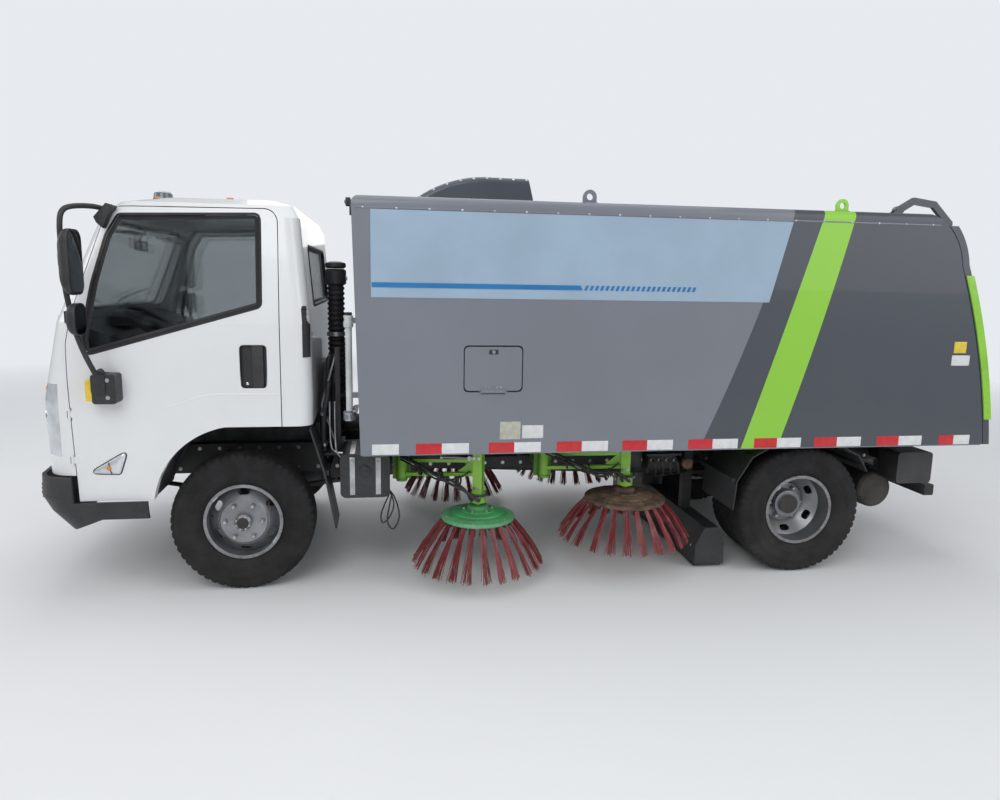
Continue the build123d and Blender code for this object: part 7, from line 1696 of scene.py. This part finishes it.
# Valve blocks between the brushes and the rear wheels, with their pipes
valves = Shape()
for sign in (1, -1):
    def at_side(x, y, z):
        return Vector((x, sign * y, z))

    def side_block(low, high, slot, bevel):
        valves.block(at_side(*low), at_side(*high), slot, bevel)

    side_block((-0.930, 0.384, 0.690), (-0.700, 0.700, 0.702), 0, 0.003)
    side_block((-0.905, 0.560, 0.600), (-0.720, 0.680, 0.692), 1, 0.006)
    for index, x in enumerate(spaced(-0.885, 0.050, 4)):
        valves.rod(at_side(x, 0.620, 0.596), at_side(x, 0.620, 0.560), 0.016, 16)
        valves.turned([(0.0, 0.010), (0.022, 0.010), (0.024, 0.007)], at_side(x, 0.678, 0.662),
                      (0, sign, 0), 6, 2)
        path = ((x, 0.690, 0.662), (x - 0.006, 0.720, 0.655), (x - 0.020, 0.715, 0.610),
                (x - 0.050, 0.650, 0.565 - 0.006 * index), (x - 0.140, 0.560, 0.560),
                (-1.000, 0.430, 0.600 + 0.012 * index))
        valves.tube([at_side(*place) for place in path], 0.008, 8, 3, 5)
    side_block((-0.690, 0.500, 0.600), (-0.600, 0.640, 0.735), 0, 0.010)
    valves.turned([(0.0, 0.030), (0.004, 0.034), (0.040, 0.034), (0.046, 0.024)],
                  at_side(-0.955, 0.700, 0.645), (0, sign, 0), 24, 4)
    valves.rod(at_side(-0.955, 0.400, 0.645), at_side(-0.955, 0.705, 0.645), 0.014, 14)
valves.piece("valve_blocks", (chassis_paint, cast_metal, bare_steel, hose_black, disc_rust), "chassis",
             "chassis_black", 45)


# ---- Nozzle skirts and duct rings, silencer clamps and tail pipe

DUCT_Y = -0.226
DUCT_RADIUS = 0.080
SKIRT_STEPS = 29

nozzle = Shape()
low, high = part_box("suction_nozzle")
nozzle_skin = skin("suction_nozzle")
for x, way in ((low[0], -1), (high[0], 1)):
    points = []
    for step, y in enumerate(spread(-0.83, 0.83, SKIRT_STEPS)):
        wave = 0.003 * math.sin(step * 1.7)
        for height, out in ((0.105, 0.004), (0.060, 0.007), (0.012, 0.009 + wave),
                            (0.012, 0.003 + wave), (0.060, 0.001), (0.105, -0.002)):
            points.append((x - way * (0.012 - out), y, height))
    nozzle.add(points, capped_faces(SKIRT_STEPS, 6))
for y in spaced(-0.78, 0.12, 14):
    hit, normal = touch(nozzle_skin, (high[0] + 0.2, y, 0.130), ASTERN)
    nozzle.bolt(hit, normal, 0.007, 0.005, 1)
for z in spaced(0.40, 0.035, 9):
    place = Vector((-1.5, DUCT_Y, z))
    place.x = touch(nozzle_skin, place, AHEAD)[0].x + DUCT_RADIUS
    nozzle.ring(-0.006, 0.006, DUCT_RADIUS - 0.004, DUCT_RADIUS + 0.004, place, UP, 32)
nozzle.piece("nozzle_skirts", (rubber, bare_steel), "chassis", "black_plastic", 50)

SILENCER_X, SILENCER_Z = -2.295, 0.428
exhaust = Shape()
for y in (0.150, 0.600):
    exhaust.ring(-0.012, 0.012, 0.1205, 0.1245, (SILENCER_X, y, SILENCER_Z), LEFT, 48)
    exhaust.block((-2.303, y - 0.010, 0.545), (-2.287, y + 0.010, 0.575), 0, 0.003)
exhaust.tube([(SILENCER_X, 0.080, SILENCER_Z), (SILENCER_X, 0.030, SILENCER_Z), (-2.320, -0.010, 0.420),
              (-2.400, -0.030, 0.400), (-2.480, -0.035, 0.372)], 0.030, 20, 1, 6)
exhaust.turned([(-0.002, 0.104), (0.003, 0.106), (0.004, 0.098), (0.0025, 0.090), (0.0025, 0.020)],
               (SILENCER_X, 0.684, SILENCER_Z), LEFT, 48, 1)
for c, s in around(10):
    exhaust.turned([(0.0, 0.005), (0.003, 0.004)], (SILENCER_X + 0.101 * c, 0.687, SILENCER_Z + 0.101 * s),
                   LEFT, 8)
exhaust.piece("silencer_fittings", (chassis_paint, hot_steel), "chassis", "silencer_steel", 45)


# ---- Rear: lamps, blank plate, tailgate ribs and lamps

# Heights of the middle of the tail lamps and of the under-run beam
LAMP_Z, BEAM_Z = 0.602, 0.465
GATE_LAMP_Y = 0.88

rear_bumper = skin("rear_bumper")
tail = Shape()
for sign in (1, -1):
    for y, slot in ((sign * 0.725, 0), (sign * 0.781, 1), (sign * 0.837, 0)):
        face_x = touch(rear_bumper, (RAY_ASTERN, y, LAMP_Z), AHEAD)[0].x
        tail.plate(rounded_outline(0.050, 0.120, 0.008), (face_x + 0.001, y, LAMP_Z), LEFT, UP, -0.007, slot)
        for z in spaced(0.560, 0.021, 5):
            tail.block((face_x - 0.0082, y - 0.020, z - 0.003), (face_x - 0.0055, y + 0.020, z + 0.003),
                       slot, 0.001)
    face_x = touch(rear_bumper, (RAY_ASTERN, sign * 0.600, BEAM_Z), AHEAD)[0].x
    for y in spaced(sign * 0.30, sign * 0.18, 3):
        tail.block((face_x - 0.0012, y - 0.075, 0.440), (face_x + 0.0004, y, 0.490), 0, 0.0004)
        tail.block((face_x - 0.0012, y, 0.440), (face_x + 0.0004, y + 0.075, 0.490), 2, 0.0004)
    tail.block((-2.596, sign * 0.8485, 0.436), (-2.530, sign * 0.8530, 0.494), 3, 0.002)
face_x = touch(rear_bumper, (RAY_ASTERN, 0.0, BEAM_Z), AHEAD)[0].x
tail.plate(rounded_outline(0.420, 0.130, 0.010), (face_x - 0.0005, 0.0, BEAM_Z), LEFT, UP, -0.003, 2)
for y in (-0.17, 0.17):
    tail.bolt((face_x - 0.003, y, 0.505), ASTERN, 0.005, 0.003, 4)
tail.piece("tail_lamps_and_plate", (lens_red, lens_amber, marking_white, rubber, bare_steel), "chassis",
           "lamp_lens", 40)

gate = skin("tailgate")
gate_trim = Shape()


def gate_band(y_low, y_high, z_values, lifts, slot=0):
    """Band draped on the tailgate's outer skin, with rows along its height."""
    rows = [[(RAY_ASTERN, y, z) for y in spread(y_low, y_high, len(lifts))] for z in z_values]
    drape(gate_trim, gate, rows, AHEAD, lifts, slot)


for y in (-0.60, -0.20, 0.20, 0.60):
    gate_band(y - 0.020, y + 0.020, spread(1.00, 2.02, 16), (0.0005, 0.010, 0.010, 0.0005))
for z in (0.960, 1.420):
    gate_band(-0.92, 0.92, (z - 0.020, z - 0.014, z + 0.014, z + 0.020), (0.0005, *(0.006,) * 16, 0.0005))
for y in (-GATE_LAMP_Y, GATE_LAMP_Y):
    gate_band(y - 0.045, y + 0.045, spread(1.10, 1.34, 6), (0.001, 0.014, 0.016, 0.014, 0.001), 1)
    for z, slot in ((1.15, 2), (1.22, 3), (1.29, 2)):
        gate_band(y - 0.034, y + 0.034, spread(z - 0.026, z + 0.026, 4), (0.0150, 0.022, 0.0150), slot)
for y in spaced(-0.85, 0.28, 6):
    gate_band(y, y + 0.13, (0.818, 0.868), (0.0012, 0.0012), 2)
    gate_band(y + 0.13, y + 0.26, (0.818, 0.868), (0.0012, 0.0012), 4)
gate_band(-0.150, 0.150, spread(1.08, 1.18, 3), (0.0016, 0.0016), 4)
for y in (-0.985, 0.985):
    for z in (1.00, 1.36, 1.68, 2.00):
        hit, normal = touch(gate, (RAY_ASTERN, y, z), AHEAD)
        gate_trim.turned([(-0.002, 0.013), (0.005, 0.013), (0.008, 0.009)], hit, normal, 16, 5)
gate_trim.piece("tailgate_ribs_and_lamps",
                (slate_paint, black_plastic, marking_red, lens_amber, marking_white, bare_steel),
                "tailgate", "body_grey", 40)


# ---- Floor

FLOOR_HALF = 60
FADE_START, FADE_END = 4.0, 13.0


def make_floor():
    """Plain pale floor under the truck, which turns into the backdrop's colour far away for the camera."""
    shape = Shape()
    shape.block((-FLOOR_HALF, -FLOOR_HALF, -0.05), (FLOOR_HALF, FLOOR_HALF, 0), bevel=0.01)
    finish = Finish("pale_floor", (0.88, 0.885, 0.89), 0.8)
    finish.vary(0.5, 0.985, 1.01).grain(60, 0.05, 0.0006, 4)
    tree = finish.tree
    length = tree.nodes.new("ShaderNodeVectorMath")
    length.operation = "LENGTH"
    tree.links.new(finish.place, length.inputs[0])
    far = rescale(tree, length.outputs["Value"], FADE_START, FADE_END)
    backdrop = tree.nodes.new("ShaderNodeEmission")
    backdrop.inputs["Color"].default_value = BACKDROP
    mask = calculate(tree, "MULTIPLY", far, seen_by_camera(tree))
    blend_surfaces(tree, mask, finish.shader, backdrop, "Material Output")
    floor = shape.piece("studio_floor", finish.done(), None)


make_floor()

bpy.context.scene.view_settings.view_transform = "Standard"
